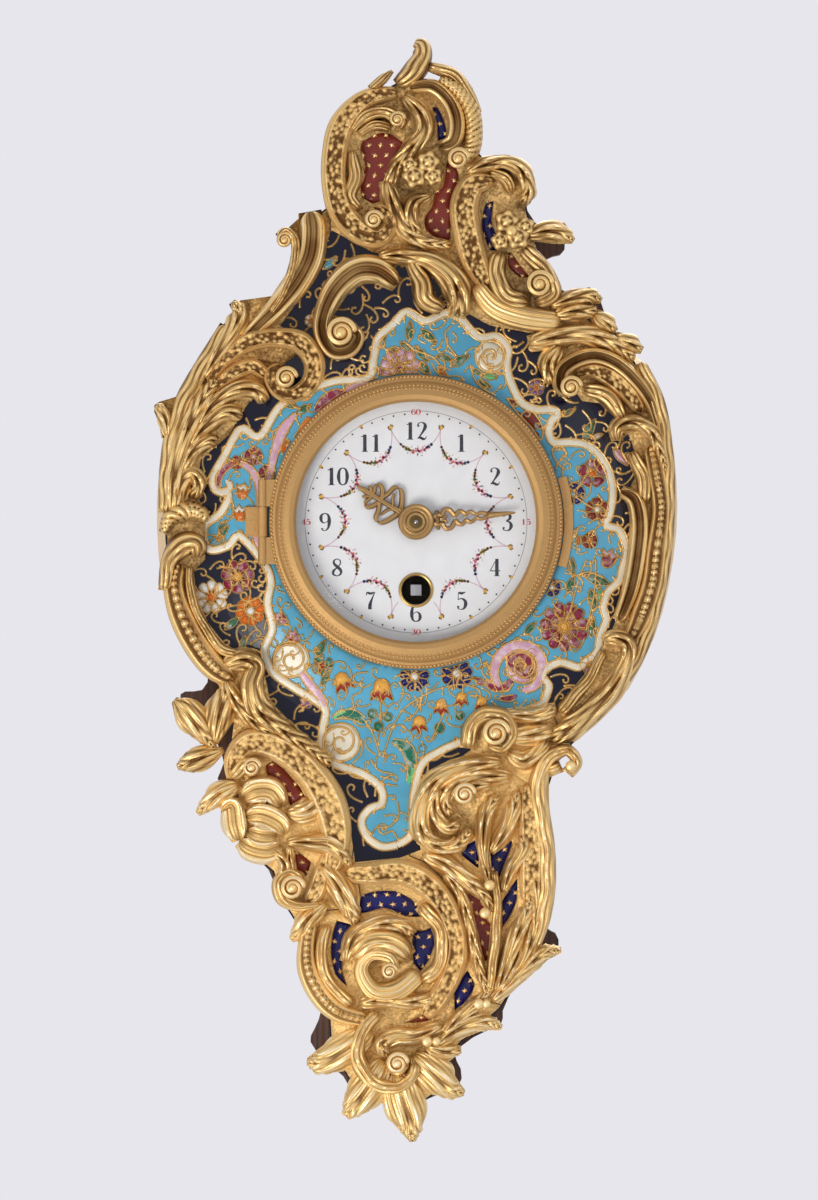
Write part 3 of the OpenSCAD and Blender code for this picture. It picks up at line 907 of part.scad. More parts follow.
// Radii of the pivots in the plates
piv_bar = 1.2;
piv_barf = 2.5;
piv_int = 0.6;
piv_ctr = 0.8;
arb_ctr = 1.2;
tip_r = 0.5;
piv_thd = 0.5;
piv_con = 0.45;
pillar_at = [for (a = [28, 152, 215, 325]) (bplate_r - 4.5) * [cos(a), sin(a)]];
module plate_bores(front) {
  at(bar_p) rod((front ? piv_barf : piv_bar) + run, -5, 60);
  at(int_p) rod(piv_int + run, -5, 60);
  rod((front ? arb_ctr : piv_ctr) + run, -5, 60);
  at(thd_p) rod(piv_thd + run, -5, 60);
  at(con_p) rod(piv_con + run, -5, 60);
  for (p = pillar_at) at(p) rod(0.95, -5, 60);
}
click_p = bar_p + [10.2, 3];
stud_r = 0.8;
module front_plate() {
  color("gold") place() difference() {
    union() {
      rod(mplate_r, fp0, mv);
      at(min_p) rod(stud_r, mv, mv + 3.8);
      at(min_p) rod(1.6, mv, mv + 0.5);
    }
    translate([-60, top_flat, fp0 - 1]) cube([120, 60, mplate_t + 2]);
    plate_bores(true);
    at(click_p) rod(0.7, fp0 - 1, mv + 1);
    for (a = [30, 150, 270]) rotate(a) translate([drum_in - 1.1, 0, fp0 - 1]) cylinder(r = 0.55, h = 4);
  }
}
module back_plate() {
  color("gold") place() difference() {
    rod(bplate_r, bp0, bp1);
    translate([-60, top_flat, bp0 - 1]) cube([120, 60, mplate_t + 2]);
    plate_bores(false);
  }
}
module pillars() {
  color("gold") place() for (p = pillar_at) at(p) difference() {
    rotate_extrude() polygon([[0, bp1], [2.2, bp1], [2.2, bp1 + 2], [1.6, bp1 + 3], [2, (bp1 + fp0)
      / 2],
      [1.6, fp0 - 3], [2.2, fp0 - 2], [2.2, fp0], [0, fp0]]);
    rod(0.95, bp1 - 1, bp1 + 3);
    rod(0.95, fp0 - 3, fp0 + 1);
  }
}
module plate_screws() {
  color("dimgray") place() for (p = pillar_at) at(p) {
    translate([0, 0, bp0]) screw(1.7, 0.8, 0.9, mplate_t + 2.4);
    translate([0, 0, mv]) rotate([180, 0, 0]) screw(1.7, 0.8, 0.9, mplate_t + 2.4);
  }
}
module movement_screws() {
  color("dimgray") place() for (a = [30, 150, 270]) rotate(a)
    translate([drum_in - 1.1, 0, mv]) rotate([180, 0, 0]) screw(0.95, 0.6, 0.5, mplate_t + 1.2);
}

bar_z = mv - 13;
bar_r = 13.2;
cap_z = mv - 6.2;
core_r = 4;
module barrel() {
  color("gold") place() at(bar_p) difference() {
    union() {
      translate([0, 0, bar_z]) linear_extrude(1.4) polygon(gear(n_bar, m_bar, a_bar));
      rod(bar_r, bar_z, mv - 5);
    }
    rod(bar_r - 0.9, bar_z + 1.4, mv);
    rod(2 + run, bar_z - 1, mv);
  }
}
module barrel_cap() {
  color("gold") place() at(bar_p) difference() {
    rod(bar_r - 0.95, cap_z, cap_z + 1);
    rod(2 + run, cap_z - 1, cap_z + 2);
  }
}
// Flat spiral strip from r0 to r1 in the given turns
module spiral(r0, r1, turns, t, z, h) {
  n = turns * 16;
  function sp(i, e) = let (r = r0 + (r1 - r0) * i / n + e) r * [cos(i * 22.5), sin(i * 22.5)];
  translate([0, 0, z]) linear_extrude(h)
    polygon(concat([for (i = [0:n]) sp(i, t / 2)], [for (i = [n:-1:0]) sp(i, -t / 2)]));
}
module mainspring() {
  color("steelblue") place() at(bar_p) spiral(core_r + 0.6, bar_r - 1.4, 6, 0.4, bar_z + 1.7,
    cap_z - bar_z - 2);
}
sq_end = d_seat + 0.6;
module barrel_arbor() {
  color("silver") place() at(bar_p) union() {
    rod(piv_bar, bp0 - 0.8, bp1 + 0.4);
    rod(2, bp1 + 0.4, bar_z + 1.6);
    rod(core_r, bar_z + 1.6, cap_z - 0.2);
    rod(2, cap_z - 0.2, fp0 - 1.2);
    rod(2.9, mv - 4.7, fp0 - 0.2);
    rod(piv_barf, fp0 - 0.2, mv + 0.5);
    translate([-wind_sq / 2, -wind_sq / 2, mv + 0.5]) cube([wind_sq, wind_sq, sq_end - mv - 0.5]);
  }
}
rat_r = 7.2;
rat_z = mv + 0.6;
module ratchet_wheel() {
  p = 360 / n_rat;
  color("silver") place() at(bar_p) difference() {
    translate([0, 0, rat_z]) linear_extrude(1.4)
      polygon([for (i = [0:n_rat - 1], q = [[rat_r, 0], [rat_r - 1, 0.1]])
        q[0] * [cos(p * (i + q[1])), sin(p * (i + q[1]))]]);
    translate([-wind_sq / 2 - 0.02, -wind_sq / 2 - 0.02, rat_z - 1]) cube([wind_sq + 0.04,
      wind_sq + 0.04, 4]);
  }
}
// The click lies just clear of the tooth tips, its nose over a gap
module click() {
  color("silver") place() at(bar_p) difference() {
    translate([0, 0, rat_z]) linear_extrude(1.2) polygon([[7.55, -0.5], [8.6, -0.9], [11.6, 1.8],
      [11.9, 3.4], [10.6, 4.6],
      [9, 4.2], [8.6, 2.6]]);
    translate([10.2, 3, rat_z - 1]) cylinder(r = 0.9 + run, h = 4, $fn = 32);
  }
}
module click_screw() {
  color("dimgray") place() at(click_p) union() {
    rod(0.65, fp0 + 0.1, mv);
    rod(0.9, mv, rat_z + 1.3);
    rod(1.5, rat_z + 1.3, rat_z + 2);
  }
}
module click_spring() {
  color("steelblue") place() at(bar_p) translate([0, 0, mv]) union() {
    linear_extrude(1.4) polygon([[12.5, -9], [14.5, -9], [14.5, -6.5], [12.5, -6.5]]);
    linear_extrude(1.4) polygon([[12.6, -6.6], [13.2, -6.6], [12.9, -2], [12.6, 1.2], [12.3, 1.2],
      [12.4, -2]]);
  }
}

module intermediate_wheel() {
  color("gold") place() at(int_p) union() {
    rod(piv_int, bp0 + 0.1, mv - 0.1);
    rod(1, bp1 + 0.2, fp0 - 0.2);
    translate([0, 0, bar_z - 0.2]) linear_extrude(1.8) polygon(gear(n_ip, m_bar, a_ip));
    wheel(n_int, m_int, a_int, mv - 3.4, 0.8, 5, 2.6);
    rod(1.8, mv - 4.2, mv - 3.4);
  }
}
module centre_wheel() {
  color("gold") place() union() {
    rod(piv_ctr, bp0 + 0.1, bp1 + 1);
    rod(1.1, bp1 + 0.2, fp0 - 0.1);
    rod(arb_ctr, fp0 - 0.1, minute_z - 0.4);
    rod(tip_r, minute_z - 0.5, collet_z + 1.1);
    translate([0, 0, mv - 3.9]) linear_extrude(1.8) polygon(gear(n_cp, m_int, a_cp));
    wheel(n_ctr, m_ctr, a_ctr, mv - 15.2, 0.8, 5, 2.4);
    rod(1.8, mv - 14.4, mv - 13.6);
  }
}
module cannon_pinion() {
  color("silver") place() difference() {
    union() {
      rod(cannon_r, mv + 0.3, minute_z - 0.1);
      translate([0, 0, mv + 0.3]) linear_extrude(1.6) polygon(gear(n_can, m_can, a_can));
      rotate([0, 0, -minute_at]) translate([-hand_sq / 2, -hand_sq / 2, minute_z - 0.2])
        cube([hand_sq, hand_sq, hand_t + 0.7]);
    }
    rod(tip_r + 0.1, minute_z - 0.5, minute_z + 3);
    rod(arb_ctr + 0.02, mv - 1, minute_z - 0.3);
  }
}
module minute_wheel() {
  color("gold") place() at(min_p) difference() {
    union() {
      wheel(n_min, m_can, a_min, mv + 0.6, 0.9, 0, 2);
      translate([0, 0, mv + 1.4]) linear_extrude(1.7) polygon(gear(n_mp, m_hour, a_mp));
    }
    rod(stud_r + run, mv - 1, mv + 6);
  }
}
module hour_wheel() {
  color("gold") place() difference() {
    union() {
      wheel(n_hour, m_hour, a_hour, mv + 2.2, 0.8, 4, 3.2);
      rod(hour_tube, mv + 2.2, hour_z + hand_t + 0.2);
    }
    rod(cannon_r + run, mv, hour_z + 5);
  }
}
module third_wheel() {
  color("gold") place() at(thd_p) union() {
    rod(piv_thd, bp0 + 0.1, mv - 0.1);
    rod(0.65, bp1 + 0.2, fp0 - 0.2);
    translate([0, 0, mv - 15.7]) linear_extrude(1.8) polygon(gear(n_tp, m_ctr, a_tp));
    wheel(n_thd, m_thd, a_thd, mv - 10, 0.8, 5, 2);
  }
}
crown_gap = 0.5;
module contrate_wheel() {
  color("gold") place() at(con_p) union() {
    rod(piv_con, bp0 + 0.1, mv - 0.1);
    rod(0.65, bp1 + 0.2, fp0 - 0.2);
    translate([0, 0, mv - 10.6]) linear_extrude(2) polygon(gear(n_kp, m_thd, a_kp));
    difference() {
      rod(crown_r, crown_z - 0.8, crown_z + crown_tooth);
      rod(crown_in, crown_z, crown_z + 5);
      for (i = [0:n_crown - 1]) rotate(90 + i * 360 / n_crown)
        translate([crown_in - 1, -crown_gap / 2 - 0.07, crown_z]) cube([3, crown_gap + 0.14, 5]);
      for (i = [0:3]) rotate(45 + i * 90) translate([5.2, 0, crown_z - 2]) cylinder(r = 2.4, h = 4,
        $fn = 32);
    }
  }
}
// Turns a plan drawn in x and depth so that it stands across the height y
module upright(y0) {
  translate([0, y0, 0]) rotate([-90, 0, 0]) mirror([0, 1, 0]) children();
}
esc_y = plat_y + plat_t + 1.2;
cock_y = plat_y + plat_t + 2.7;
module escape_wheel() {
  color("silver") place() union() {
    upright(0) translate([0, esc_d, 0]) union() {
      rod(0.3, esc_y0 - 1.9, cock_y + 0.5);
      translate([0, 0, esc_y0 - 0.1]) linear_extrude(2) polygon([for (i = [0:n_ep - 1], q = [[0.45,
        -0.2], [1.17, -0.08],
        [1.17, 0.08], [0.45, 0.2]]) q[0] * [cos(-90 + 60 * (i + q[1])), sin(-90 + 60 * (i + q[1]))]]);
      rod(0.55, plat_y + 0.1, cock_y - 0.2);
      translate([0, 0, esc_y]) linear_extrude(0.5) difference() {
        polygon([for (i = [0:14], q = [[2.9, -0.32], [esc_tip, 0], [esc_tip - 0.1, 0.07], [2.9, 0.14]])
          q[0] * [cos(24 * (i + q[1])), sin(24 * (i + q[1]))]]);
        for (i = [0:3]) rotate(45 + 90 * i) translate([1.6, 0]) circle(r = 0.75, $fn = 24);
      }
    }
  }
}
plat_x0 = -9;
plat_x1 = 17;
module platform() {
  color("silver") place() difference() {
    translate([plat_x0, plat_y, bp0]) cube([plat_x1 - plat_x0, plat_t, mv - bp0]);
    upright(0) translate([0, esc_d, 0]) rod(0.55 + run, 0, 60);
    upright(0) translate(lev_p) rod(0.35 + run, 0, 60);
    upright(0) translate(bal_p) rod(0.4 + run, 0, 60);
    for (s = [-1, 1]) translate([s * 2.6, 0, mv - 3.1]) rotate([-90, 0, 0]) cylinder(r = 0.6,
      h = 60, $fn = 24);
    for (s = [-1, 1]) translate([-7, 0, esc_d + s * 2.2]) rotate([-90, 0, 0]) cylinder(r = 0.6,
      h = 60, $fn = 24);
    translate([bal_p[0], 0, bal_p[1] + 9.4]) rotate([-90, 0, 0]) cylinder(r = 0.6, h = 60, $fn = 24);
    for (x = [-7.5, 15.5], z = [bp0 + mplate_t / 2, fp0 + mplate_t / 2])
      translate([x, 0, z]) rotate([-90, 0, 0]) cylinder(r = 0.5, h = 60, $fn = 24);
  }
}
module potence() {
  color("gold") place() difference() {
    union() {
      translate([-3.6, plat_y - 1, mv - 4]) cube([7.2, 1, 2]);
      translate([-1.6, esc_y0 - 2, mv - 3.6]) cube([3.2, plat_y - esc_y0 + 1.4, 1.2]);
      translate([-1.6, esc_y0 - 2, esc_d - 0.9]) cube([3.2, 1.1, mv - 3.4 - esc_d + 0.9]);
    }
    upright(0) translate([0, esc_d, 0]) rod(0.3 + run, 0, 60);
    for (s = [-1, 1]) translate([s * 2.6, 0, mv - 3.1]) rotate([-90, 0, 0]) cylinder(r = 0.6,
      h = 60, $fn = 24);
  }
}
module escape_cock() {
  color("gold") place() difference() {
    union() {
      upright(cock_y) linear_extrude(0.7) polygon([[-8.6, esc_d + 3.6], [-8.6, esc_d - 3.6], [-3,
        esc_d - 3.4],
        lev_p + [-0.6, -1.3], lev_p + [1, -0.9], lev_p + [1.2, 0.8], [1.6, esc_d + 1.6], [-2,
          esc_d + 2.2]]);
      translate([-8.6, plat_y + plat_t, esc_d - 3.6]) cube([3.2, cock_y - plat_y - plat_t, 7.2]);
    }
    upright(0) translate([0, esc_d, 0]) rod(0.3 + run, 0, 60);
    upright(0) translate(lev_p) rod(0.35 + run, 0, 60);
    for (s = [-1, 1]) translate([-7, 0, esc_d + s * 2.2]) rotate([-90, 0, 0]) cylinder(r = 0.6,
      h = 60, $fn = 24);
  }
}
lev_a = atan2(lev_dir[1], lev_dir[0]);
module lever() {
  color("silver") place() upright(0) translate(lev_p) union() {
    rod(0.35, plat_y + 0.2, cock_y + 0.5);
    translate([0, 0, esc_y - 0.1]) rotate(lev_a) linear_extrude(0.7) polygon([[5.1, 0.85], [5.1,
      0.4], [4.3, 0.35],
      [4.3, -0.35], [5.1, -0.4], [5.1, -0.85], [3, -0.5], [0.6, -0.6], [-0.4, -1], [-1.6, -3.1],
        [-2.5, -3.9],
      [-3.1, -3.5], [-2.3, -2.6], [-1.5, -1.2], [-1.1, 0], [-1.5, 1.2], [-2.3, 2.6], [-3.1, 3.5],
        [-2.5, 3.9],
      [-1.6, 3.1], [-0.4, 1], [0.6, 0.6], [3, 0.5]]);
  }
}
bal_y = cock_y + 1.3;
bal_r = balance_d / 2;
bcock_y = bal_y + 2.6;
module balance_wheel() {
  color("gold") place() upright(0) translate(bal_p) union() {
    rod(0.4, plat_y + 0.2, bcock_y + 0.7);
    rod(0.8, esc_y - 0.6, bcock_y - 0.2);
    translate([0, 0, esc_y - 0.8]) cylinder(r = 1.9, h = 0.5);
    translate([1.35 * cos(lev_a + 180), 1.35 * sin(lev_a + 180), esc_y - 0.4]) cylinder(r = 0.25,
      h = 1, $fn = 24);
    difference() {
      rod(bal_r, bal_y, bal_y + 1);
      for (s = [0, 180]) rotate(s + lev_a) intersection() {
        translate([0, 0, bal_y - 1]) cylinder(r = bal_r - 0.9, h = 3);
        translate([-10, 0.6, bal_y - 1]) cube([20, 20, 3]);
      }
    }
    for (a = [15:30:345]) rotate(a) translate([bal_r - 0.3, 0, bal_y + 0.5]) rotate([0, 90, 0])
      cylinder(r = 0.32, h = 0.7, $fn = 16);
  }
}
module hairspring() {
  color("steelblue") place() upright(0) translate(bal_p) spiral(1.1, 3.6, 6, 0.1, bal_y + 1.3, 0.6);
}
module balance_cock() {
  color("gold") place() difference() {
    union() {
      upright(bcock_y) linear_extrude(1) polygon([bal_p + [-3, 11], bal_p + [-3, 7.6],
        bal_p + [-1.6, -0.4],
        bal_p + [-0.9, -1.3], bal_p + [0.9, -1.3], bal_p + [1.6, -0.4], bal_p + [3, 7.6],
          bal_p + [3, 11]]);
      translate([bal_p[0] - 3, plat_y + plat_t, bal_p[1] + 7.6]) cube([6, bcock_y - plat_y - plat_t,
        3.4]);
      translate([bal_p[0] - 0.4, bal_y + 1.3, bal_p[1] + 4]) cube([0.8, bcock_y - bal_y - 1.2, 0.8]);
    }
    upright(0) translate(bal_p) rod(0.4 + run, 0, 60);
    translate([bal_p[0], 0, bal_p[1] + 9.4]) rotate([-90, 0, 0]) cylinder(r = 0.6, h = 60, $fn = 24);
  }
}
// A small screw standing along the height, head up at y
module top_screw(x, y, z, len) {
  translate([x, y, z]) rotate([90, 0, 0]) screw(1.05, 0.6, 0.5, len);
}
module platform_screws() {
  color("dimgray") place() {
    for (s = [-1, 1]) top_screw(-7, cock_y + 0.7, esc_d + s * 2.2, 4);
    top_screw(bal_p[0], bcock_y + 1, bal_p[1] + 9.4, 7.4);
    for (s = [-1, 1]) top_screw(s * 2.6, plat_y + plat_t, mv - 3.1, 2);
    for (x = [-7.5, 15.5], z = [bp0 + mplate_t / 2, fp0 + mplate_t / 2]) translate([x,
      plat_y + plat_t, z])
      rotate([90, 0, 0]) screw(0.7, 0.5, 0.45, plat_t - 0.05);
  }
}

backboard();
hanging_plate();
hanging_screws();
case_band();
enamel_plate();
crest_mount();
left_mount();
right_mount();
rose_mount();
reed_mount();
base_mount();
mount_screws();
movement_drum();
drum_screws();
back_cover();
bezel();
sight_ring();
glass();
hinge_leaf();
hinge_pin();
bezel_catch();
dial();
winding_grommet();
hour_hand();
minute_hand();
hand_collet();
front_plate();
back_plate();
pillars();
plate_screws();
movement_screws();
barrel();
barrel_cap();
mainspring();
barrel_arbor();
ratchet_wheel();
click();
click_spring();
click_screw();
intermediate_wheel();
centre_wheel();
cannon_pinion();
minute_wheel();
hour_wheel();
third_wheel();
contrate_wheel();
escape_wheel();
platform();
potence();
escape_cock();
lever();
balance_wheel();
hairspring();
balance_cock();
platform_screws();
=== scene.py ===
"""Dresses a small gilt-bronze cartel wall clock: chased ornament, cloisonne front, painted dial and stage."""

import math

import bmesh
import bpy
from mathutils import Matrix, Vector, noise


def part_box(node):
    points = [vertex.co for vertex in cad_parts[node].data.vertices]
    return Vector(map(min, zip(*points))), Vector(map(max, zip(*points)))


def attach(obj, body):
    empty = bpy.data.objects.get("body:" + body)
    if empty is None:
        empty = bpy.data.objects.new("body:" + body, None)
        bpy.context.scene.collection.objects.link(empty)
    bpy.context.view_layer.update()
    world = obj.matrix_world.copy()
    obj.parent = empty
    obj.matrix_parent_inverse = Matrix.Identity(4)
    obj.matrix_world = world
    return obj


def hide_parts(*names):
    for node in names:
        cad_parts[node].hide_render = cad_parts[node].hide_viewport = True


bl_info = {
    "name": "Cartel clock",
    "version": (1, 0, 0),
    "blender": (4, 5, 0),
    "location": "View3D > Sidebar > Cartel clock",
    "description": "Builds the chased ornament, enamels, dial and stage of a cartel wall clock",
    "category": "Object",
}

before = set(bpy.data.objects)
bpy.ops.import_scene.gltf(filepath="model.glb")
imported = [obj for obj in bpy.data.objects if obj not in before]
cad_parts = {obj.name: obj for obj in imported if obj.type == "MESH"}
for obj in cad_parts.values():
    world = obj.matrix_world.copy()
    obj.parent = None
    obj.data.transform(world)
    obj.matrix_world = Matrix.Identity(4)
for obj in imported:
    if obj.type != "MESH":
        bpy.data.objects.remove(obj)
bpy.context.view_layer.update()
MM = 0.001
# Millimetres in the sketch of the front: dial axis at the middle, depth forward from the wall
DIAL_DROP = 112.0
SEAT = -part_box("dial")[0].y / MM
FACE = SEAT - 5.0
# The radii between which the enamel front rises to the dial, and the facets of that rise
DOME_OUT = 73.0
DOME_IN = 48.5
DOME_STEPS = 8
# The turquoise ground runs in under the bezel, and its pattern keeps outside the closed door
GROUND_EDGE = 46.2
PATTERN_EDGE = 47.6
# Tries at small tendrils, with the turn and the stride that scatter them evenly
TENDRILS = 900
TENDRIL_TURN = 2.399963
TENDRIL_STRIDE = 0.754877
# Spacing of the sprigs in the windows, across and up
SPRIG_GAP = (3.8, 3.2)
# How far the winding square lies below the middle of the dial
WIND_DROP = 21.8
# Radius of the very dark well round the winding square, a painted shadow for the inside of the winding hole
WELL = 4.65
# Half the width of the winding square, with a little air
SQUARE = 1.72
# The stage, in metres: level of the floor, point at which the lamps aim, and the camera's place across and up
FLOOR_LEVEL = -0.95
LAMP_AIM = Vector((0, 0, -0.12))
CAMERA_X, CAMERA_Z = -0.00224, -0.13696
CAMERA_LENS = 231.8
# How much of the floor is plain ground; the rest keeps the shadow
FLOOR_PLAIN = 0.85

# Crest: C-scrolls, finial, acanthus, arch and buds
CREST = [
    ["tex", (-6, 137.5, 2.2, 6), (-16, 135.5, 3.2, 6), (-23.5, 127.5, 4.2, 6.5),
    (-26, 117.5, 4.2, 7), (-26, 108, 4.2, 7), (-23.5, 99, 4.5, 7.5), (-18, 93, 4.2, 8),
    (-12, 91, 3.2, 8.5), (-8, 95.5, 2.6, 9), (-11, 100, 1.9, 9), (-15, 99, 1.6, 9)],
    ["smooth", (-20.5, 119, 1.3, 5), (-19.5, 111, 2.6, 5.5), (-21, 104.5, 2.2, 5.5),
    (-18, 100, 1.6, 5.5)],
    ["smooth", (-20.5, 125, 1, 6), (-16.5, 129.5, 2.2, 7), (-10, 131, 2.2, 8),
    (-5.5, 128.5, 2.6, 8.5), (-6, 126, 1.6, 8)],
    ["smooth", (-18.5, 124, 1.3, 5), (-13.5, 127, 1.9, 6), (-8, 126, 1.6, 6)],
    ["smooth", (-6, 140, 2.2, 6), (-0.5, 144.5, 3.8, 8), (2, 149, 3.2, 9), (1.5, 152.5, 2.9, 9),
    (-0.5, 153.5, 1.3, 8)],
    ["smooth", (-14.5, 138.5, 1.6, 5), (-10.5, 142, 1.6, 5.5), (-7.5, 144.5, 0.6, 5)],
    ["chan", (-2, 139, 1.9, 6), (5, 139.5, 2.6, 7), (10.5, 135, 2.9, 7), (13, 128.5, 3.2, 7),
    (12, 122, 2.9, 7), (7.5, 120, 2.2, 6)],
    ["gad", (7.5, 142, 1.6, 6), (13.5, 138, 2.6, 7), (17.5, 132, 2.9, 7.5), (18.5, 125, 2.9, 7.5),
    (17.5, 119, 2.9, 8), (13.5, 115.5, 2.9, 8.5)],
    ["smooth", (4, 146, 1.6, 5), (11.5, 143.5, 2.2, 5), (16.5, 138, 1.9, 5), (20, 131, 1.3, 4)],
    ["leaf", (-4, 136.5, 1.9, 6), (1.5, 130.5, 3.5, 7.5), (2.5, 125, 3.8, 8),
    (-1.5, 119.5, 3.2, 8), (-6, 114, 2.6, 7), (-8.5, 107.5, 2.6, 6.5)],
    ["leaf", (-9.5, 109.5, 2.6, 6), (-7.5, 101.5, 3.5, 7), (-4, 93.5, 3.5, 7), (3, 89.5, 2.6, 6),
    (11.5, 88.5, 1.6, 5)],
    ["leaf", (5, 104.5, 1.3, 6), (-0.5, 102.5, 2.9, 7), (-1.5, 96.5, 2.9, 6.5),
    (1.5, 91.5, 1.6, 6)],
    ["tex", (25, 109.5, 2.2, 6.5), (18.5, 108, 4.2, 7), (15.5, 101.5, 4.8, 7.5),
    (16.5, 92, 4.8, 7.5), (19, 83, 4.5, 7.5), (22.5, 75.5, 2.6, 6)],
    ["leaf", (16, 111.5, 1.9, 7), (22, 114, 2.9, 8), (28.5, 115, 2.9, 9), (33.5, 112.5, 3.2, 8.5),
    (36, 106, 2.6, 8), (33.5, 102, 1.9, 7)],
    ["smooth", (23.5, 112, 1.6, 7), (28.5, 110, 2.2, 7.5), (30.5, 105.5, 1.9, 7)],
    ["leaf", (35, 91.5, 1.9, 5.5), (41.5, 93, 3.2, 6), (46.5, 92.5, 3.5, 6), (50.5, 90, 1, 4.5)],
    ["smooth", (34, 88, 2.6, 6), (38.5, 83.5, 2.9, 6.5), (42.5, 78.5, 2.6, 7), (44, 73, 2.6, 7),
    (38.5, 70, 2.6, 7)],
    ["smooth", (27, 86.5, 2.9, 5.5), (25.5, 79, 3.5, 6), (29, 72.5, 3.5, 6.5), (36, 70, 3.2, 6.5)],
    ["rib", (19, 76, 2.9, 5.5), (25, 69, 3.8, 6), (34.5, 65.5, 4.2, 6.5), (46.5, 64, 3.5, 6)],
    ["leaf", (43, 69, 1.6, 5), (50, 71.5, 2.9, 6), (55.5, 72.5, 2.9, 6), (59.5, 71, 1, 4.5)],
    ["leaf", (44, 66, 1.6, 5), (51, 67.5, 3.5, 6.5), (58, 67.5, 1.6, 5)],
    ["leaf", (57, 66.5, 2.2, 5), (60.5, 64, 3.2, 6), (64, 61, 1.3, 5)],
    ["leaf", (63.5, 59, 2.2, 5), (68.5, 57, 3.2, 6), (72.5, 55, 1.3, 5)],
    ["chan", (-6, 76, 2.6, 5.5), (-12, 80.5, 4.5, 7.5), (-19, 80.5, 4.8, 8), (-25.5, 75, 4.2, 8.5),
    (-29.5, 67, 3.2, 8.5), (-30, 60, 2.9, 8.5), (-26.5, 54.5, 2.6, 8.5), (-21, 55, 2.6, 8.5),
    (-18.5, 59.5, 2.2, 8.5), (-22, 63, 1.9, 8.5)],
    ["leaf", (-12, 85, 1.9, 6), (-3.5, 85, 2.9, 7.5), (5, 83, 3.5, 8.5), (11.5, 77.5, 4.8, 9),
    (14, 70.5, 4.2, 9), (13, 65.5, 2.9, 8)],
    ["smooth", (-2, 84, 1.9, 6), (1.5, 77.5, 3.2, 7.5), (3, 71.5, 3.5, 8), (8.5, 68, 2.2, 7)],
]
CREST_BOSSES = [
    (-13.5, 96.5, 2.2, 10), (-6, 128.5, 1.9, 9.5), (4, 115, 3.5, 9.5), (-0.5, 110.5, 3.8, 9),
    (5.5, 110.5, 2.9, 9), (-2, 114, 2.6, 8.5), (13.5, 116, 2.6, 9), (29, 96, 3.8, 8),
    (32.5, 91, 3.8, 8.5), (27, 90, 2.9, 7.5), (35, 94.5, 2.9, 8), (30.5, 93, 1.6, 9.5),
    (39.5, 76, 3.2, 8.5), (-24, 60.5, 3.5, 9.5),
]
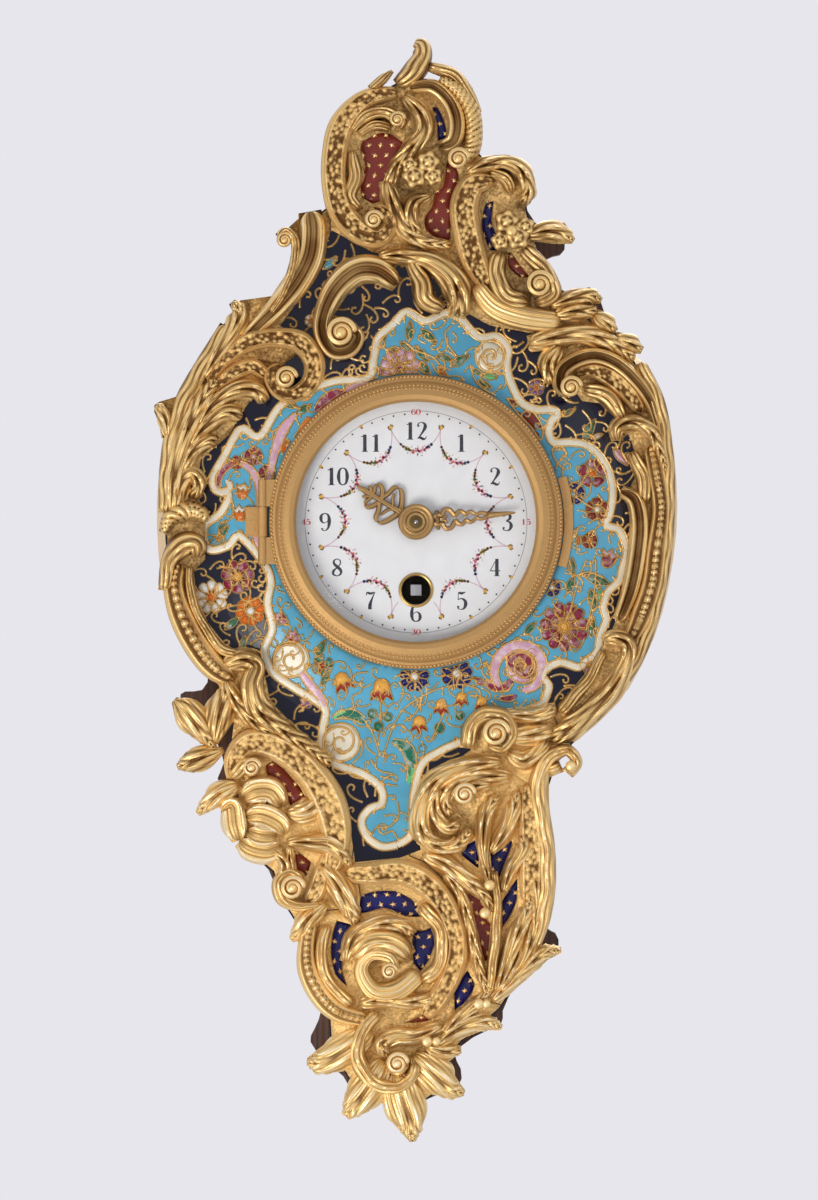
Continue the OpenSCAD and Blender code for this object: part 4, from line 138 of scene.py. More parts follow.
# Left flank: strap, volute, acanthus, beaded channel and leaf sprig
LEFT_FLANK = [
    ["chan", (-34, 99.5, 3.8, 6), (-33, 93.5, 4.5, 7), (-34, 85, 4.8, 7), (-38, 77, 4.5, 7),
    (-43.5, 70, 3.8, 7), (-50, 63.5, 2.9, 6), (-55.5, 58, 1.9, 5)],
    ["smooth", (-46.5, 67, 1, 6), (-42, 74, 1.3, 7), (-39, 83, 1.6, 8), (-38.5, 89.5, 1.6, 8.5),
    (-41.5, 93, 1.6, 9), (-44, 91, 1.6, 9)],
    ["leaf", (-68, 46, 2.2, 4), (-63, 54.5, 3.2, 5), (-58, 62.5, 3.5, 5.5), (-56.5, 67.5, 2.9, 6),
    (-59, 70.5, 1.3, 5)],
    ["smooth", (-61, 63, 1.9, 3.5), (-67.5, 51, 2.9, 4), (-74, 39, 3.2, 4.5), (-78, 27, 2.9, 4.5),
    (-79.5, 15, 2.9, 4.5), (-80, 3, 2.6, 4.5)],
    ["tex", (-66.5, 44.5, 1.3, 5), (-61, 52, 2.2, 6), (-54, 57.5, 3.2, 7), (-45, 59, 3.2, 8),
    (-37, 57.5, 3.8, 8.5), (-32.5, 51, 3.8, 8.5), (-34, 44, 3.5, 8.5), (-40, 40.5, 2.9, 8.5),
    (-45, 43, 2.6, 8.5), (-46.5, 47.5, 2.2, 8.5), (-43, 50, 1.6, 8.5)],
    ["tex", (-65.5, 42, 1.6, 5), (-59, 47.5, 2.6, 6), (-52.5, 50, 2.6, 6.5),
    (-47.5, 46.5, 1.9, 6.5)],
    ["leaf", (-69.5, 30.5, 2.2, 5), (-65, 37.5, 3.2, 6), (-58, 42, 3.2, 7), (-51, 42, 3.5, 7.5),
    (-48.5, 38, 2.6, 7)],
    ["leaf", (-72.5, 24, 2.6, 5), (-67.5, 30.5, 3.2, 6), (-61, 35, 3.2, 7),
    (-55.5, 33.5, 2.6, 6.5)],
    ["leaf", (-75, 16, 2.6, 5), (-71.5, 22.5, 2.9, 6), (-66.5, 26, 2.6, 6.5),
    (-63.5, 25.5, 1.9, 6)],
    ["leaf", (-77, 3, 2.9, 5), (-75.5, 12, 3.8, 5.5), (-72, 15.5, 2.9, 6), (-69.5, 12, 2.6, 6.5),
    (-71.5, 7.5, 1.9, 6)],
    ["leaf", (-78.5, 3, 2.9, 5), (-77, 16.5, 4.2, 6), (-73, 29.5, 4.5, 6.5), (-67.5, 40.5, 3.2, 6),
    (-63.5, 46, 1.9, 5)],
    ["leaf", (-79.5, 27, 1.9, 4.5), (-80, 32.5, 2.6, 5), (-82, 36.5, 2.2, 5), (-83, 38, 1, 4)],
    ["gad", (-81, -3.5, 1.6, 6), (-78.5, 1.5, 2.9, 7.5), (-73.5, 3.5, 3.5, 8.5),
    (-69, 2.5, 2.9, 8.5), (-67, 0, 1.6, 8)],
    ["smooth", (-80.5, -22, 2.2, 6), (-79, -13, 2.9, 7.5), (-75, -7.5, 4.2, 8.5),
    (-70.5, -7.5, 3.8, 9), (-70, -11.5, 2.2, 8)],
    ["bead", (-76, -13, 2.9, 5), (-77.5, -20, 3.5, 6), (-75, -30, 4.2, 6), (-70, -39.5, 4.5, 6.5),
    (-64.5, -46.5, 4.2, 6.5), (-58.5, -50.5, 2.9, 6)],
    ["smooth", (-72.5, -14, 1.3, 5.5), (-72, -23.5, 1.6, 6), (-68, -33, 1.6, 6),
    (-62.5, -40.5, 1.9, 6), (-57, -42.5, 1.6, 6)],
    ["leaf", (-62, -46, 2.9, 6), (-55.5, -44, 3.8, 7.5), (-51, -46, 3.2, 8.5),
    (-52.5, -52, 4.8, 9), (-50.5, -60, 4.8, 8.5), (-43.5, -66, 3.8, 7.5), (-35.5, -71.5, 2.9, 6.5),
    (-27, -77.5, 1.9, 5)],
    ["leaf", (-61, -50.5, 2.9, 6), (-58, -57, 2.9, 6.5), (-52.5, -63.5, 2.6, 6.5),
    (-44.5, -69, 1.9, 6)],
    ["leaf", (-77.5, -57, 1.3, 4), (-73.5, -60.5, 4.8, 5), (-69, -66.5, 3.8, 5.5),
    (-64.5, -72.5, 1, 5)],
    ["leaf", (-64.5, -71, 1.3, 5), (-63.5, -64, 4.2, 6), (-62, -58, 4.5, 6.5),
    (-60.5, -53, 1.9, 6)],
    ["leaf", (-61.5, -73, 1, 5), (-67, -75, 3.5, 5.5), (-72.5, -77, 3.5, 5), (-76.5, -78.5, 1, 4)],
]
LEFT_FLANK_BOSSES = [
    (-42, 90, 1.9, 9.5), (-41.5, 46, 2.6, 9.5),
]
# Right flank: scroll, acanthus, beaded channel
RIGHT_FLANK = [
    ["chan", (50, 41.5, 2.6, 8), (46.5, 43.5, 2.9, 9), (47, 48.5, 2.9, 9), (52, 52, 2.9, 9),
    (58, 53, 2.9, 8.5), (64.5, 50.5, 2.9, 8), (70.5, 45, 2.6, 7.5), (75, 38.5, 2.2, 6.5),
    (77.5, 30.5, 1.6, 5.5)],
    ["tex", (51, 47, 1.9, 6.5), (56.5, 48.5, 2.6, 7.5), (62.5, 46, 3.5, 7.5), (68.5, 40.5, 3.2, 7),
    (72, 35, 1.9, 6)],
    ["smooth", (53.5, 42.5, 2.2, 6.5), (59, 41.5, 2.9, 7.5), (63.5, 37.5, 2.9, 7.5),
    (66.5, 33, 1.6, 6.5)],
    ["smooth", (71.5, 51, 2.2, 4), (77, 39, 2.6, 4.5), (79.5, 26, 2.6, 4.5), (80.5, 10, 2.6, 4.5),
    (79.5, -9, 2.6, 4.5), (76, -28, 2.6, 4.5), (69.5, -45, 2.6, 4.5), (59, -59, 2.6, 4.5),
    (50.5, -68, 1.9, 4.5)],
    ["leaf", (64.5, 26, 1.9, 7), (64.5, 30, 2.9, 9), (69.5, 32, 3.2, 9), (75, 29, 2.9, 8),
    (78, 23, 2.2, 7), (80, 16, 1.3, 5.5)],
    ["bead", (75, 24.5, 2.9, 5.5), (77, 15, 3.5, 6.5), (78.5, 4, 3.2, 6.5), (77, -9, 3.8, 6.5),
    (75.5, -20, 3.8, 6.5), (72, -30.5, 3.8, 6.5), (68.5, -38, 2.6, 6)],
    ["leaf", (60, -38, 1.9, 7.5), (63.5, -37, 2.9, 8.5), (68, -39.5, 3.2, 8.5),
    (67, -46, 3.2, 7.5), (62.5, -54, 3.8, 7), (56.5, -60, 4.2, 6.5), (50, -65.5, 4.2, 6.5),
    (43, -69.5, 3.2, 6)],
    ["chan", (65.5, 10, 1.9, 6.5), (70, 7, 2.9, 7.5), (71.5, -1, 3.2, 7.5), (70.5, -12, 3.2, 7.5),
    (68.5, -22, 2.9, 7.5), (65, -31.5, 2.2, 6.5)],
    ["smooth", (69, 22.5, 1.9, 6.5), (72.5, 15, 2.6, 6.5), (73.5, 6.5, 2.2, 6.5)],
    ["smooth", (60, -41.5, 1.6, 6), (55.5, -50, 1.9, 6), (50.5, -56, 2.2, 6), (46, -61, 2.2, 6)],
    ["leaf", (36, 57, 2.9, 6), (44.5, 59, 3.8, 6.5), (54, 60, 3.8, 6.5), (62.5, 57.5, 3.2, 6),
    (70, 52, 1.9, 4.5)],
    ["leaf", (46.5, 56.5, 2.9, 6), (42.5, 51, 3.5, 6.5), (43, 44, 2.2, 6.5)],
]
RIGHT_FLANK_BOSSES = [
    (49.5, 43, 2.6, 10),
]
# Rose and its leaves on a broad scroll
ROSE = [
    ["tex", (-58.5, -82.5, 2.2, 6), (-58, -75.5, 3.5, 7), (-52.5, -70.5, 4.5, 8),
    (-43.5, -72.5, 4.8, 8), (-34.5, -79.5, 5.1, 8), (-28, -90, 5.8, 8), (-25.5, -102, 4.8, 7.5),
    (-27.5, -112, 2.9, 6.5)],
    ["smooth", (-59, -82, 2.2, 7), (-54.5, -77.5, 2.9, 8.5), (-52, -81.5, 2.6, 8)],
    ["petal", (-55.5, -88.5, 3.2, 8), (-51, -86, 4.8, 10), (-46, -86.5, 4.5, 10),
    (-43, -91, 2.6, 8)],
    ["petal", (-62, -93, 1.9, 6), (-59, -91, 3.5, 8.5), (-58, -97, 4.5, 9), (-56.5, -102, 2.6, 8)],
    ["petal", (-54.5, -94.5, 2.6, 9), (-49.5, -94, 4.5, 12), (-44, -96.5, 4.2, 11),
    (-42, -100, 2.2, 9)],
    ["petal", (-56.5, -102, 2.6, 8), (-53, -104.5, 4.2, 9), (-47.5, -105.5, 4.2, 9),
    (-43, -103.5, 2.9, 8)],
    ["petal", (-54, -99, 2.9, 10), (-49.5, -100.5, 3.8, 11.5), (-44.5, -100.5, 2.9, 10.5)],
    ["leaf", (-56.5, -84, 1.9, 5), (-62, -86.5, 3.8, 6), (-66.5, -90, 2.9, 5.5),
    (-70, -93.5, 1, 4)],
    ["leaf", (-41.5, -93, 1.3, 6), (-36.5, -93, 4.2, 7), (-32.5, -91, 3.5, 7),
    (-30, -88.5, 1.3, 6)],
    ["leaf", (-41.5, -102.5, 1.3, 6), (-34.5, -102.5, 2.9, 7), (-27, -103.5, 4.2, 8),
    (-20.5, -110, 1.3, 6.5)],
    ["leaf", (-30.5, -110, 1.6, 6), (-26, -115, 3.8, 7), (-22.5, -121, 4.5, 7),
    (-19, -128.5, 1.6, 5.5)],
    ["leaf", (-46, -105, 1.9, 6), (-42, -109.5, 2.6, 6.5), (-42.5, -115, 2.6, 6.5)],
    ["leaf", (-40.5, -103.5, 1.3, 6), (-40.5, -109, 1.9, 5), (-40, -114.5, 1.6, 5)],
    ["smooth", (-30.5, -122.5, 1.3, 6), (-37, -123, 1.9, 7), (-42.5, -120.5, 2.6, 7.5),
    (-44, -115.5, 2.2, 8), (-40.5, -112.5, 1.9, 8), (-36.5, -114.5, 1.9, 8)],
    ["tex", (-27, -105, 2.6, 5.5), (-30, -112, 2.9, 6), (-32, -118, 3.2, 6),
    (-35, -122.5, 1.9, 5.5)],
    ["leaf", (-28.5, -122, 1.6, 5.5), (-34, -126.5, 3.8, 6.5), (-37.5, -131.5, 2.9, 6),
    (-40, -134, 1, 4.5)],
]
ROSE_BOSSES = [
    (-39.5, -117, 2.9, 9), (-52.5, -78.5, 2.2, 9),
]
# Reeds and leaves rising from the base
REED = [
    ["leaf", (27.5, -77, 2.2, 6.5), (17.5, -78, 3.5, 7.5), (7.5, -82, 3.8, 8.5),
    (2.5, -89, 3.5, 8.5), (1.5, -97.5, 3.8, 8.5), (6, -103.5, 3.2, 8.5), (13.5, -103, 2.9, 8.5),
    (17.5, -98, 1.9, 8)],
    ["leaf", (30.5, -81.5, 2.2, 6.5), (21, -81.5, 3.2, 8), (13, -84, 2.9, 9), (9.5, -89.5, 2.6, 9),
    (11.5, -94, 1.9, 8.5)],
    ["leaf", (24.5, -84, 2.2, 7), (18.5, -84.5, 2.9, 9), (15, -87.5, 2.9, 10)],
    ["leaf", (7, -84.5, 2.6, 7.5), (6, -91.5, 2.9, 8), (9.5, -97.5, 2.9, 8),
    (14.5, -96.5, 1.9, 8)],
    ["smooth", (16.5, -72.5, 2.6, 6.5), (17.5, -66, 2.9, 8), (22, -61.5, 2.9, 9),
    (28, -62.5, 2.9, 9), (30.5, -68, 2.6, 9), (27.5, -72, 2.2, 9), (23, -70.5, 1.9, 9.5)],
    ["leaf", (28.5, -61.5, 1.9, 6.5), (36.5, -62, 2.9, 6.5), (41.5, -61, 2.9, 6.5),
    (45, -59, 1.6, 5.5)],
    ["leaf", (29.5, -69, 2.9, 6.5), (37.5, -68, 3.8, 7), (44, -66.5, 2.9, 6.5)],
    ["leaf", (29.5, -73.5, 2.2, 6.5), (34, -76.5, 3.2, 7), (38.5, -74, 2.9, 7), (42, -70, 2.6, 6)],
    ["smooth", (48.5, -80.5, 2.2, 8), (51.5, -77, 1.9, 9), (48.5, -73, 1.9, 9), (43, -75.5, 2.6, 8),
    (39.5, -81.5, 3.2, 7), (39.5, -91, 3.2, 7), (41.5, -102.5, 2.9, 7), (42, -114.5, 2.9, 7),
    (40.5, -126, 2.9, 6.5), (38, -136, 1.9, 5.5)],
    ["smooth", (42, -80, 1.9, 7), (46.5, -78, 2.2, 8)],
    ["leaf", (23.5, -116, 1.3, 6), (21.5, -104.5, 2.2, 7), (22.5, -93, 3.2, 8),
    (26.5, -87.5, 1.9, 7)],
    ["leaf", (24, -106, 1.3, 6), (28, -100, 2.9, 8), (31.5, -91.5, 2.9, 8), (32.5, -86, 1.3, 7)],
    ["leaf", (28, -118.5, 1.3, 6), (30.5, -111, 2.6, 7), (34.5, -104.5, 2.9, 7.5),
    (33.5, -100, 1.6, 6.5)],
    ["smooth", (23.5, -150, 1.6, 6.5), (25.5, -134, 1.9, 7), (26, -121, 1.6, 7),
    (25, -112, 1.3, 6.5)],
    ["leaf", (26, -150.5, 1.6, 6.5), (30.5, -137, 3.2, 7.5), (35, -126, 2.9, 8),
    (37, -119.5, 1, 6)],
    ["leaf", (27, -150.5, 1.6, 6), (35, -139, 2.9, 6.5), (38.5, -126.5, 2.6, 6.5),
    (38.5, -114.5, 2.6, 6.5)],
    ["tex", (35, -84, 1.9, 6.5), (36, -93, 3.2, 6.5), (37, -103.5, 4.2, 6.5),
    (37, -114.5, 4.2, 6.5), (36, -122.5, 2.6, 6)],
    ["leaf", (24, -153.5, 1.9, 6), (33, -144.5, 3.2, 6.5), (41, -138, 2.6, 6),
    (46.5, -137, 1, 4.5)],
    ["leaf", (2, -106, 2.2, 6.5), (9.5, -109.5, 3.5, 7), (16, -114.5, 3.5, 7),
    (22, -119.5, 2.2, 7), (24.5, -125, 1.6, 6.5)],
    ["leaf", (9, -112, 1.9, 6.5), (14, -118.5, 2.2, 6.5), (16.5, -126.5, 2.2, 6.5),
    (18.5, -135.5, 2.2, 6.5), (21, -145.5, 1.9, 6.5), (23.5, -151.5, 1.6, 6)],
]
REED_BOSSES = [
    (25.5, -67.5, 3.2, 11), (15.5, -87, 2.6, 11), (23.5, -116, 1.6, 8.5), (22, -125, 1.6, 8.5),
    (49.5, -78, 1.6, 9.5),
]
# Base: scroll, shell and pendant leaves
BASE = [
    ["bead", (-33.5, -128, 2.2, 6), (-35, -135.5, 2.9, 6.5), (-34.5, -143.5, 3.5, 7),
    (-30.5, -151.5, 3.8, 7), (-24.5, -157, 3.5, 7), (-15.5, -159.5, 2.6, 6.5)],
    ["smooth", (-28.5, -129, 1.9, 6), (-30.5, -138.5, 2.2, 7), (-27.5, -148, 2.2, 7),
    (-20.5, -154.5, 2.2, 7)],
    ["tex", (-22.5, -112.5, 2.9, 6.5), (-14.5, -112.5, 3.8, 7.5), (-5, -112, 4.2, 8),
    (3.5, -116, 4.5, 8.5), (9.5, -123.5, 4.2, 8.5), (13, -134, 3.8, 8.5), (11.5, -144, 3.8, 8.5),
    (7, -152.5, 3.5, 8), (2.5, -158, 2.6, 6.5)],
    ["smooth", (1.5, -122.5, 2.6, 7), (7, -129, 2.6, 8), (8.5, -135.5, 2.6, 8), (7, -142.5, 2.6, 8),
    (2, -147, 2.6, 8)],
    ["rib", (1.5, -144, 3.2, 7.5), (-6, -150, 3.8, 8.5), (-13.5, -150, 3.2, 8.5),
    (-17.5, -143.5, 2.6, 9), (-14.5, -138.5, 2.2, 10), (-8.5, -139, 2.2, 11),
    (-6.5, -143, 1.6, 11)],
    ["leaf", (-22.5, -141, 2.2, 6), (-19.5, -132.5, 3.2, 7.5), (-13, -129, 3.2, 8.5),
    (-5, -129, 2.9, 8), (-1, -132.5, 1.9, 7)],
    ["smooth", (-20.5, -140, 3.8, 8), (-14.5, -135.5, 5.1, 10), (-7.5, -135.5, 5.4, 10.5),
    (-2.5, -140, 3.5, 9)],
    ["leaf", (-18.5, -154, 2.6, 6.5), (-10, -153, 2.9, 7.5), (-1.5, -153.5, 2.9, 7.5),
    (6, -152.5, 2.2, 7)],
    ["leaf", (-14, -162.5, 3.8, 6), (-22.5, -169, 5.4, 6), (-30, -173, 4.5, 5),
    (-35, -173, 1.3, 4)],
    ["leaf", (-10, -172, 4.5, 6), (-14.5, -180, 5.8, 6), (-19, -186, 4.8, 5),
    (-22.5, -190.5, 1.6, 4)],
    ["leaf", (-6, -175.5, 4.5, 6), (-4.5, -183.5, 6.4, 6), (-2, -191.5, 5.4, 5),
    (-1, -198.5, 1, 4)],
    ["leaf", (-1, -170.5, 4.5, 6), (6, -177, 5.8, 6), (11, -181.5, 3.8, 5), (15.5, -183, 1, 4)],
    ["leaf", (3, -167.5, 2.6, 6), (9.5, -169.5, 3.2, 5), (14.5, -169, 1.3, 4)],
    ["smooth", (-12, -157, 2.2, 7), (-17.5, -163.5, 2.6, 8), (-18.5, -171.5, 2.9, 8.5),
    (-14.5, -178.5, 2.9, 8.5), (-6.5, -181, 2.6, 8.5), (-1.5, -177.5, 2.2, 8.5),
    (0, -173, 1.9, 8.5)],
    ["smooth", (-10, -174, 2.9, 8), (-6, -173.5, 4.5, 9.5), (-2, -173, 2.9, 8.5)],
    ["leaf", (8.5, -161, 1.9, 6.5), (0, -164.5, 3.2, 7.5), (-6.5, -164.5, 3.5, 8.5),
    (-11, -167, 2.9, 9), (-9, -171, 1.9, 9)],
    ["leaf", (6, -167.5, 1.9, 6), (14, -162, 3.5, 6), (22, -160, 2.9, 5.5), (27.5, -162, 1, 4.5)],
    ["leaf", (8.5, -164, 1.6, 6), (14.5, -158, 2.6, 6.5), (20.5, -153, 2.2, 6.5),
    (25, -148, 1.3, 6)],
]
BASE_BOSSES = [
    (-8.5, -143.5, 1.9, 12), (-6, -173, 2.6, 10.5), (3.5, -166, 1.6, 8), (6.5, -166, 1.3, 8),
    (20, -154, 1.6, 8), (22.5, -154, 1.3, 7.5),
]
# Pierced windows in the ground: glaze and outline
WINDOWS = [
    ["russet", (-17.5, 122), (-13, 124.5), (-8.5, 125), (-4, 122), (-2, 122), (-5, 118.5),
    (-6, 112.5), (-9, 106), (-10, 102), (-14, 101), (-17.5, 103.5), (-18, 109.5), (-16.5, 114),
    (-18, 119)],
    ["royal", (5, 133), (7, 133), (9.5, 128), (10, 123), (7, 122), (6.5, 127)],
    ["russet", (9.5, 115), (11.5, 116.5), (14, 111), (12.5, 106), (11.5, 101.5), (11, 90),
    (7.5, 90), (3, 93.5), (2.5, 97.5), (5, 101.5), (6, 106), (8.5, 108)],
    ["royal", (22, 102), (25, 103), (24.5, 96.5), (26, 92), (26, 87), (23.5, 87), (21, 93.5),
    (21, 98)],
    ["russet", (29, 86), (30.5, 86.5), (34, 82), (36.5, 78.5), (33.5, 78), (29.5, 81.5)],
    ["russet", (-48.5, -78), (-45, -76), (-39.5, -82), (-35, -87.5), (-39.5, -91.5), (-41.5, -89),
    (-43.5, -86), (-47.5, -82)],
    ["russet", (-39.5, -105), (-37, -106), (-33.5, -109), (-35, -113.5), (-38, -112)],
    ["royal", (-18, -119.5), (-13, -118), (-6.5, -118), (-1.5, -120.5), (2, -124), (1.5, -126.5),
    (-3.5, -126.5), (-10, -124), (-18, -125.5)],
    ["royal", (-25.5, -127.5), (-20.5, -129), (-22.5, -135.5), (-23.5, -143.5), (-22, -149),
    (-26, -145), (-27.5, -138.5), (-27, -132)],
    ["royal", (-1, -130.5), (3, -130.5), (6, -129), (6.5, -134), (4.5, -140), (1.5, -144),
    (-0.5, -143.5), (-1.5, -137)],
    ["russet", (-4, -160.5), (1.5, -158), (5.5, -155), (5, -159.5), (0.5, -160.5)],
    ["royal", (13, -105.5), (20.5, -101), (20, -111)],
    ["royal", (22.5, -111.5), (23, -106.5), (27, -102.5), (30.5, -101), (31, -103.5), (28.5, -110),
    (26, -116), (23.5, -114)],
    ["royal", (27.5, -130.5), (27, -122.5), (29.5, -118), (32.5, -114), (32.5, -121),
    (30.5, -126)],
    ["russet", (15, -117), (20, -118.5), (23, -122.5), (22, -126), (25.5, -130.5), (25.5, -135.5),
    (22.5, -141), (20, -137), (17.5, -127.5)],
    ["royal", (12, -150), (16.5, -143.5), (19, -148), (17.5, -152), (12.5, -157)],
]
# Edge of the enamelled field
FIELD = [
    (-27, 93.5), (-14, 86.5), (-5, 85), (7.5, 79), (14.5, 68), (23.5, 63), (39.5, 60), (46, 52),
    (51, 39), (63.5, 37.5), (69, 26), (71.5, 16.5), (67, 8.5), (71.5, 0.5), (69, -15.5),
    (63.5, -33), (59, -41), (54, -54), (44.5, -61), (27, -61), (17.5, -65), (17.5, -73),
    (4.5, -82.5), (0.5, -92), (1.5, -105), (-5, -107.5), (-19.5, -109), (-21, -98.5),
    (-27.5, -82.5), (-37, -71.5), (-49.5, -62), (-53, -50.5), (-50, -42.5), (-61, -42.5),
    (-69, -31.5), (-72.5, -17), (-67.5, -12), (-67.5, 4), (-70.5, 7), (-69, 20), (-54.5, 32.5),
    (-47.5, 37.5), (-34, 40.5), (-30, 52), (-43.5, 63), (-34, 76),
]
# Right and left edges of the turquoise cartouche, top to foot and back
CARTOUCHE = [
    [(-6.5, 64), (-3, 67.5), (3, 64.5), (9.5, 67), (14, 65.5), (17.5, 61.5), (21, 59), (26, 59.5), (29.5, 55.5),
     (29, 51), (30, 45.5), (33.5, 38.5), (38.5, 36), (43.5, 36), (45.5, 34.5), (43.5, 32.5), (42.5, 29), (44, 25.5),
     (49.5, 25.5), (55, 24.5), (59, 21), (62, 15.5), (63, 8.5), (62, 2.5), (61, -1), (65, -2.5), (67, -6.5),
     (67.5, -10), (66, -15.5), (65, -19), (61.5, -22.5), (60, -27.5), (61, -31), (59, -36.5), (58, -41.5), (54, -45),
     (52, -46.5), (46.5, -45), (42.5, -46.5), (40.5, -49.5), (42.5, -52), (42, -55), (40, -58.5), (33.5, -61),
     (27, -64), (16.5, -69.5), (8.5, -73), (2, -77.5), (-0.5, -86), (-1, -92), (-1.5, -100), (-6, -103.5)],
    [(-6, -103.5), (-11, -104), (-15.5, -101), (-17.5, -96), (-15, -92), (-11, -90), (-11.5, -85), (-17.5, -80.5),
     (-26, -77.5), (-30, -72.5), (-30, -66.5), (-29, -60.5), (-32, -57.5), (-38.5, -53.5), (-46, -48), (-48.5, -41),
     (-46, -34), (-47.5, -26), (-46.5, -18.5), (-49.5, -12), (-56.5, -4.5), (-60, -7.5), (-65.5, -9), (-68, -6),
     (-67.5, -1), (-62.5, 3), (-60, 9), (-64, 10), (-65, 14.5), (-61.5, 21), (-58, 27.5), (-55.5, 30), (-50, 27.5),
     (-44, 36.5), (-37, 41), (-26, 45), (-15.5, 46), (-13.5, 52.5), (-12, 59), (-6.5, 64)],
]
# Other flat cells of enamel
GROUNDS = [
    ["russet", (29, 39.5), (33.5, 38.5), (38, 34.5), (40.5, 30), (39.5, 26), (36, 29.5), (31.5, 34.5)],
]
# Scrolled bands of enamel: x, y, half-width
BORDERS = [
    ["pink", (27, -54, 1), (25, -48, 1.3), (27, -42.5, 1.6), (32, -39.5, 1.6), (38, -41, 1.6), (40.5, -46, 1.6),
    (38.5, -52, 1.3), (34, -54, 1)],
    ["pink", (-37, -48, 1), (-34, -52, 1.3), (-30.5, -56.5, 1.3), (-29, -60, 1)],
    ["pink", (-38.5, 34.5, 0.6), (-42.5, 29.5, 1.6), (-45, 23, 1.3), (-46.5, 16.5, 1), (-49, 7, 1.1), (-51, -2.5, 1.6),
    (-49.5, -9.5, 1)],
    ["cream", (-64, 10, 1), (-61.5, 9.5, 1.3), (-59.5, 11.5, 1), (-61, 13.5, 0.6)],
    ["maroon", (-20.5, 39.5, 0.6), (-25, 41, 1.6), (-29, 38.5, 1.9), (-32, 35, 1)],
    ["pink", (-13, 43.5, 0.6), (-18, 43.5, 1.6), (-22.5, 41.5, 1.3)],
    ["maroon", (31.5, -48, 0.6), (30, -44, 1.3), (33.5, -42, 1.4), (36, -45, 1.3), (35, -48.5, 1)],
    ["amber", (-37, 26, 0.6), (-36, 30, 1.1), (-33.5, 33.5, 1)],
    ["green", (-26, -62.5, 0.6), (-21, -61.5, 1.6), (-16, -64, 1)],
    ["green", (-7.5, -70, 0.6), (-3, -72.5, 1.9), (-1.5, -77.5, 1.6), (-2, -82.5, 0.6)],
    ["mint", (-1.5, -77.5, 1), (-1.5, -80.5, 1.3), (-2.5, -84, 0.5)],
    ["mint", (-26.5, -63, 0.5), (-24.5, -61.5, 1.1), (-22, -61, 1)],
    ["maroon", (-57.5, 19.5, 0.8), (-61.5, 17, 1.1), (-63.5, 13.5, 1.1), (-63, 10.5, 0.8)],
    ["pink", (-56.5, 19, 0.6), (-53, 17, 1), (-51, 13.5, 1), (-50, 8.5, 1), (-50, 3, 0.6)],
    ["maroon", (22, -51, 0.6), (25, -53, 1.1), (29, -52.5, 1.3), (30.5, -50, 1)],
    ["maroon", (27, -56.5, 0.5), (30, -56.5, 1), (32.5, -55.5, 0.5)],
]
# Leaves: colour, x, y, direction in degrees, half-length
LEAVES = [
    ("green", 50, -14.5, 90, 3.2), ("green", 49.5, -20, 70, 3.2), ("green", 58, -18.5, -20, 4.5),
    ("green", 56.5, -25, 100, 3.8), ("green", 56.5, -34, 80, 3.2), ("green", 36.5, -34, 45, 2.9),
    ("green", -30.5, -40.5, 60, 3.5), ("green", -29, -50, 60, 2.9), ("green", 49, 35, 30, 2.6),
    ("green", 55.5, 29.5, 60, 4.2), ("white", 58, 27.5, 20, 2.2), ("green", -59, -32.5, 40, 3.2),
    ("green", -55.5, -39, 70, 2.9), ("green", -36, 36, 30, 3.2), ("green", -40.5, 37.5, -20, 2.9),
    ("green", -2, 61, 85, 3.5), ("green", 4, 59.5, -45, 3.5), ("green", -3, 56, -35, 2.9),
    ("green", 2, 53.5, -50, 3.2), ("green", 3, 49, -60, 2.9), ("green", 9, 52.5, -15, 2.9),
    ("green", 14, 51.5, 30, 3.8), ("green", 19.5, 48, -30, 2.2), ("mint", 23.5, 46.5, -10, 2.9),
    ("green", 22, 44, -30, 2.6), ("green", -7.5, 54.5, 10, 2.2), ("amber", 8.5, 47.5, -55, 2.9),
    ("green", -11, 57.5, 60, 2.9), ("green", -62, -3.5, 50, 3.2), ("turquoise", -64.5, -6, 30, 2.6),
    ("pink", -49.5, -2, 70, 2.9), ("pink", -48.5, -8.5, 100, 3.2), ("amber", -42, 24, 70, 2.6),
    ("pink", 65.5, 21, -50, 3.8), ("green", -62, -1.5, 60, 2.6), ("green", -62, -6, 110, 2.6),
    ("pink", -51, -1, 70, 2.6), ("pink", -48.5, 2.5, 90, 2.2), ("mint", 59, -23.5, 95, 2.9),
    ("maroon", -10.5, 48, 160, 3.5), ("green", -15.5, 46, 170, 3.2), ("maroon", 27, -53, 20, 2.9),
    ("maroon", 20.5, -51, 150, 2.9), ("white", 50.5, -4, 60, 2.6), ("amber", 52, -6, 80, 1.9),
    ("maroon", -31.5, -46.5, 110, 2.6), ("turquoise", -37, 74, 60, 3.8), ("turquoise", -27.5, 83, 40, 3.2),
]
# Tulips and bells: colour, x, y, direction in degrees, size
TULIPS = [
    ("amber", -11, -53.5, -90, 4.8), ("amber", 1, -64.5, -90, 3.5), ("amber", 8, -59, -90, 3.2),
    ("amber", 14.5, -56.5, -90, 2.9), ("amber", 21, -58, -90, 2.9), ("white", -55.5, 9.5, 80, 3.2),
    ("white", -56.5, 2.5, 95, 3.2), ("maroon", -43, -31, 140, 2.9), ("maroon", -39, -37, 130, 2.9),
    ("maroon", 61.5, -12, 70, 3.8), ("amber", -23.5, -51, -70, 4.2), ("violet", -35, -58, 150, 2.6),
]
# Coils at the ends of the borders: x, y, radius, direction in degrees
COILS = [
    (-40, -44, 5.8, 200), (-24, -70.5, 6.1, 215), (24, 53, 5.1, 100), (34, -46.5, 5.1, 140),
]
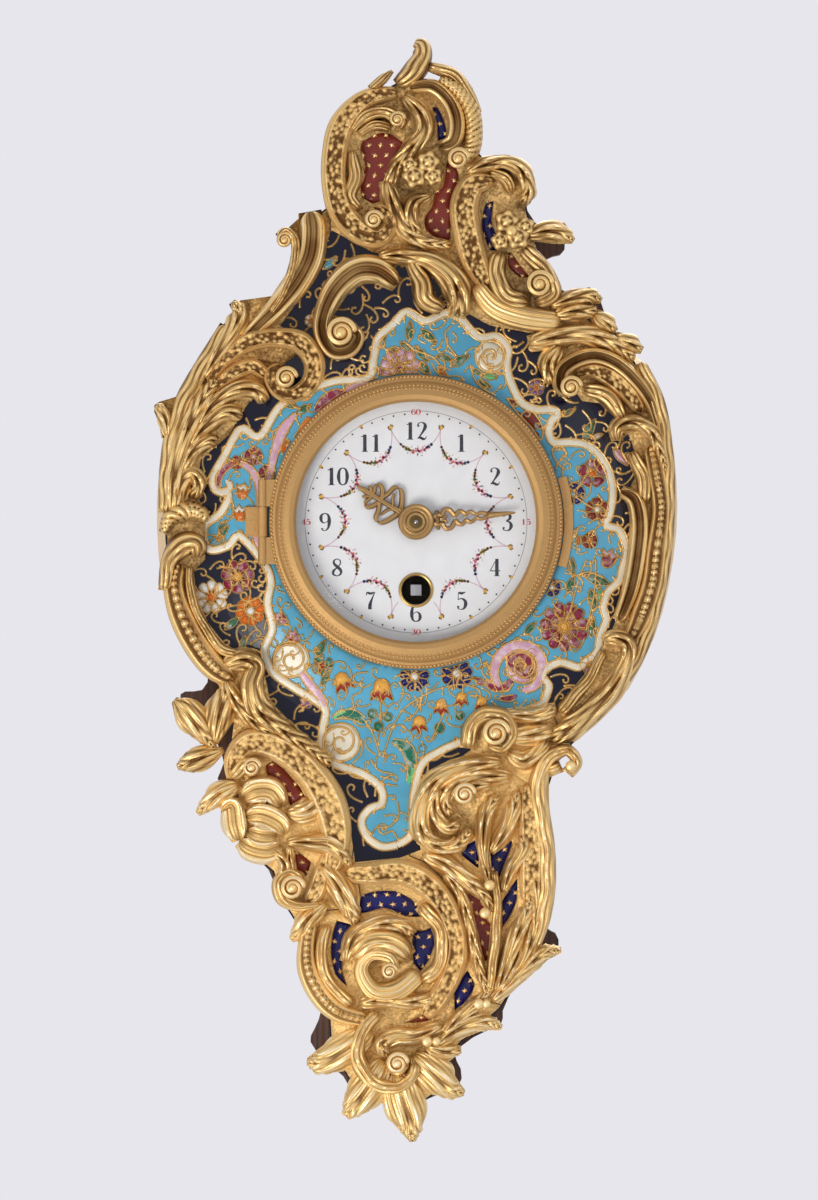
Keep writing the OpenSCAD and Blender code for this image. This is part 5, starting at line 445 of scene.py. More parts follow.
# Stems and tendrils of bare wire
STEMS = [
    [(-10.5, -75), (-7.5, -66), (-4, -60), (1.5, -56), (8.5, -53), (15, -52), (20, -53.5)],
    [(-11.5, -75), (-13, -70), (-15, -65.5), (-17.5, -62.5)], [(-11, -63.5), (-11.5, -60), (-11, -57)],
    [(-14.5, -76), (-12, -79.5), (-7.5, -80.5)], [(-11.5, -81.5), (-7, -82.5)], [(-9.5, -84), (-6, -84.5)],
    [(-6, -89.5), (-5.5, -94), (-8.5, -97.5), (-12, -98), (-10.5, -100), (-7.5, -99), (-5.5, -102.5)],
    [(-17.5, -69.5), (-17.5, -74), (-21, -78)],
    [(-15.5, -48), (-19, -48.5), (-20, -50.5), (-17.5, -52.5), (-18, -54.5), (-20.5, -56), (-20, -59), (-22, -60)],
    [(-5.5, -51), (-4, -54.5), (-5.5, -58)], [(0.5, -52.5), (2, -55), (1.5, -58)],
    [(22.5, -45.5), (21, -47.5), (23, -50.5), (25.5, -50)], [(-4, -64), (0, -61), (1.5, -57)],
    [(4.5, -70.5), (7, -65.5), (9, -61)], [(8.5, -53), (8.5, -55.5)], [(15, -52), (15, -54.5)],
    [(20, -53.5), (21, -55.5)], [(1.5, -56), (1.5, -61)], [(54.5, -12), (52, -18.5), (50, -26), (48, -32)],
    [(57.5, -12), (57.5, -18.5), (56.5, -26), (54.5, -34.5)], [(51.5, -17), (55.5, -16), (60, -18)],
    [(55.5, 16.5), (52.5, 12), (50.5, 9), (54, 6), (57.5, 4)],
    [(48, 16.5), (45, 19), (43.5, 23), (46, 24.5), (48, 22), (46, 20)],
    [(-60, -12), (-57, -17.5), (-53, -22), (-54.5, -27)], [(-65, -29), (-59.5, -27), (-54.5, -26), (-49.5, -23.5)],
    [(-4, 58), (-0.5, 55), (5, 53), (8, 50), (11, 48.5)], [(11.5, 63), (9.5, 61), (9.5, 59), (10, 57), (13, 53)],
    [(5, 51), (6.5, 48), (9, 46)], [(-11, 56.5), (-9, 54.5), (-7, 51)],
    [(17.5, 50.5), (18.5, 46), (22, 42), (25.5, 40.5)], [(26, -41), (23.5, -39), (22.5, -41.5), (24.5, -43)],
    [(22, -45), (23.5, -46.5), (22.5, -48.5), (25, -49.5)],
]
# Open flowers: petals, heart, x, y, radius, number of petals
FLOWERS = [
    ("maroon", "amber", 56.5, 15.5, 4.5, 5), ("royal", "turquoise", 50.5, 9, 3.5, 5),
    ("russet", "cream", 58, 4, 3.8, 5), ("maroon", "straw", 47.5, -33.5, 8, 11),
    ("white", "amber", -65.5, -24, 5.4, 9), ("amber", "white", -53, -28.5, 4.8, 8),
    ("maroon", "straw", -57, -17.5, 5.4, 7), ("maroon", "pink", -52, 21, 2.9, 5),
    ("maroon", "amber", -57.5, 19, 2.2, 5), ("maroon", "pink", -47.5, 15.5, 2.9, 5),
    ("pink", "maroon", -5, 49.5, 6.4, 9), ("royal", "white", -0.5, -49.5, 4.8, 9),
    ("royal", "white", 13, -48.5, 5.1, 9), ("maroon", "pink", 33.5, -46, 1.9, 5),
    ("violet", "amber", 38.5, 43, 2.6, 6), ("white", "amber", -33.5, 64.5, 2.2, 6),
    ("green", "green", -14, -61.5, 5.8, 0), ("green", "green", -9, -62.5, 5.1, 0),
    ("green", "green", -12, -65.5, 5.8, 0), ("green", "green", 7.5, -66, 6.1, 0),
    ("green", "green", 14, -62, 5.1, 0), ("turquoise", "turquoise", 2, -72.5, 4.5, 0),
    ("green", "brick", -30, -46, 3.5, 4), ("russet", "amber", 55.5, -6, 2.6, 5),
    ("maroon", "maroon", 37, -42, 5.4, 0), ("maroon", "maroon", 36, -48, 7.7, 0),
    ("straw", "straw", 27, -38, 4.5, 0), ("violet", "straw", 55.5, -45.5, 2.9, 6),
    ("royal", "white", 43.5, -21, 2.9, 6),
]
# Outlines one unit long for a sprig, a tendril, a leaf and the two cells of a tulip
SPRIG = [(-1, 0), (-0.2, 0.25), (0, 0.8), (0.3, 0.25), (1, 0.3), (0.5, 0), (1, -0.3), (0.3, -0.25), (0, -0.8),
         (-0.2, -0.25)]
CURL = [(-1.2, -0.6), (-0.5, -0.1), (0.2, 0.1), (0.75, -0.1), (0.8, -0.6), (0.4, -0.7), (0.25, -0.4)]
LEAF = [(-1, 0), (-0.6, 0.22), (-0.1, 0.38), (0.4, 0.3), (1, 0), (0.4, -0.26), (-0.1, -0.36), (-0.6, -0.24)]
CUP = [(-0.7, 0), (-0.55, 0.4), (0, 0.55), (0.75, 0.75), (0.5, 0.3), (1, 0), (0.5, -0.3), (0.75, -0.75), (0, -0.55),
       (-0.55, -0.4)]
HOOD = [(-0.7, 0), (-0.55, 0.4), (0, 0.55), (0.35, 0.55), (0.1, 0.22), (0.4, 0), (0.1, -0.22), (0.35, -0.55),
        (0, -0.55), (-0.55, -0.4)]
# Which finish each part takes
SLOT_OF = {node: slot for slot, nodes in {
    "walnut": ["backboard"],
    "brass": ["hanging_plate", "movement_drum", "back_cover", "sight_ring", "hinge_leaf", "hinge_pin", "bezel_catch",
        "winding_grommet", "front_plate", "back_plate", "pillars", "barrel", "barrel_cap", "intermediate_wheel",
        "centre_wheel", "minute_wheel", "hour_wheel", "third_wheel", "contrate_wheel", "platform", "potence",
        "escape_cock", "balance_wheel", "balance_cock"],
    "steel": ["hanging_screws", "mount_screws", "drum_screws", "plate_screws", "movement_screws", "barrel_arbor",
        "ratchet_wheel", "click", "click_screw", "cannon_pinion", "escape_wheel", "lever", "platform_screws"],
    "gilt_bronze": ["case_band", "crest_mount", "left_mount", "right_mount", "rose_mount", "reed_mount", "base_mount",
        "bezel", "hour_hand", "minute_hand", "hand_collet"],
    "enamel_field": ["enamel_plate"],
    "glass": ["glass"],
    "dial_enamel": ["dial"],
    "blued_steel": ["mainspring", "click_spring", "hairspring"],
}.items() for node in nodes}


def inside(x, y, outline):
    """Whether a point lies inside an outline."""
    odd = False
    for (ax, ay), (bx, by) in zip(outline, outline[1:] + outline[:1]):
        if (ay > y) != (by > y) and x < ax + (bx - ax) * (y - ay) / (by - ay):
            odd = not odd
    return odd


# Painted figures: strokes of x, y and half-width in a box one unit high
FIGURES = {
    "0": [[(0.3, 1, 0.02), (0.12, 0.88, 0.05), (0.05, 0.5, 0.085), (0.12, 0.12, 0.05), (0.3, 0, 0.02)],
          [(0.3, 1, 0.02), (0.48, 0.88, 0.05), (0.55, 0.5, 0.085), (0.48, 0.12, 0.05), (0.3, 0, 0.02)]],
    "1": [[(0.3, 0, 0.09), (0.3, 0.5, 0.085), (0.3, 1, 0.08)],
          [(0.3, 0.97, 0.03), (0.2, 0.9, 0.03), (0.08, 0.87, 0.015)],
          [(0.12, 0.015, 0.018), (0.3, 0.015, 0.018), (0.48, 0.015, 0.018)]],
    "2": [[(0.14, 0.76, 0.06), (0.08, 0.84, 0.04), (0.14, 0.95, 0.025), (0.3, 1, 0.02), (0.47, 0.9, 0.06),
           (0.5, 0.72, 0.085), (0.36, 0.44, 0.05), (0.08, 0.05, 0.02)],
          [(0.06, 0.06, 0.02), (0.2, 0.12, 0.06), (0.4, 0.03, 0.06), (0.52, 0.06, 0.03), (0.57, 0.2, 0.012)]],
    "3": [[(0.14, 0.82, 0.06), (0.12, 0.94, 0.03), (0.3, 1, 0.02), (0.47, 0.87, 0.07), (0.45, 0.68, 0.06),
           (0.24, 0.55, 0.02)],
          [(0.24, 0.55, 0.02), (0.46, 0.48, 0.05), (0.54, 0.26, 0.085), (0.44, 0.05, 0.05), (0.26, 0, 0.02),
           (0.1, 0.06, 0.03), (0.12, 0.2, 0.06)]],
    "4": [[(0.42, 0, 0.085), (0.42, 0.5, 0.085), (0.42, 1, 0.08)],
          [(0.4, 0.98, 0.02), (0.2, 0.62, 0.018), (0.03, 0.3, 0.02)],
          [(0.03, 0.3, 0.022), (0.3, 0.3, 0.022), (0.62, 0.3, 0.022)],
          [(0.26, 0.015, 0.018), (0.42, 0.015, 0.018), (0.58, 0.015, 0.018)]],
    "5": [[(0.12, 0.98, 0.04), (0.3, 0.93, 0.06), (0.52, 1, 0.02)],
          [(0.12, 0.98, 0.02), (0.11, 0.76, 0.018), (0.1, 0.56, 0.02)],
          [(0.1, 0.56, 0.02), (0.3, 0.63, 0.03), (0.5, 0.5, 0.07), (0.54, 0.28, 0.085), (0.44, 0.06, 0.05),
           (0.26, 0, 0.02), (0.1, 0.06, 0.03), (0.12, 0.2, 0.06)]],
    "6": [[(0.46, 0.86, 0.06), (0.46, 0.96, 0.03), (0.3, 1, 0.02), (0.12, 0.84, 0.05), (0.05, 0.45, 0.085),
           (0.12, 0.1, 0.05), (0.3, 0, 0.02)],
          [(0.3, 0, 0.02), (0.48, 0.08, 0.05), (0.54, 0.28, 0.08), (0.48, 0.48, 0.05), (0.32, 0.56, 0.02),
           (0.14, 0.44, 0.02)]],
    "7": [[(0.06, 0.8, 0.015), (0.1, 0.97, 0.04), (0.3, 0.92, 0.06), (0.55, 1, 0.02)],
          [(0.55, 1, 0.02), (0.4, 0.64, 0.04), (0.28, 0.3, 0.08), (0.26, 0, 0.09)]],
    "8": [[(0.3, 1, 0.02), (0.12, 0.9, 0.04), (0.12, 0.72, 0.06), (0.3, 0.54, 0.075), (0.5, 0.34, 0.07),
           (0.5, 0.12, 0.05), (0.3, 0, 0.02)],
          [(0.3, 0, 0.02), (0.08, 0.1, 0.05), (0.09, 0.3, 0.06), (0.3, 0.5, 0.025), (0.47, 0.7, 0.03),
           (0.47, 0.9, 0.03), (0.3, 1, 0.02)]],
}
# Strokes of the pierced hands: along, across and half-width
HOUR_HAND = [
    [(5.0, 0, 0.9), (9.0, 0, 0.55), (14.0, 0, 0.55), (19.0, 0, 0.6), (22.3, 0, 0.25)],
    [(6.0, 0.4, 0.6), (7.4, 3.4, 0.55), (8.8, 5.6, 0.5), (10.4, 6.6, 0.3)],
    [(10.4, 6.6, 0.3), (11.8, 5.4, 0.5), (12.2, 3.2, 0.5), (13.6, 0.3, 0.5)],
    [(8.6, 0.3, 0.3), (10.0, 2.0, 0.35), (10.8, 4.2, 0.3)],
    [(13.4, 0.3, 0.4), (14.2, 2.6, 0.5), (15.6, 4.0, 0.45), (17.0, 3.9, 0.3)],
    [(17.0, 3.9, 0.3), (17.0, 2.4, 0.4), (16.4, 1.2, 0.4), (17.2, 0.2, 0.4)],
    [(16.8, 0.3, 0.35), (17.8, 1.4, 0.4), (19.0, 2.2, 0.25)],
]
MINUTE_HAND = [
    [(6.9, -3.3, 0.4), (6.9, 0, 0.6), (6.9, 3.3, 0.4)],
    [(5.2, 0.8, 0.7), (7.0, 1.6, 0.5), (8.4, 1.4, 0.45), (9.2, 2.9, 0.5), (10.8, 3.0, 0.5), (12.0, 1.6, 0.5),
     (12.8, 0.3, 0.5)],
    [(7.4, 0.2, 0.3), (9.0, 0.3, 0.3), (10.2, 1.4, 0.3)],
    [(12.4, 0.2, 0.45), (13.4, 1.7, 0.5), (14.8, 2.0, 0.45), (16.2, 0.5, 0.45)],
    [(15.8, 0.3, 0.4), (17.0, 1.6, 0.45), (18.2, 1.4, 0.4), (19.4, 0.3, 0.4)],
    [(19.0, 0.3, 0.4), (20.6, 1.0, 0.4), (22.2, 0.7, 0.4), (23.2, 0.2, 0.4)],
    [(23.1, -1.2, 0.3), (23.1, 0, 0.5), (23.1, 1.2, 0.3)],
    [(22.8, 0, 0.75), (26.0, 0, 0.55), (29.5, 0, 0.4), (32.0, 0, 0.15)],
]
FIGURES["9"] = [[(0.6 - x, 1 - y, w) for x, y, w in stroke] for stroke in FIGURES["6"]]


def rgb(red, green, blue):
    """A colour as it is seen, from 0 to 255, made linear."""
    return [(c / 255 / 12.92) if c < 10.3 else ((c / 255 + 0.055) / 1.055) ** 2.4 for c in (red, green, blue)]


def tint(name, about, red, green, blue):
    """A colour property with its default."""
    return bpy.props.FloatVectorProperty(name=name, description=about, subtype="COLOR", size=3, min=0, max=1,
                                         default=rgb(red, green, blue))


def length(name, about, default):
    """A length property in metres."""
    return bpy.props.FloatProperty(name=name, description=about, subtype="DISTANCE", unit="LENGTH", default=default)


class CartelSizes(bpy.types.PropertyGroup):
    """Sizes of the chased and painted work"""

    row_step: length("Row step", "Distance between rows of points along a scroll", 0.00055)
    figure_height: length("Figure height", "Height of the painted hours", 0.0055)
    hour_ring: length("Hour ring", "Radius on which the hours stand", 0.0291)
    minute_ring: length("Minute ring", "Radius of the minute dots", 0.0346)
    swag_ring: length("Swag ring", "Radius of the stars that hold the garlands", 0.0313)
    swag_drop: length("Swag drop", "How far a garland hangs towards the centre", 0.0076)
    bead: length("Rim bead", "Radius of the beads round the bezel", 0.00058)
    wire: length("Cell wire", "Half-width of the gilt wire between enamels", 0.0004)
    camera_distance: length("Camera distance", "How far the camera stands before the wall", 2.5)


class CartelColours(bpy.types.PropertyGroup):
    """Colours of the gilding, enamels and paint"""

    gilt: tint("Gilt", "Matte fire gilding", 230, 195, 130)
    # Burnished gilt: rubbed high points, and also a painted highlight on the ridges
    burnished: tint("Burnished gilt", "Rubbed high points", 255, 240, 202)
    toned: tint("Toned gilt", "Bezel, hands and boss", 194, 154, 98)
    # Hollows colour: toned gilding, and also painted shade darkening the hollows
    recess: tint("Recess", "Toned gilding in the hollows", 120, 82, 40)
    brass: tint("Brass", "Turned brass", 205, 168, 100)
    turquoise: tint("Turquoise", "Ground of the front", 86, 162, 192)
    navy: tint("Navy", "Dark corners of the front", 8, 8, 38)
    royal: tint("Royal blue", "Glaze behind the base windows", 24, 28, 96)
    russet: tint("Russet", "Glaze behind the red windows", 128, 48, 38)
    cream: tint("Cream", "Scrolled borders", 224, 215, 192)
    maroon: tint("Maroon", "Flowers", 132, 36, 60)
    pink: tint("Pink", "Shaded petals", 204, 158, 176)
    violet: tint("Violet", "Tulips", 120, 78, 140)
    green: tint("Green", "Leaves", 24, 108, 82)
    amber: tint("Amber", "Bells and hearts", 206, 104, 32)
    white: tint("White", "Daisies", 222, 219, 211)
    straw: tint("Straw", "Hoods of the bells and yellow buds", 224, 164, 70)
    brick: tint("Brick", "Lips of the bells", 150, 44, 34)
    mint: tint("Mint", "Light ends of the leaves", 96, 186, 124)
    rosy: tint("Rosy", "Roses of the garlands", 220, 104, 116)
    olive: tint("Olive", "Leaves of the garlands", 132, 146, 84)
    dial: tint("Dial", "White enamel of the dial", 243, 242, 241)
    ink: tint("Ink", "Painted hours", 44, 44, 54)
    gold: tint("Painted gold", "Stars of the dial", 216, 166, 70)
    blue: tint("Blue", "Cornflowers of the garlands", 74, 128, 186)
    red: tint("Red", "Painted quarters", 198, 58, 60)
    wood: tint("Wood", "Board behind the case", 74, 40, 26)
    backdrop: tint("Backdrop", "Pale studio ground", 231, 230, 236)


class Socket:
    """One output of a shader node, with arithmetic."""

    def __init__(self, nodes, out):
        self.nodes = nodes
        self.out = out

    def maths(self, kind, *others):
        return self.nodes.make("ShaderNodeMath", dict(enumerate((self,) + others)), operation=kind)

    def turned(self, kind, first):
        """The same with this socket second."""
        return self.nodes.make("ShaderNodeMath", {0: first, 1: self}, operation=kind)

    def __add__(self, other):
        return self.maths("ADD", other)

    def __radd__(self, other):
        return self.turned("ADD", other)

    def __sub__(self, other):
        return self.maths("SUBTRACT", other)

    def __rsub__(self, other):
        return self.turned("SUBTRACT", other)

    def __mul__(self, other):
        return self.maths("MULTIPLY", other)

    def __rmul__(self, other):
        return self.turned("MULTIPLY", other)

    def __pow__(self, other):
        return self.maths("POWER", other)

    def __rpow__(self, other):
        return self.turned("POWER", other)

    def steps(self, low, high):
        """Zero below low, one above high."""
        return self.nodes.make("ShaderNodeMapRange", {0: self, 1: low, 2: high, 3: 0.0, 4: 1.0}, clamp=True)


class Nodes:
    """A node tree whose nodes all come from one method."""

    def __init__(self, tree):
        self.tree = tree

    def make(self, kind, feeds, out=0, **settings):
        """A node with its inputs fed by values or sockets."""
        node = self.tree.nodes.new(kind)
        for key, value in settings.items():
            setattr(node, key, value)
        for key, value in feeds.items():
            if isinstance(value, Socket):
                self.tree.links.new(value.out, node.inputs[key])
            else:
                node.inputs[key].default_value = value
        return Socket(self, node.outputs[out])

    def seen(self):
        """One for what the eye, metal and glass see, zero for the light that falls on the clock."""
        camera, glossy, through = (self.make("ShaderNodeLightPath", {}, out="Is %s Ray" % kind)
                                   for kind in ("Camera", "Glossy", "Transmission"))
        return (camera + glossy + through).steps(0.0, 1.0)

    def show(self, end, amount, one, two):
        """Two shaders mixed into the output node."""
        mixed = self.make("ShaderNodeMixShader", {0: amount, 1: one, 2: two})
        self.tree.links.new(mixed.out, self.tree.nodes[end].inputs[0])


class Finish(Nodes):
    """A material with one Principled shader; keyword values are the same all over."""

    def __init__(self, name, **values):
        self.material = bpy.data.materials.new(name)
        self.material.use_nodes = True
        super().__init__(self.material.node_tree)
        self.shader = self.tree.nodes["Principled BSDF"]
        for key, value in values.items():
            self.shader.inputs[key.replace("_", " ")].default_value = value

    def place(self, x=1.0, y=1.0, z=1.0):
        """Object coordinates, stretched."""
        here = self.make("ShaderNodeTexCoord", {}, out="Object")
        return self.make("ShaderNodeMapping", {"Vector": here, "Scale": (x, y, z)})

    def noise(self, scale, detail=4.0, at=None):
        return self.make("ShaderNodeTexNoise", {"Vector": at or self.place(), "Scale": scale, "Detail": detail})

    def cells(self, scale, at=None):
        return self.make("ShaderNodeTexVoronoi", {"Vector": at or self.place(), "Scale": scale})

    def trait(self, name):
        return self.make("ShaderNodeAttribute", {}, out="Fac", attribute_name=name)

    def blend(self, amount, one, two):
        one = one if isinstance(one, Socket) else (*one, 1.0)
        two = two if isinstance(two, Socket) else (*two, 1.0)
        return self.make("ShaderNodeMix", {0: amount, 6: one, 7: two}, out=2, data_type="RGBA")

    def feed(self, name, value):
        self.tree.links.new(value.out, self.shader.inputs[name])
        return self

    def bump(self, height, strength, distance):
        bumped = self.make("ShaderNodeBump", {"Height": height, "Strength": strength, "Distance": distance})
        return self.feed("Normal", bumped)


def colours():
    return bpy.context.scene.cartel_colours


def sizes():
    return bpy.context.scene.cartel_sizes


def gilding(name, chased=True, matted=0.0, tone=0.0, rough=0.46, shade=0.0):
    """Fire gilding: toned and darkened as painted shade in the hollows, rubbed and brightened as a painted highlight
    on the high points, with patches of wear; shade makes it brown.
    """
    c = colours()
    f = Finish(name, Metallic=0.76)
    cloud = f.noise(70, 5)
    grain = f.noise(2600, 3)
    # The high attribute holds painted highlight on ridges and painted shade in grooves; unchased gilding takes random
    # tone instead
    high = f.trait("high") if chased else f.noise(1100, 3).steps(-0.3, 1.1)
    light_and_tone = high + cloud * 0.5 - 0.25 + tone
    # Hollows colour: toned gilding and painted shade; top colour: rubbed gilding and a painted highlight
    hollow_tone_and_shade, matte, bright = c.recess, c.gilt, c.burnished
    if shade:
        # Darker and lighter copies of the toned gilt, as painted shade and painted highlight
        hollow_tone_and_shade, matte, bright = [[v * shade * k for v in c.toned] for k in (0.55, 1.0, 1.25)]
    body = f.blend(light_and_tone.steps(0.02, 0.42), hollow_tone_and_shade, matte)
    f.feed("Base Color", f.blend((light_and_tone ** 2.0).steps(0.45, 1.0) * 0.85, body, bright))
    f.feed("Roughness", (high.steps(0.2, 1.0) * -0.14) + (cloud * 0.16) + (rough + 0.05 + matted * 0.1))
    if matted:
        stipple = f.cells(1500)
        f.bump(stipple * matted + grain * 0.4, 0.5, 0.0004)
    else:
        lines = (f.trait("line") * 5.2).maths("SINE") if chased else f.noise(900, 2)
        f.bump(grain * 0.4 + f.noise(420, 4) + lines * 0.9, 0.45, 0.0004)
    return f.material


def turned_brass(name, shade=1.0, rough=0.3):
    """Lathe-turned or grained brass with fine lines and a little tarnish."""
    c = colours()
    f = Finish(name, Metallic=1.0)
    lines = f.noise(900, 3, f.place(1, 0.08, 1))
    cloud = f.noise(60, 4)
    dark = [v * 0.62 * shade for v in c.brass]
    f.feed("Base Color", f.blend(cloud.steps(0.3, 0.75), dark, [v * shade for v in c.brass]))
    f.feed("Roughness", lines * 0.14 + cloud * 0.1 + (rough - 0.08))
    return f.bump(lines, 0.08, 0.0002).material


def grained_steel(name, light, rough):
    """Steel with a straight grain."""
    f = Finish(name, Metallic=1.0)
    lines = f.noise(1200, 3, f.place(1, 1, 0.1))
    f.feed("Base Color", f.blend(lines.steps(0.3, 0.7), [v * 0.8 for v in light], light))
    f.feed("Roughness", lines * 0.12 + (rough - 0.05))
    return f.bump(lines, 0.08, 0.0001).material


def glaze(name, colour, depth=0.8, rough=0.14, milky=0.0):
    """Vitreous enamel: a little uneven in colour, pricked with tiny pits; milky glazes pale towards white."""
    f = Finish(name, Coat_Roughness=0.05, Coat_Weight=0.06, Specular_IOR_Level=0.28)
    cloud = f.noise(160, 4)
    pits = f.cells(700)
    deep = [v * depth for v in colour]
    body = f.blend(cloud.steps(0.32, 0.68), deep, colour)
    if milky:
        body = f.blend(f.noise(420, 3).steps(0.46, 0.72) * milky, body, (0.82, 0.78, 0.78))
    f.feed("Base Color", body)
    f.feed("Roughness", cloud * 0.14 + rough)
    return f.bump(pits.steps(0.0, 0.12) + cloud * 0.6, 0.12, 0.0002).material


def paint(name, colour):
    """Fired paint on the dial, thin and slightly uneven."""
    f = Finish(name)
    wash = f.noise(900, 3)
    f.feed("Base Color", f.blend(wash.steps(0.35, 0.8), colour, [min(1.0, v * 1.25 + 0.03) for v in colour]))
    f.feed("Roughness", wash * 0.2 + 0.3)
    return f.material


def waxed_wood(name):
    """Dark stained wood with long grain and open pores."""
    c = colours()
    f = Finish(name)
    rings = f.make("ShaderNodeTexWave", {"Vector": f.place(1, 1, 0.12), "Scale": 160.0, "Distortion": 6.0,
                                         "Detail": 4.0, "Detail Scale": 1.6})
    pores = f.noise(1400, 3, f.place(1, 1, 0.06))
    tone = rings * 0.6 + pores * 0.5
    f.feed("Base Color", f.blend(tone.steps(0.2, 0.95), [v * 0.45 for v in c.wood], c.wood))
    f.feed("Roughness", pores * 0.25 + 0.35)
    return f.bump(pores + rings * 0.4, 0.25, 0.0003).material


def clear_glass(name):
    """Thin clear glass: mostly seen through, with a bright edge reflection."""
    f = Finish(name, Roughness=0.02, IOR=1.5, Base_Color=(0.02, 0.02, 0.02, 1.0))
    rim = f.make("ShaderNodeLayerWeight", {"Blend": 0.25}, out="Facing")
    f.feed("Alpha", (rim ** 3.0) * 0.45 + f.noise(30, 2) * 0.02 + 0.035)
    f.material.surface_render_method = "BLENDED"
    return f.material


def at(x, y, depth):
    """A point of the front, from millimetres across, up and forward."""
    return Vector((x, -depth, y - DIAL_DROP)) * MM


def front(x, y):
    """Depth of the domed enamel front under a point."""
    k = (DOME_OUT - math.hypot(x, y)) / (DOME_OUT - DOME_IN) * DOME_STEPS
    k = min(max(k, 0.0), float(DOME_STEPS))
    low = min(int(k), DOME_STEPS - 1)
    a, b = [FACE + (SEAT - FACE) * (i / DOME_STEPS) ** 2 * (3 - 2 * i / DOME_STEPS) for i in (low, low + 1)]
    return a + (b - a) * (k - low)


def bell(value, middle, spread):
    return math.exp(-(((value - middle) / spread) ** 2))


def polar(r, angle, x=0.0, y=0.0):
    """A point at a distance and direction from another."""
    return x + r * math.cos(angle), y + r * math.sin(angle)


def spline(points, step):
    """Closely spaced points on a smooth line through the given ones."""
    ends = [points[0]] + list(points) + [points[-1]]
    line = []
    for a, b, c, d in zip(ends, ends[1:], ends[2:], ends[3:]):
        n = max(2, round(math.dist(b[:2], c[:2]) / step))
        for t in (i / n for i in range(n)):
            line.append([0.5 * (2 * q + (r - p) * t + (2 * p - 5 * q + 4 * r - s) * t * t
                                + (3 * q - p - 3 * r + s) * t ** 3) for p, q, r, s in zip(a, b, c, d)])
    return line + [list(points[-1])]


def section(kind, t, s, w):
    """Height, brightness and spread across a chased scroll at t from -1 to 1, s along it; the brightness is painted
    highlight on ridges, lips, beads and flutes and painted shade in channels, grooves and gaps.
    """
    a = abs(t)
    round_top = max(0.0, 1 - a ** 3) ** 0.6
    spread = 1.0
    if kind == "chan":
        rise = round_top * (1 - 0.5 * bell(a, 0, 0.5))
        high = 0.18 + 0.82 * bell(a, 0.72, 0.2)
    elif kind == "gad":
        lobe = abs(math.sin(math.pi * (s + 0.6 * w * t) / max(1.7, 0.62 * w))) ** 0.6
        rise = round_top * (0.62 + 0.38 * lobe)
        high = lobe * (1 - 0.5 * a)
    elif kind == "bead":
        pitch = max(1.9, 0.55 * w)
        q = ((s / pitch % 1 - 0.5) * pitch / (0.46 * pitch)) ** 2 + (t * w / (0.46 * pitch)) ** 2
        ball = math.sqrt(max(0.0, 1 - q))
        rise = max(round_top * (1 - 0.5 * bell(a, 0, 0.55)), 0.55 * round_top + 0.42 * ball)
        high = max(0.12 + 0.7 * bell(a, 0.8, 0.16), ball)
    elif kind == "rib":
        reed = abs(math.cos(2.5 * math.pi * t)) ** 0.7
        rise = round_top * (0.68 + 0.32 * reed)
        high = reed * (1 - 0.4 * a)
    elif kind == "leaf":
        flute = 0.5 + 0.5 * math.cos(2 * math.pi * (1.5 * a - 0.24 * s / max(w, 1.0)))
        lobe = 0.5 + 0.5 * math.cos(2 * math.pi * (1.5 - 0.24 * s / max(w, 1.0)))
        vein = bell(a, 0, 0.14)
        rise = round_top * (0.7 + 0.24 * flute + 0.1 * (1 - a)) - 0.1 * vein * round_top
        high = 0.2 + 0.75 * flute - 0.4 * vein
        spread = 1 + 0.3 * a * a * (lobe - 0.6)
    elif kind == "petal":
        rise = round_top * (1 - 0.5 * (1 - a * a)) + 0.05 * math.cos(9 * t)
        high = 0.2 + 0.8 * bell(a, 0.72, 0.3)
    elif kind == "tex":
        fillet = max(bell(a, 0.86, 0.1), bell(a, 0.62, 0.09))
        gap = noise.voronoi(Vector((0.62 * s + 0.2 * t * w, 0.7 * t * w, 0.5)))[0][0]
        nugget = max(0.0, 1.1 - 1.5 * gap) * (a < 0.52)
        rise = round_top * (0.66 + 0.34 * fillet) + 0.2 * nugget
        high = 0.05 + 0.95 * max(fillet, nugget)
    elif kind == "smooth":
        flute = 0.5 + 0.5 * math.cos(2 * math.pi * 1.6 * (t + 0.12 * math.sin(0.5 * s)))
        rise = round_top * (0.84 + 0.16 * flute)
        high = 0.15 + 0.75 * flute * (1 - 0.5 * a)
    else:
        rise = round_top
        high = 1 - 0.75 * a
    return rise, high, spread


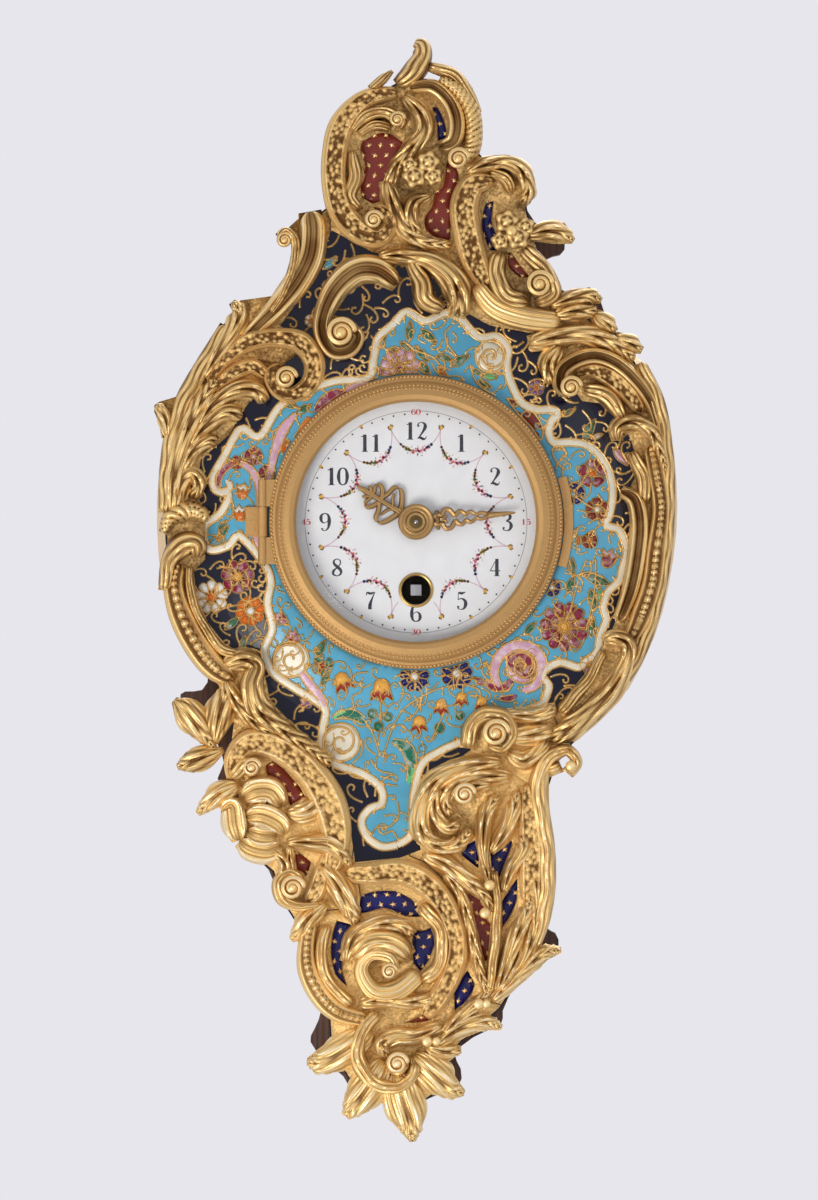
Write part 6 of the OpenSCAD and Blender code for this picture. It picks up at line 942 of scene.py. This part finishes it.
def sweep(bm, points, kind, across, step, foot, mark, blunt=0.9):
    """A scroll laid along points of x, y, half-width and height; foot gives the depth it stands on."""
    rows = spline([tuple(p) + (0.0,) * (4 - len(p)) for p in points], step)
    n = len(rows) - 1
    run = [0.0]
    for a, b in zip(rows, rows[1:]):
        run.append(run[-1] + math.dist(a[:2], b[:2]))
    heads = []
    for i in range(n + 1):
        a, b = rows[max(i - 1, 0)], rows[min(i + 1, n)]
        heads.append(math.atan2(b[1] - a[1], b[0] - a[0]))
    high, line = bm.verts.layers.float["high"], bm.verts.layers.float["line"]
    verts = bmesh.ops.create_grid(bm, x_segments=n, y_segments=across, size=1)["verts"]
    for v in verts:
        i = round((v.co.x + 1) / 2 * n)
        t = v.co.y
        x, y, w, h = rows[i]
        w = max(w, 0.05)
        lo, hi = max(i - 2, 0), min(i + 2, n)
        turn = (heads[hi] - heads[lo] + math.pi) % (2 * math.pi) - math.pi
        arc = max(run[hi] - run[lo], 1e-6)
        rise, bright, spread = section(kind, t, run[i], w)
        near = min(run[i], run[n] - run[i])
        close = math.sqrt(max(0.0, 1 - (1 - min(1.0, near / (blunt * w))) ** 2)) if blunt else 1.0
        out = t * w * spread * max(close, 0.04)
        if out * turn > 0 and abs(turn) / arc > 1e-6:
            out = math.copysign(min(abs(out), 0.92 * arc / abs(turn)), out)
        px, py = x - math.sin(heads[i]) * out, y + math.cos(heads[i]) * out
        v.co = at(px, py, foot(px, py) + max(0.0, rise) * h * (0.25 + 0.75 * close if blunt else 1.0))
        # The high attribute keeps the section's painted highlight and painted shade
        v[high] = min(max(bright, 0.0), 1.0)
        v[line] = 0.0 if kind in ("tex", "bead", "gad") else t * w
    faces = list({f for v in verts for f in v.link_faces})
    face_forward(bm, faces, mark)


def face_forward(bm, faces, mark):
    """Turns a sheet to the front and gives it its material."""
    for f in faces:
        f.normal_update()
        f.material_index = mark
        f.smooth = True
    if sum(f.normal.y * f.calc_area() for f in faces) > 0:
        bmesh.ops.reverse_faces(bm, faces=faces)


def patch(bm, outline, foot, mark, grain=4.0):
    """A flat cell of enamel or paint that follows the front."""
    part = bmesh.new()
    part.faces.new([part.verts.new((x, y, 0)) for x, y in outline])
    bmesh.ops.triangulate(part, faces=part.faces)
    for _ in range(6):
        long = [e for e in part.edges if e.calc_length() > grain]
        if not long:
            break
        bmesh.ops.subdivide_edges(part, edges=long, cuts=1)
        bmesh.ops.triangulate(part, faces=part.faces)
    for v in part.verts:
        v.co = at(v.co.x, v.co.y, foot(v.co.x, v.co.y))
    face_forward(part, part.faces[:], mark)
    merge(bm, part)


def merge(bm, part):
    """Adds one work to another."""
    sheet = bpy.data.meshes.new("sheet")
    part.to_mesh(sheet)
    part.free()
    bm.from_mesh(sheet)
    bpy.data.meshes.remove(sheet)


def new_work():
    bm = bmesh.new()
    bm.verts.layers.float.new("high")
    bm.verts.layers.float.new("line")
    return bm


def finish_piece(name, bm, materials, body, nodes=(), crease=0.9):
    """Turns the work into an object that rides on a body of the clock."""
    mesh = bpy.data.meshes.new(name)
    bm.to_mesh(mesh)
    bm.free()
    for m in materials:
        mesh.materials.append(m)
    mesh.set_sharp_from_angle(angle=crease)
    obj = bpy.data.objects.new(name, mesh)
    bpy.context.scene.collection.objects.link(obj)
    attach(obj, body)
    if nodes:
        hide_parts(*nodes)
    return obj


def thicken(obj, by):
    """Gives the sheets of a piece a back."""
    back = obj.modifiers.new("thickness", "SOLIDIFY")
    back.thickness = by * MM
    back.offset = -1


def ground_sheet(bm, node, mark):
    """The pierced sheet that carries the scrolls of a mount."""
    part = bmesh.new()
    part.from_mesh(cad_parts[node].data)
    bmesh.ops.remove_doubles(part, verts=part.verts, dist=2e-6)
    cut = bmesh.ops.bisect_plane(part, geom=part.verts[:] + part.edges[:] + part.faces[:],
                                 plane_co=at(0, 0, FACE + 1.25), plane_no=(0, -1, 0), clear_outer=True)
    edge = [e for e in cut["geom_cut"] if isinstance(e, bmesh.types.BMEdge)]
    bmesh.ops.triangle_fill(part, edges=edge, use_beauty=True)
    bmesh.ops.recalc_face_normals(part, faces=part.faces)
    for f in part.faces:
        f.material_index = mark
        f.smooth = False
    merge(bm, part)


def ball(bm, x, y, depth, r, deep, mark, u=14, v=8, petals=0):
    """A rounded boss with its middle at the given depth; petals fold it into a rosette."""
    high = bm.verts.layers.float["high"]
    verts = bmesh.ops.create_uvsphere(bm, u_segments=u, v_segments=v, radius=1)["verts"]
    for vert in verts:
        a, b, c = vert.co
        out = math.hypot(a, b)
        fold = 0.5 + 0.5 * math.cos(petals * math.atan2(b, a) + x + y) if petals else 0.0
        ring = bell(out, 0.42, 0.14) if petals else 0.0
        wide = r * (1 - 0.2 * (1 - fold) * out if petals else 1.0)
        rise = c * deep * (1 - 0.4 * ring - (0.25 * (1 - fold) * (out > 0.5) if petals else 0.0))
        vert.co = at(x + a * wide, y + b * wide, depth + rise)
        # High attribute: painted highlight on the front of the boss, painted shade round its ring and in the folds
        # between petals
        vert[high] = min(1.0, max(0.0, 0.3 + 0.5 * c - 0.5 * ring - 0.3 * (1 - fold) * (petals > 0)))
    faces = list({f for vert in verts for f in vert.link_faces})
    bmesh.ops.recalc_face_normals(bm, faces=faces)
    for f in faces:
        f.material_index = mark
        f.smooth = True


def turn(bm, profile, y):
    """A lathe-turned skin from radius and height above the dial, round an axis at the given height."""
    verts = [bm.verts.new(at(r, y, SEAT + d)) for r, d in profile]
    edges = [bm.edges.new(p) for p in zip(verts, verts[1:])]
    bmesh.ops.spin(bm, geom=verts + edges, cent=at(0, y, 0), axis=(0, 1, 0), angle=2 * math.pi, steps=48,
                   use_merge=True)
    bmesh.ops.remove_doubles(bm, verts=bm.verts, dist=1e-6)
    bmesh.ops.recalc_face_normals(bm, faces=bm.faces)
    if sum(f.normal.y * f.calc_area() for f in bm.faces) > 0:
        bmesh.ops.reverse_faces(bm, faces=bm.faces)
    for f in bm.faces:
        f.smooth = True
    for v in bm.verts:
        v[bm.verts.layers.float["high"]] = 0.7


class CARTEL_OT_ornament(bpy.types.Operator):
    """Chased gilt mounts round the front"""

    bl_idname = "cartel.ornament"
    bl_label = "Ornament"

    def execute(self, context):
        step = sizes().row_step / MM
        # Crest and flanks take a darker tone as painted shade and the lower mounts a lighter one as painted light, as
        # if lit from low on the left; matted and ground gilding are toned darker again
        worn, fresh = ([gilding("gilt_chased_" + word, tone=tone, rough=0.4),
                        gilding("gilt_matted_" + word, matted=0.9, tone=tone - 0.08, rough=0.5),
                        gilding("gilt_ground_" + word, chased=False, matted=0.7, tone=tone - 0.2, rough=0.5)]
                       for word, tone in (("worn", -0.12), ("fresh", 0.03)))
        mounts = {"crest": (CREST, CREST_BOSSES), "left": (LEFT_FLANK, LEFT_FLANK_BOSSES),
                  "right": (RIGHT_FLANK, RIGHT_FLANK_BOSSES), "rose": (ROSE, ROSE_BOSSES),
                  "reed": (REED, REED_BOSSES), "base": (BASE, BASE_BOSSES)}
        for name, (scrolls, bosses) in mounts.items():
            bm = new_work()
            for kind, *points in scrolls:
                matted = kind == "tex"
                sweep(bm, points, kind, 20 if matted else 14, step, lambda x, y: FACE + 0.3, 1 if matted else 0)
            for x, y, r, h in bosses:
                flower = r > 1.7 and any(0 < math.dist((x, y), b[:2]) < 3.6 * r for b in bosses)
                coiled = r > 1.7 and not flower
                wide = (0.62 if coiled else 1.1) * r
                ball(bm, x, y, FACE + h - 0.7 * r, wide, 0.75 * r, 0, 30, 14, 5 if flower else 0)
                if coiled:
                    turns = [(a, 1.3 * r * (1 - a / 16)) for a in (2 * math.pi * i / 12 for i in range(22))]
                    coil = [(*polar(q, a, x, y), 0.13 * r + 0.16 * q, 0.5 * r) for a, q in turns]

                    def slope(px, py):
                        return FACE + h - 0.45 * r - 0.2 * math.dist((px, py), (x, y))

                    sweep(bm, coil, "dome", 8, step, slope, 0)
            node = name + "_mount"
            ground_sheet(bm, node, 2)
            # Darker painted-shade gilding for the upper mounts, lighter painted-light gilding for the lower ones
            finishes = worn if name in ("crest", "left", "right") else fresh
            finish_piece("chased_" + name, bm, finishes, "case", (node,))
        return {"FINISHED"}


class CARTEL_OT_enamel(bpy.types.Operator):
    """Cloisonne cells, scrolls and flowers of the front"""

    bl_idname = "cartel.enamel"
    bl_label = "Enamels"

    def execute(self, context):
        c = colours()
        names = ["navy", "royal", "russet", "cream", "maroon", "pink", "violet", "green", "amber", "white",
                 "turquoise", "straw", "brick", "mint"]
        shaded = ("maroon", "pink", "violet", "green")
        finishes = [glaze("enamel_" + n, getattr(c, n), milky=0.45 if n in shaded else 0) for n in names]
        wire = sizes().wire / MM
        bm, wires = new_work(), new_work()

        def over(lift):
            return lambda x, y: front(x, y) + lift

        def clear(points):
            """Keeps points off the ring that the closed bezel covers."""
            pushed = [max(1.0, PATTERN_EDGE / max(math.hypot(x, y), 1.0)) for x, y in points]
            return [(x * k, y * k) for (x, y), k in zip(points, pushed)]

        def line(points, half=wire, lift=0.05):
            sweep(wires, [(x, y, half, 0.3) for x, y in clear(points)], "dome", 2, 0.9, over(lift), 0, blunt=0)

        def cell(outline, colour, lift, half=wire):
            outline = clear(outline)
            patch(bm, outline, over(lift), names.index(colour))
            line(list(outline) + [outline[0]], half, lift)

        def beside(rows, side):
            edge = []
            for a, b in zip(rows, rows[1:]):
                g = math.dist(a[:2], b[:2])
                if g > 0.1:
                    out = side * (a[2] if len(a) > 2 else 1.0) / g
                    edge.append((a[0] - out * (b[1] - a[1]), a[1] + out * (b[0] - a[0])))
            return edge

        def turned(x, y, angle, shape, size):
            ca, sa = math.cos(angle) * size, math.sin(angle) * size
            return [(x + ca * u - sa * v, y + sa * u + ca * v) for u, v in shape]

        def ring(x, y, r):
            return [polar(r, math.pi * i / 6, x, y) for i in range(12)]

        for half, start, span in zip(CARTOUCHE, (-93, 96), (189, 171)):
            edge = [(x, y) for x, y in spline(half, 1.5)]
            arc = [polar(GROUND_EDGE, math.radians(start + span * i / 60)) for i in range(61)]
            patch(bm, edge + arc, over(0.06), names.index("turquoise"), 3.0)
            sweep(bm, [(x, y, 1.1, 0.25) for x, y in half], "dome", 6, 0.8, over(0.1), names.index("cream"), blunt=0)
            for side in (-1.15, 1.15):
                line(beside(edge, side), lift=0.12)
        for colour, *outline in GROUNDS:
            cell(outline, colour, 0.08)
        for colour, *outline in WINDOWS:
            cell(outline, colour, 0.06)
            mx, my = (sum(p[k] for p in outline) / len(outline) for k in (0, 1))
            for i in range(-4, 5):
                for k in range(-6, 7):
                    x, y = mx + SPRIG_GAP[0] * (i + 0.5 * (k % 2)), my + SPRIG_GAP[1] * k
                    if inside(x, y, outline):
                        patch(wires, turned(x, y, 1.1 * i + 0.7 * k, SPRIG, 1.2), over(0.1), 0)
        for i in range(TENDRILS):
            x, y = polar(48 + 55 * ((i * TENDRIL_STRIDE) % 1), i * TENDRIL_TURN)
            if inside(x, y, FIELD):
                dark = not inside(x, y, CARTOUCHE[0] + CARTOUCHE[1])
                size, half = (2.4, 0.42) if dark else (1.7, 0.36)
                line(turned(x, y, i * 1.7, CURL, size + 0.5 * (i % 3)), half, 0.09)
        for colour, *points in BORDERS:
            path = [(x, y, w, 0.25) for x, y, w in points]
            sweep(bm, path, "dome", 6, 0.8, over(0.1), names.index(colour))
            rows = spline(path, 1.2)
            for side in (-1, 1):
                line(beside(rows, side), lift=0.12)
        for x, y, r, start in COILS:
            cell(ring(x, y, r), "cream" if x < 20 or y > 0 else "pink", 0.14)
            turns = [(1 - i / 27, math.radians(start) - 11 * i / 27) for i in range(25)]
            line([polar(r * k, a, x, y) for k, a in turns], 0.4, 0.32)
        for stem in STEMS:
            line([(x, y) for x, y in spline(stem, 1.5)], 0.38, 0.13)
        for colour, x, y, angle, size in LEAVES:
            angle = math.radians(angle)
            cell(turned(x, y, angle, LEAF, size), colour, 0.14, 0.28)
            line(turned(x, y, angle, [(-0.9, 0), (0.1, 0.04), (0.95, 0)], size), 0.14, 0.17)
        for colour, x, y, angle, size in TULIPS:
            angle = math.radians(angle)
            lip, hood = {"amber": ("brick", "straw"), "white": ("white", "amber")}.get(colour, ("pink", colour))
            cell(turned(x, y, angle, CUP, size), lip, 0.16, 0.26)
            cell(turned(x, y, angle, HOOD, size), hood, 0.2, 0.2)
        double = [(c1, h, x, y, 0.6 * r, n - 3) for c1, h, x, y, r, n in FLOWERS if r > 6 and n]
        for colour, heart, x, y, r, n in FLOWERS + double:
            for i in range(n):
                a = 2 * math.pi * (i + 0.25) / n
                wide = min(0.46, 2.3 / n) * r
                petal = [(-0.36 * r, 0), (-0.1 * r, 0.7 * wide), (0.2 * r, wide), (0.36 * r, 0.5 * wide),
                         (0.36 * r, -0.5 * wide), (0.2 * r, -wide), (-0.1 * r, -0.7 * wide)]
                cell(turned(*polar(0.62 * r, a, x, y), a, petal, 1), colour, 0.18, 0.22)
            cell(ring(x, y, 0.27 * r), heart, 0.24, 0.22)
        gold = gilding("gilt_wire", chased=False, tone=0.1, rough=0.34)
        for name, work, coats, slot in (("cloisonne_cells", bm, finishes, "enamel_field"),
                                        ("cloisonne_wires", wires, [gold], "gilt_bronze")):
            bmesh.ops.remove_doubles(work, verts=work.verts, dist=1e-7)
            thicken(finish_piece(name, work, coats, "case"), 0.25)
        return {"FINISHED"}


class CARTEL_OT_dial(bpy.types.Operator):
    """Painted hours, minutes, stars and garlands of the dial"""

    bl_idname = "cartel.dial"
    bl_label = "Dial"

    def execute(self, context):
        c, s = colours(), sizes()
        names = ["ink", "red", "pink", "rosy", "straw", "olive", "blue", "gold"]
        finishes = [paint("paint_" + n, getattr(c, n)) for n in names]
        gold = names.index("gold")
        bm = new_work()

        def flat(x, y):
            return SEAT + 0.03

        def over(x, y):
            return SEAT + 0.045

        def figure(text, x, y, tall, colour, broad=1.0):
            wide = 0.66 * tall * broad
            for i, digit in enumerate(text):
                left = x + (i - len(text) / 2) * wide + 0.03 * tall
                for stroke in FIGURES[digit]:
                    path = [(left + px * tall * broad, y + (py - 0.5) * tall, w * tall * 1.2 * broad, 0.012)
                            for px, py, w in stroke]
                    sweep(bm, path, "dome", 2, tall * 0.05, flat, names.index(colour), blunt=0)

        def dot(x, y, r, mark, sides=10):
            patch(bm, [polar(r, 2 * math.pi * i / sides, x, y) for i in range(sides)], over, mark)

        hours, minutes, stars = s.hour_ring / MM, s.minute_ring / MM, s.swag_ring / MM
        for h in range(1, 13):
            a = math.radians(90 - 30 * h)
            figure(str(h), *polar(hours, a), s.figure_height / MM, "ink")
            b = a + math.radians(15)
            star = [polar(0.45 if i % 2 else 1.0, b + i * math.pi / 8, *polar(stars, b)) for i in range(16)]
            patch(bm, star, over, gold)
            swag = []
            for i in range(21):
                side = stars * math.sin(math.radians(15)) * (1 - i / 10)
                r = stars * math.cos(math.radians(15)) - s.swag_drop / MM * (1 - (i / 10 - 1) ** 2) ** 0.75
                swag.append((r * math.cos(a) - side * math.sin(a), r * math.sin(a) + side * math.cos(a)))
            clear = [math.hypot(x, y + WIND_DROP) > WELL + 1.6 for x, y in swag]
            for part in (slice(0, 11), slice(10, 21)):
                path = [(x, y, 0.13, 0.01) for (x, y), free in zip(swag[part], clear[part]) if free]
                sweep(bm, path, "dome", 2, 0.6, flat, names.index("pink"), blunt=0)
            for i, (x, y) in enumerate(swag[4:17]):
                if not clear[i + 4]:
                    continue
                kind = ("straw", "straw", "gold", "olive", "straw", "rosy", "pink", "rosy", "rosy", "pink", "rosy",
                        "blue", "blue")[i]
                petals = (kind, kind, "olive" if i % 3 else kind, "pink", "straw" if i % 4 else "ink", "pink")
                for k in range(6):
                    a2, out = 2.4 * (6 * i + k) + h, (0.0, 0.7, 1.1, 1.5, 1.8, 2.0)[k] * bell(i, 6.5, 4.5)
                    dot(*polar(out, a2, x, y), (0.46, 0.4, 0.3, 0.24, 0.2, 0.16)[k], names.index(petals[k]), 7)
            if h % 3 == 0:
                figure(str(h * 5), *polar(minutes + 0.6, a), 1.7, "red", 1.35)
            else:
                dot(*polar(minutes + 0.6, a), 0.6, gold)
        for m in range(60):
            a = math.radians(6 * m)
            if m % 15:
                dot(*polar(minutes, a), 0.31, names.index("ink"), 8)
        track = [(*polar(minutes + 0.9, math.radians(3 * i)), 0.06, 0.008) for i in range(121)]
        sweep(bm, track, "dome", 2, 1.0, flat, names.index("ink"), blunt=0)
        finish_piece("painted_dial", bm, finishes, "case")
        bm = new_work()
        # The well and the washer behind it are very dark brass: painted shadow inside the winding hole
        turn(bm, [(WELL, -2.0), (WELL, 0.1)], -WIND_DROP)
        hole_shadow = turned_brass("brass_blackened", 0.02, 0.75)
        finish_piece("winding_well", bm, [hole_shadow], "case")
        bm = new_work()
        turn(bm, [(2.3, -1.9), (WELL - 0.1, -1.9)], -WIND_DROP)
        for v in bm.verts:
            x, y = v.co.x / MM, v.co.z / MM + DIAL_DROP + WIND_DROP
            if math.hypot(x, y) < 3:
                k = SQUARE / max(abs(x), abs(y))
                v.co = at(x * k, y * k - WIND_DROP, SEAT - 1.9)
        finish_piece("winding_washer", bm, [hole_shadow], "winding_arbor")
        return {"FINISHED"}


class CARTEL_OT_hands(bpy.types.Operator):
    """Pierced gilt hands"""

    bl_idname = "cartel.hands"
    bl_label = "Hands"

    def execute(self, context):
        finish = gilding("gilt_hands", tone=-0.1, rough=0.42, shade=0.86)
        for name, node, body, strokes in (("hour_filigree", "hour_hand", "hour_pipe", HOUR_HAND),
                                          ("minute_filigree", "minute_hand", "minute_arbor", MINUTE_HAND)):
            low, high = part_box(node)
            tip = max((v.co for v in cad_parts[node].data.vertices),
                      key=lambda p: math.hypot(p.x, p.z + DIAL_DROP * MM))
            turn = math.atan2(tip.z + DIAL_DROP * MM, tip.x)
            foot, thick = -high.y / MM, (high.y - low.y) / MM
            bm = new_work()
            for stroke in strokes:
                for side in (1, -1):
                    path = [(*polar(across * side, turn + math.pi / 2, *polar(along, turn)), 1.6 * half, thick)
                            for along, across, half in stroke]
                    sweep(bm, path, "dome", 6, 0.5, lambda x, y: foot, 0)
                    if all(p[1] == 0 for p in stroke):
                        break
            ring = [(*polar(4.4, math.radians(12 * i)), 1.1, thick) for i in range(31)]
            sweep(bm, ring, "dome", 6, 0.8, lambda x, y: foot, 0, blunt=0)
            thicken(finish_piece(name, bm, [finish], body, (node,)), 0.15)
        return {"FINISHED"}


class CARTEL_OT_rim(bpy.types.Operator):
    """Beaded rims of the bezel and the turned boss of the hands"""

    bl_idname = "cartel.rim"
    bl_label = "Rims and boss"

    def execute(self, context):
        bead = sizes().bead / MM
        bm = new_work()
        rims = ((46.3, 3.4, bead, 240), (43.5, 5.65, 0.9 * bead, 210), (42.6, 6.2, 0.75 * bead, 210))
        for r, depth, size, count in rims:
            for i in range(count):
                ball(bm, *polar(r, 2 * math.pi * i / count), SEAT + depth, size, size, 0, 6, 4)
        beads = gilding("gilt_beads", tone=0.05, rough=0.4, shade=1.0)
        finish_piece("beaded_rims", bm, [beads], "bezel_door")
        bm = new_work()
        turn(bm, [(0.95, 4.15), (1.9, 4.1), (2.5, 4.35), (2.9, 4.3), (3.05, 3.75), (3.3, 3.6), (3.7, 3.85),
                  (4.1, 3.8), (4.3, 3.5), (4.6, 3.5), (5.2, 3.75), (5.6, 3.5), (5.75, 3.2), (5.5, 3.15),
                  (3.9, 3.15)], 0)
        boss = gilding("gilt_boss", tone=-0.05, rough=0.36, shade=0.82)
        finish_piece("hand_boss", bm, [boss], "minute_arbor")
        bm = new_work()
        turn(bm, [(0, 5.0), (0.5, 4.95), (0.8, 4.6), (0.85, 4.3), (1.0, 4.1)], 0)
        finish_piece("hand_pin", bm, [grained_steel("steel_pin", (0.4, 0.39, 0.38), 0.3)], "minute_arbor")
        return {"FINISHED"}


class CARTEL_OT_finishes(bpy.types.Operator):
    """Finishes of the turned, cut and blown parts"""

    bl_idname = "cartel.finishes"
    bl_label = "Finishes"

    def execute(self, context):
        c = colours()
        by_slot = {
            "gilt_bronze": gilding("gilt_plain", chased=False, tone=0.12, rough=0.3),
            "brass": turned_brass("brass_turned"),
            "steel": grained_steel("steel_grained", (0.55, 0.55, 0.56), 0.32),
            "blued_steel": grained_steel("steel_blued", (0.03, 0.05, 0.22), 0.28),
            "walnut": waxed_wood("walnut_waxed"),
            "enamel_field": glaze("enamel_ground", c.navy, 0.6),
            "dial_enamel": glaze("enamel_dial", c.dial, 0.94, 0.1),
            "glass": clear_glass("glass_clear"),
        }
        toned = gilding("gilt_toned", chased=False, matted=0.2, tone=0.0, rough=0.5, shade=0.88)
        catch = gilding("gilt_catch", chased=False, rough=0.62, shade=1.0)
        dull = turned_brass("brass_dull", 0.35, 0.4)
        special = {"bezel": toned, "hinge_leaf": catch, "bezel_catch": catch, "hand_collet": dull}
        for name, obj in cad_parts.items():
            obj.data.materials.clear()
            obj.data.materials.append(special.get(name) or by_slot[SLOT_OF[name]])
            for p in obj.data.polygons:
                p.material_index = 0
        return {"FINISHED"}


class CARTEL_OT_stage(bpy.types.Operator):
    """Pale ground, lamps and camera"""

    bl_idname = "cartel.stage"
    bl_label = "Stage"

    def execute(self, context):
        c = colours()
        scene = context.scene
        bm = bmesh.new()
        bmesh.ops.create_grid(bm, x_segments=8, y_segments=8, size=4,
                              matrix=Matrix.Translation((0, 0, FLOOR_LEVEL)))
        mesh = bpy.data.meshes.new("floor")
        bm.to_mesh(mesh)
        bm.free()
        floor = bpy.data.objects.new("floor", mesh)
        scene.collection.objects.link(floor)
        pale = Finish("floor_paper", Roughness=0.9)
        pale.feed("Base Color", pale.blend(pale.noise(3, 2), [v * 0.97 for v in c.backdrop], c.backdrop))
        plain = pale.make("ShaderNodeEmission", {"Color": (*c.backdrop, 1)})
        pale.show("Material Output", pale.seen() * FLOOR_PLAIN, Socket(pale, pale.shader.outputs[0]), plain)
        mesh.materials.append(pale.material)
        for name, where, size, power, colour in (
                ("key", (-0.62, -0.9, -0.72), 0.5, 9, (1.0, 0.98, 0.94)),
                ("fill", (1.3, -1.2, 0.1), 1.2, 4, (0.93, 0.96, 1.0)),
                ("top", (-0.5, -1.3, 1.0), 0.9, 1, (0.97, 0.98, 1.0)),
                ("back", (0.3, 1.4, 0.9), 1.2, 10, (1.0, 1.0, 1.0))):
            lamp = bpy.data.lights.new(name, "AREA")
            lamp.size = size
            lamp.energy = power
            lamp.color = colour
            obj = bpy.data.objects.new(name, lamp)
            obj.location = where
            obj.rotation_euler = (LAMP_AIM - Vector(where)).to_track_quat("-Z", "Y").to_euler()
            scene.collection.objects.link(obj)
        world = bpy.data.worlds.new("studio")
        world.use_nodes = True
        sky = Nodes(world.node_tree)
        room = sky.make("ShaderNodeBackground", {"Color": (0.92, 0.94, 1.0, 1), "Strength": 0.62})
        ground = sky.make("ShaderNodeBackground", {"Color": (*c.backdrop, 1)})
        sky.show("World Output", sky.seen(), room, ground)
        scene.world = world
        scene.view_settings.view_transform = "Standard"
        eye = bpy.data.cameras.new("camera")
        eye.sensor_fit = "VERTICAL"
        eye.sensor_height = 36
        eye.lens = CAMERA_LENS
        eye.clip_end = 50
        camera = bpy.data.objects.new("camera", eye)
        camera.location = (CAMERA_X, -sizes().camera_distance, CAMERA_Z)
        camera.rotation_euler = (math.pi / 2, 0, 0)
        scene.collection.objects.link(camera)
        scene.camera = camera
        return {"FINISHED"}


class CARTEL_PT_panel(bpy.types.Panel):
    """Sizes, colours and steps of the clock"""

    bl_idname = "CARTEL_PT_panel"
    bl_label = "Cartel clock"
    bl_space_type = "VIEW_3D"
    bl_region_type = "UI"
    bl_category = "Cartel clock"

    def draw(self, context):
        for group in (context.scene.cartel_sizes, context.scene.cartel_colours):
            for key in group.__annotations__:
                self.layout.prop(group, key)
        for step in STEPS:
            self.layout.operator(step.bl_idname)


STEPS = (CARTEL_OT_ornament, CARTEL_OT_enamel, CARTEL_OT_dial, CARTEL_OT_hands, CARTEL_OT_rim, CARTEL_OT_finishes,
         CARTEL_OT_stage)
CLASSES = (CartelSizes, CartelColours) + STEPS + (CARTEL_PT_panel,)


def register():
    for cls in CLASSES:
        bpy.utils.register_class(cls)
    bpy.types.Scene.cartel_sizes = bpy.props.PointerProperty(type=CartelSizes)
    bpy.types.Scene.cartel_colours = bpy.props.PointerProperty(type=CartelColours)


def unregister():
    del bpy.types.Scene.cartel_sizes, bpy.types.Scene.cartel_colours
    for cls in reversed(CLASSES):
        bpy.utils.unregister_class(cls)


def main():
    register()
    for step in (bpy.ops.cartel.finishes, bpy.ops.cartel.ornament, bpy.ops.cartel.enamel, bpy.ops.cartel.dial,
                 bpy.ops.cartel.hands, bpy.ops.cartel.rim, bpy.ops.cartel.stage):
        step()


if __name__ == "__main__":
    main()
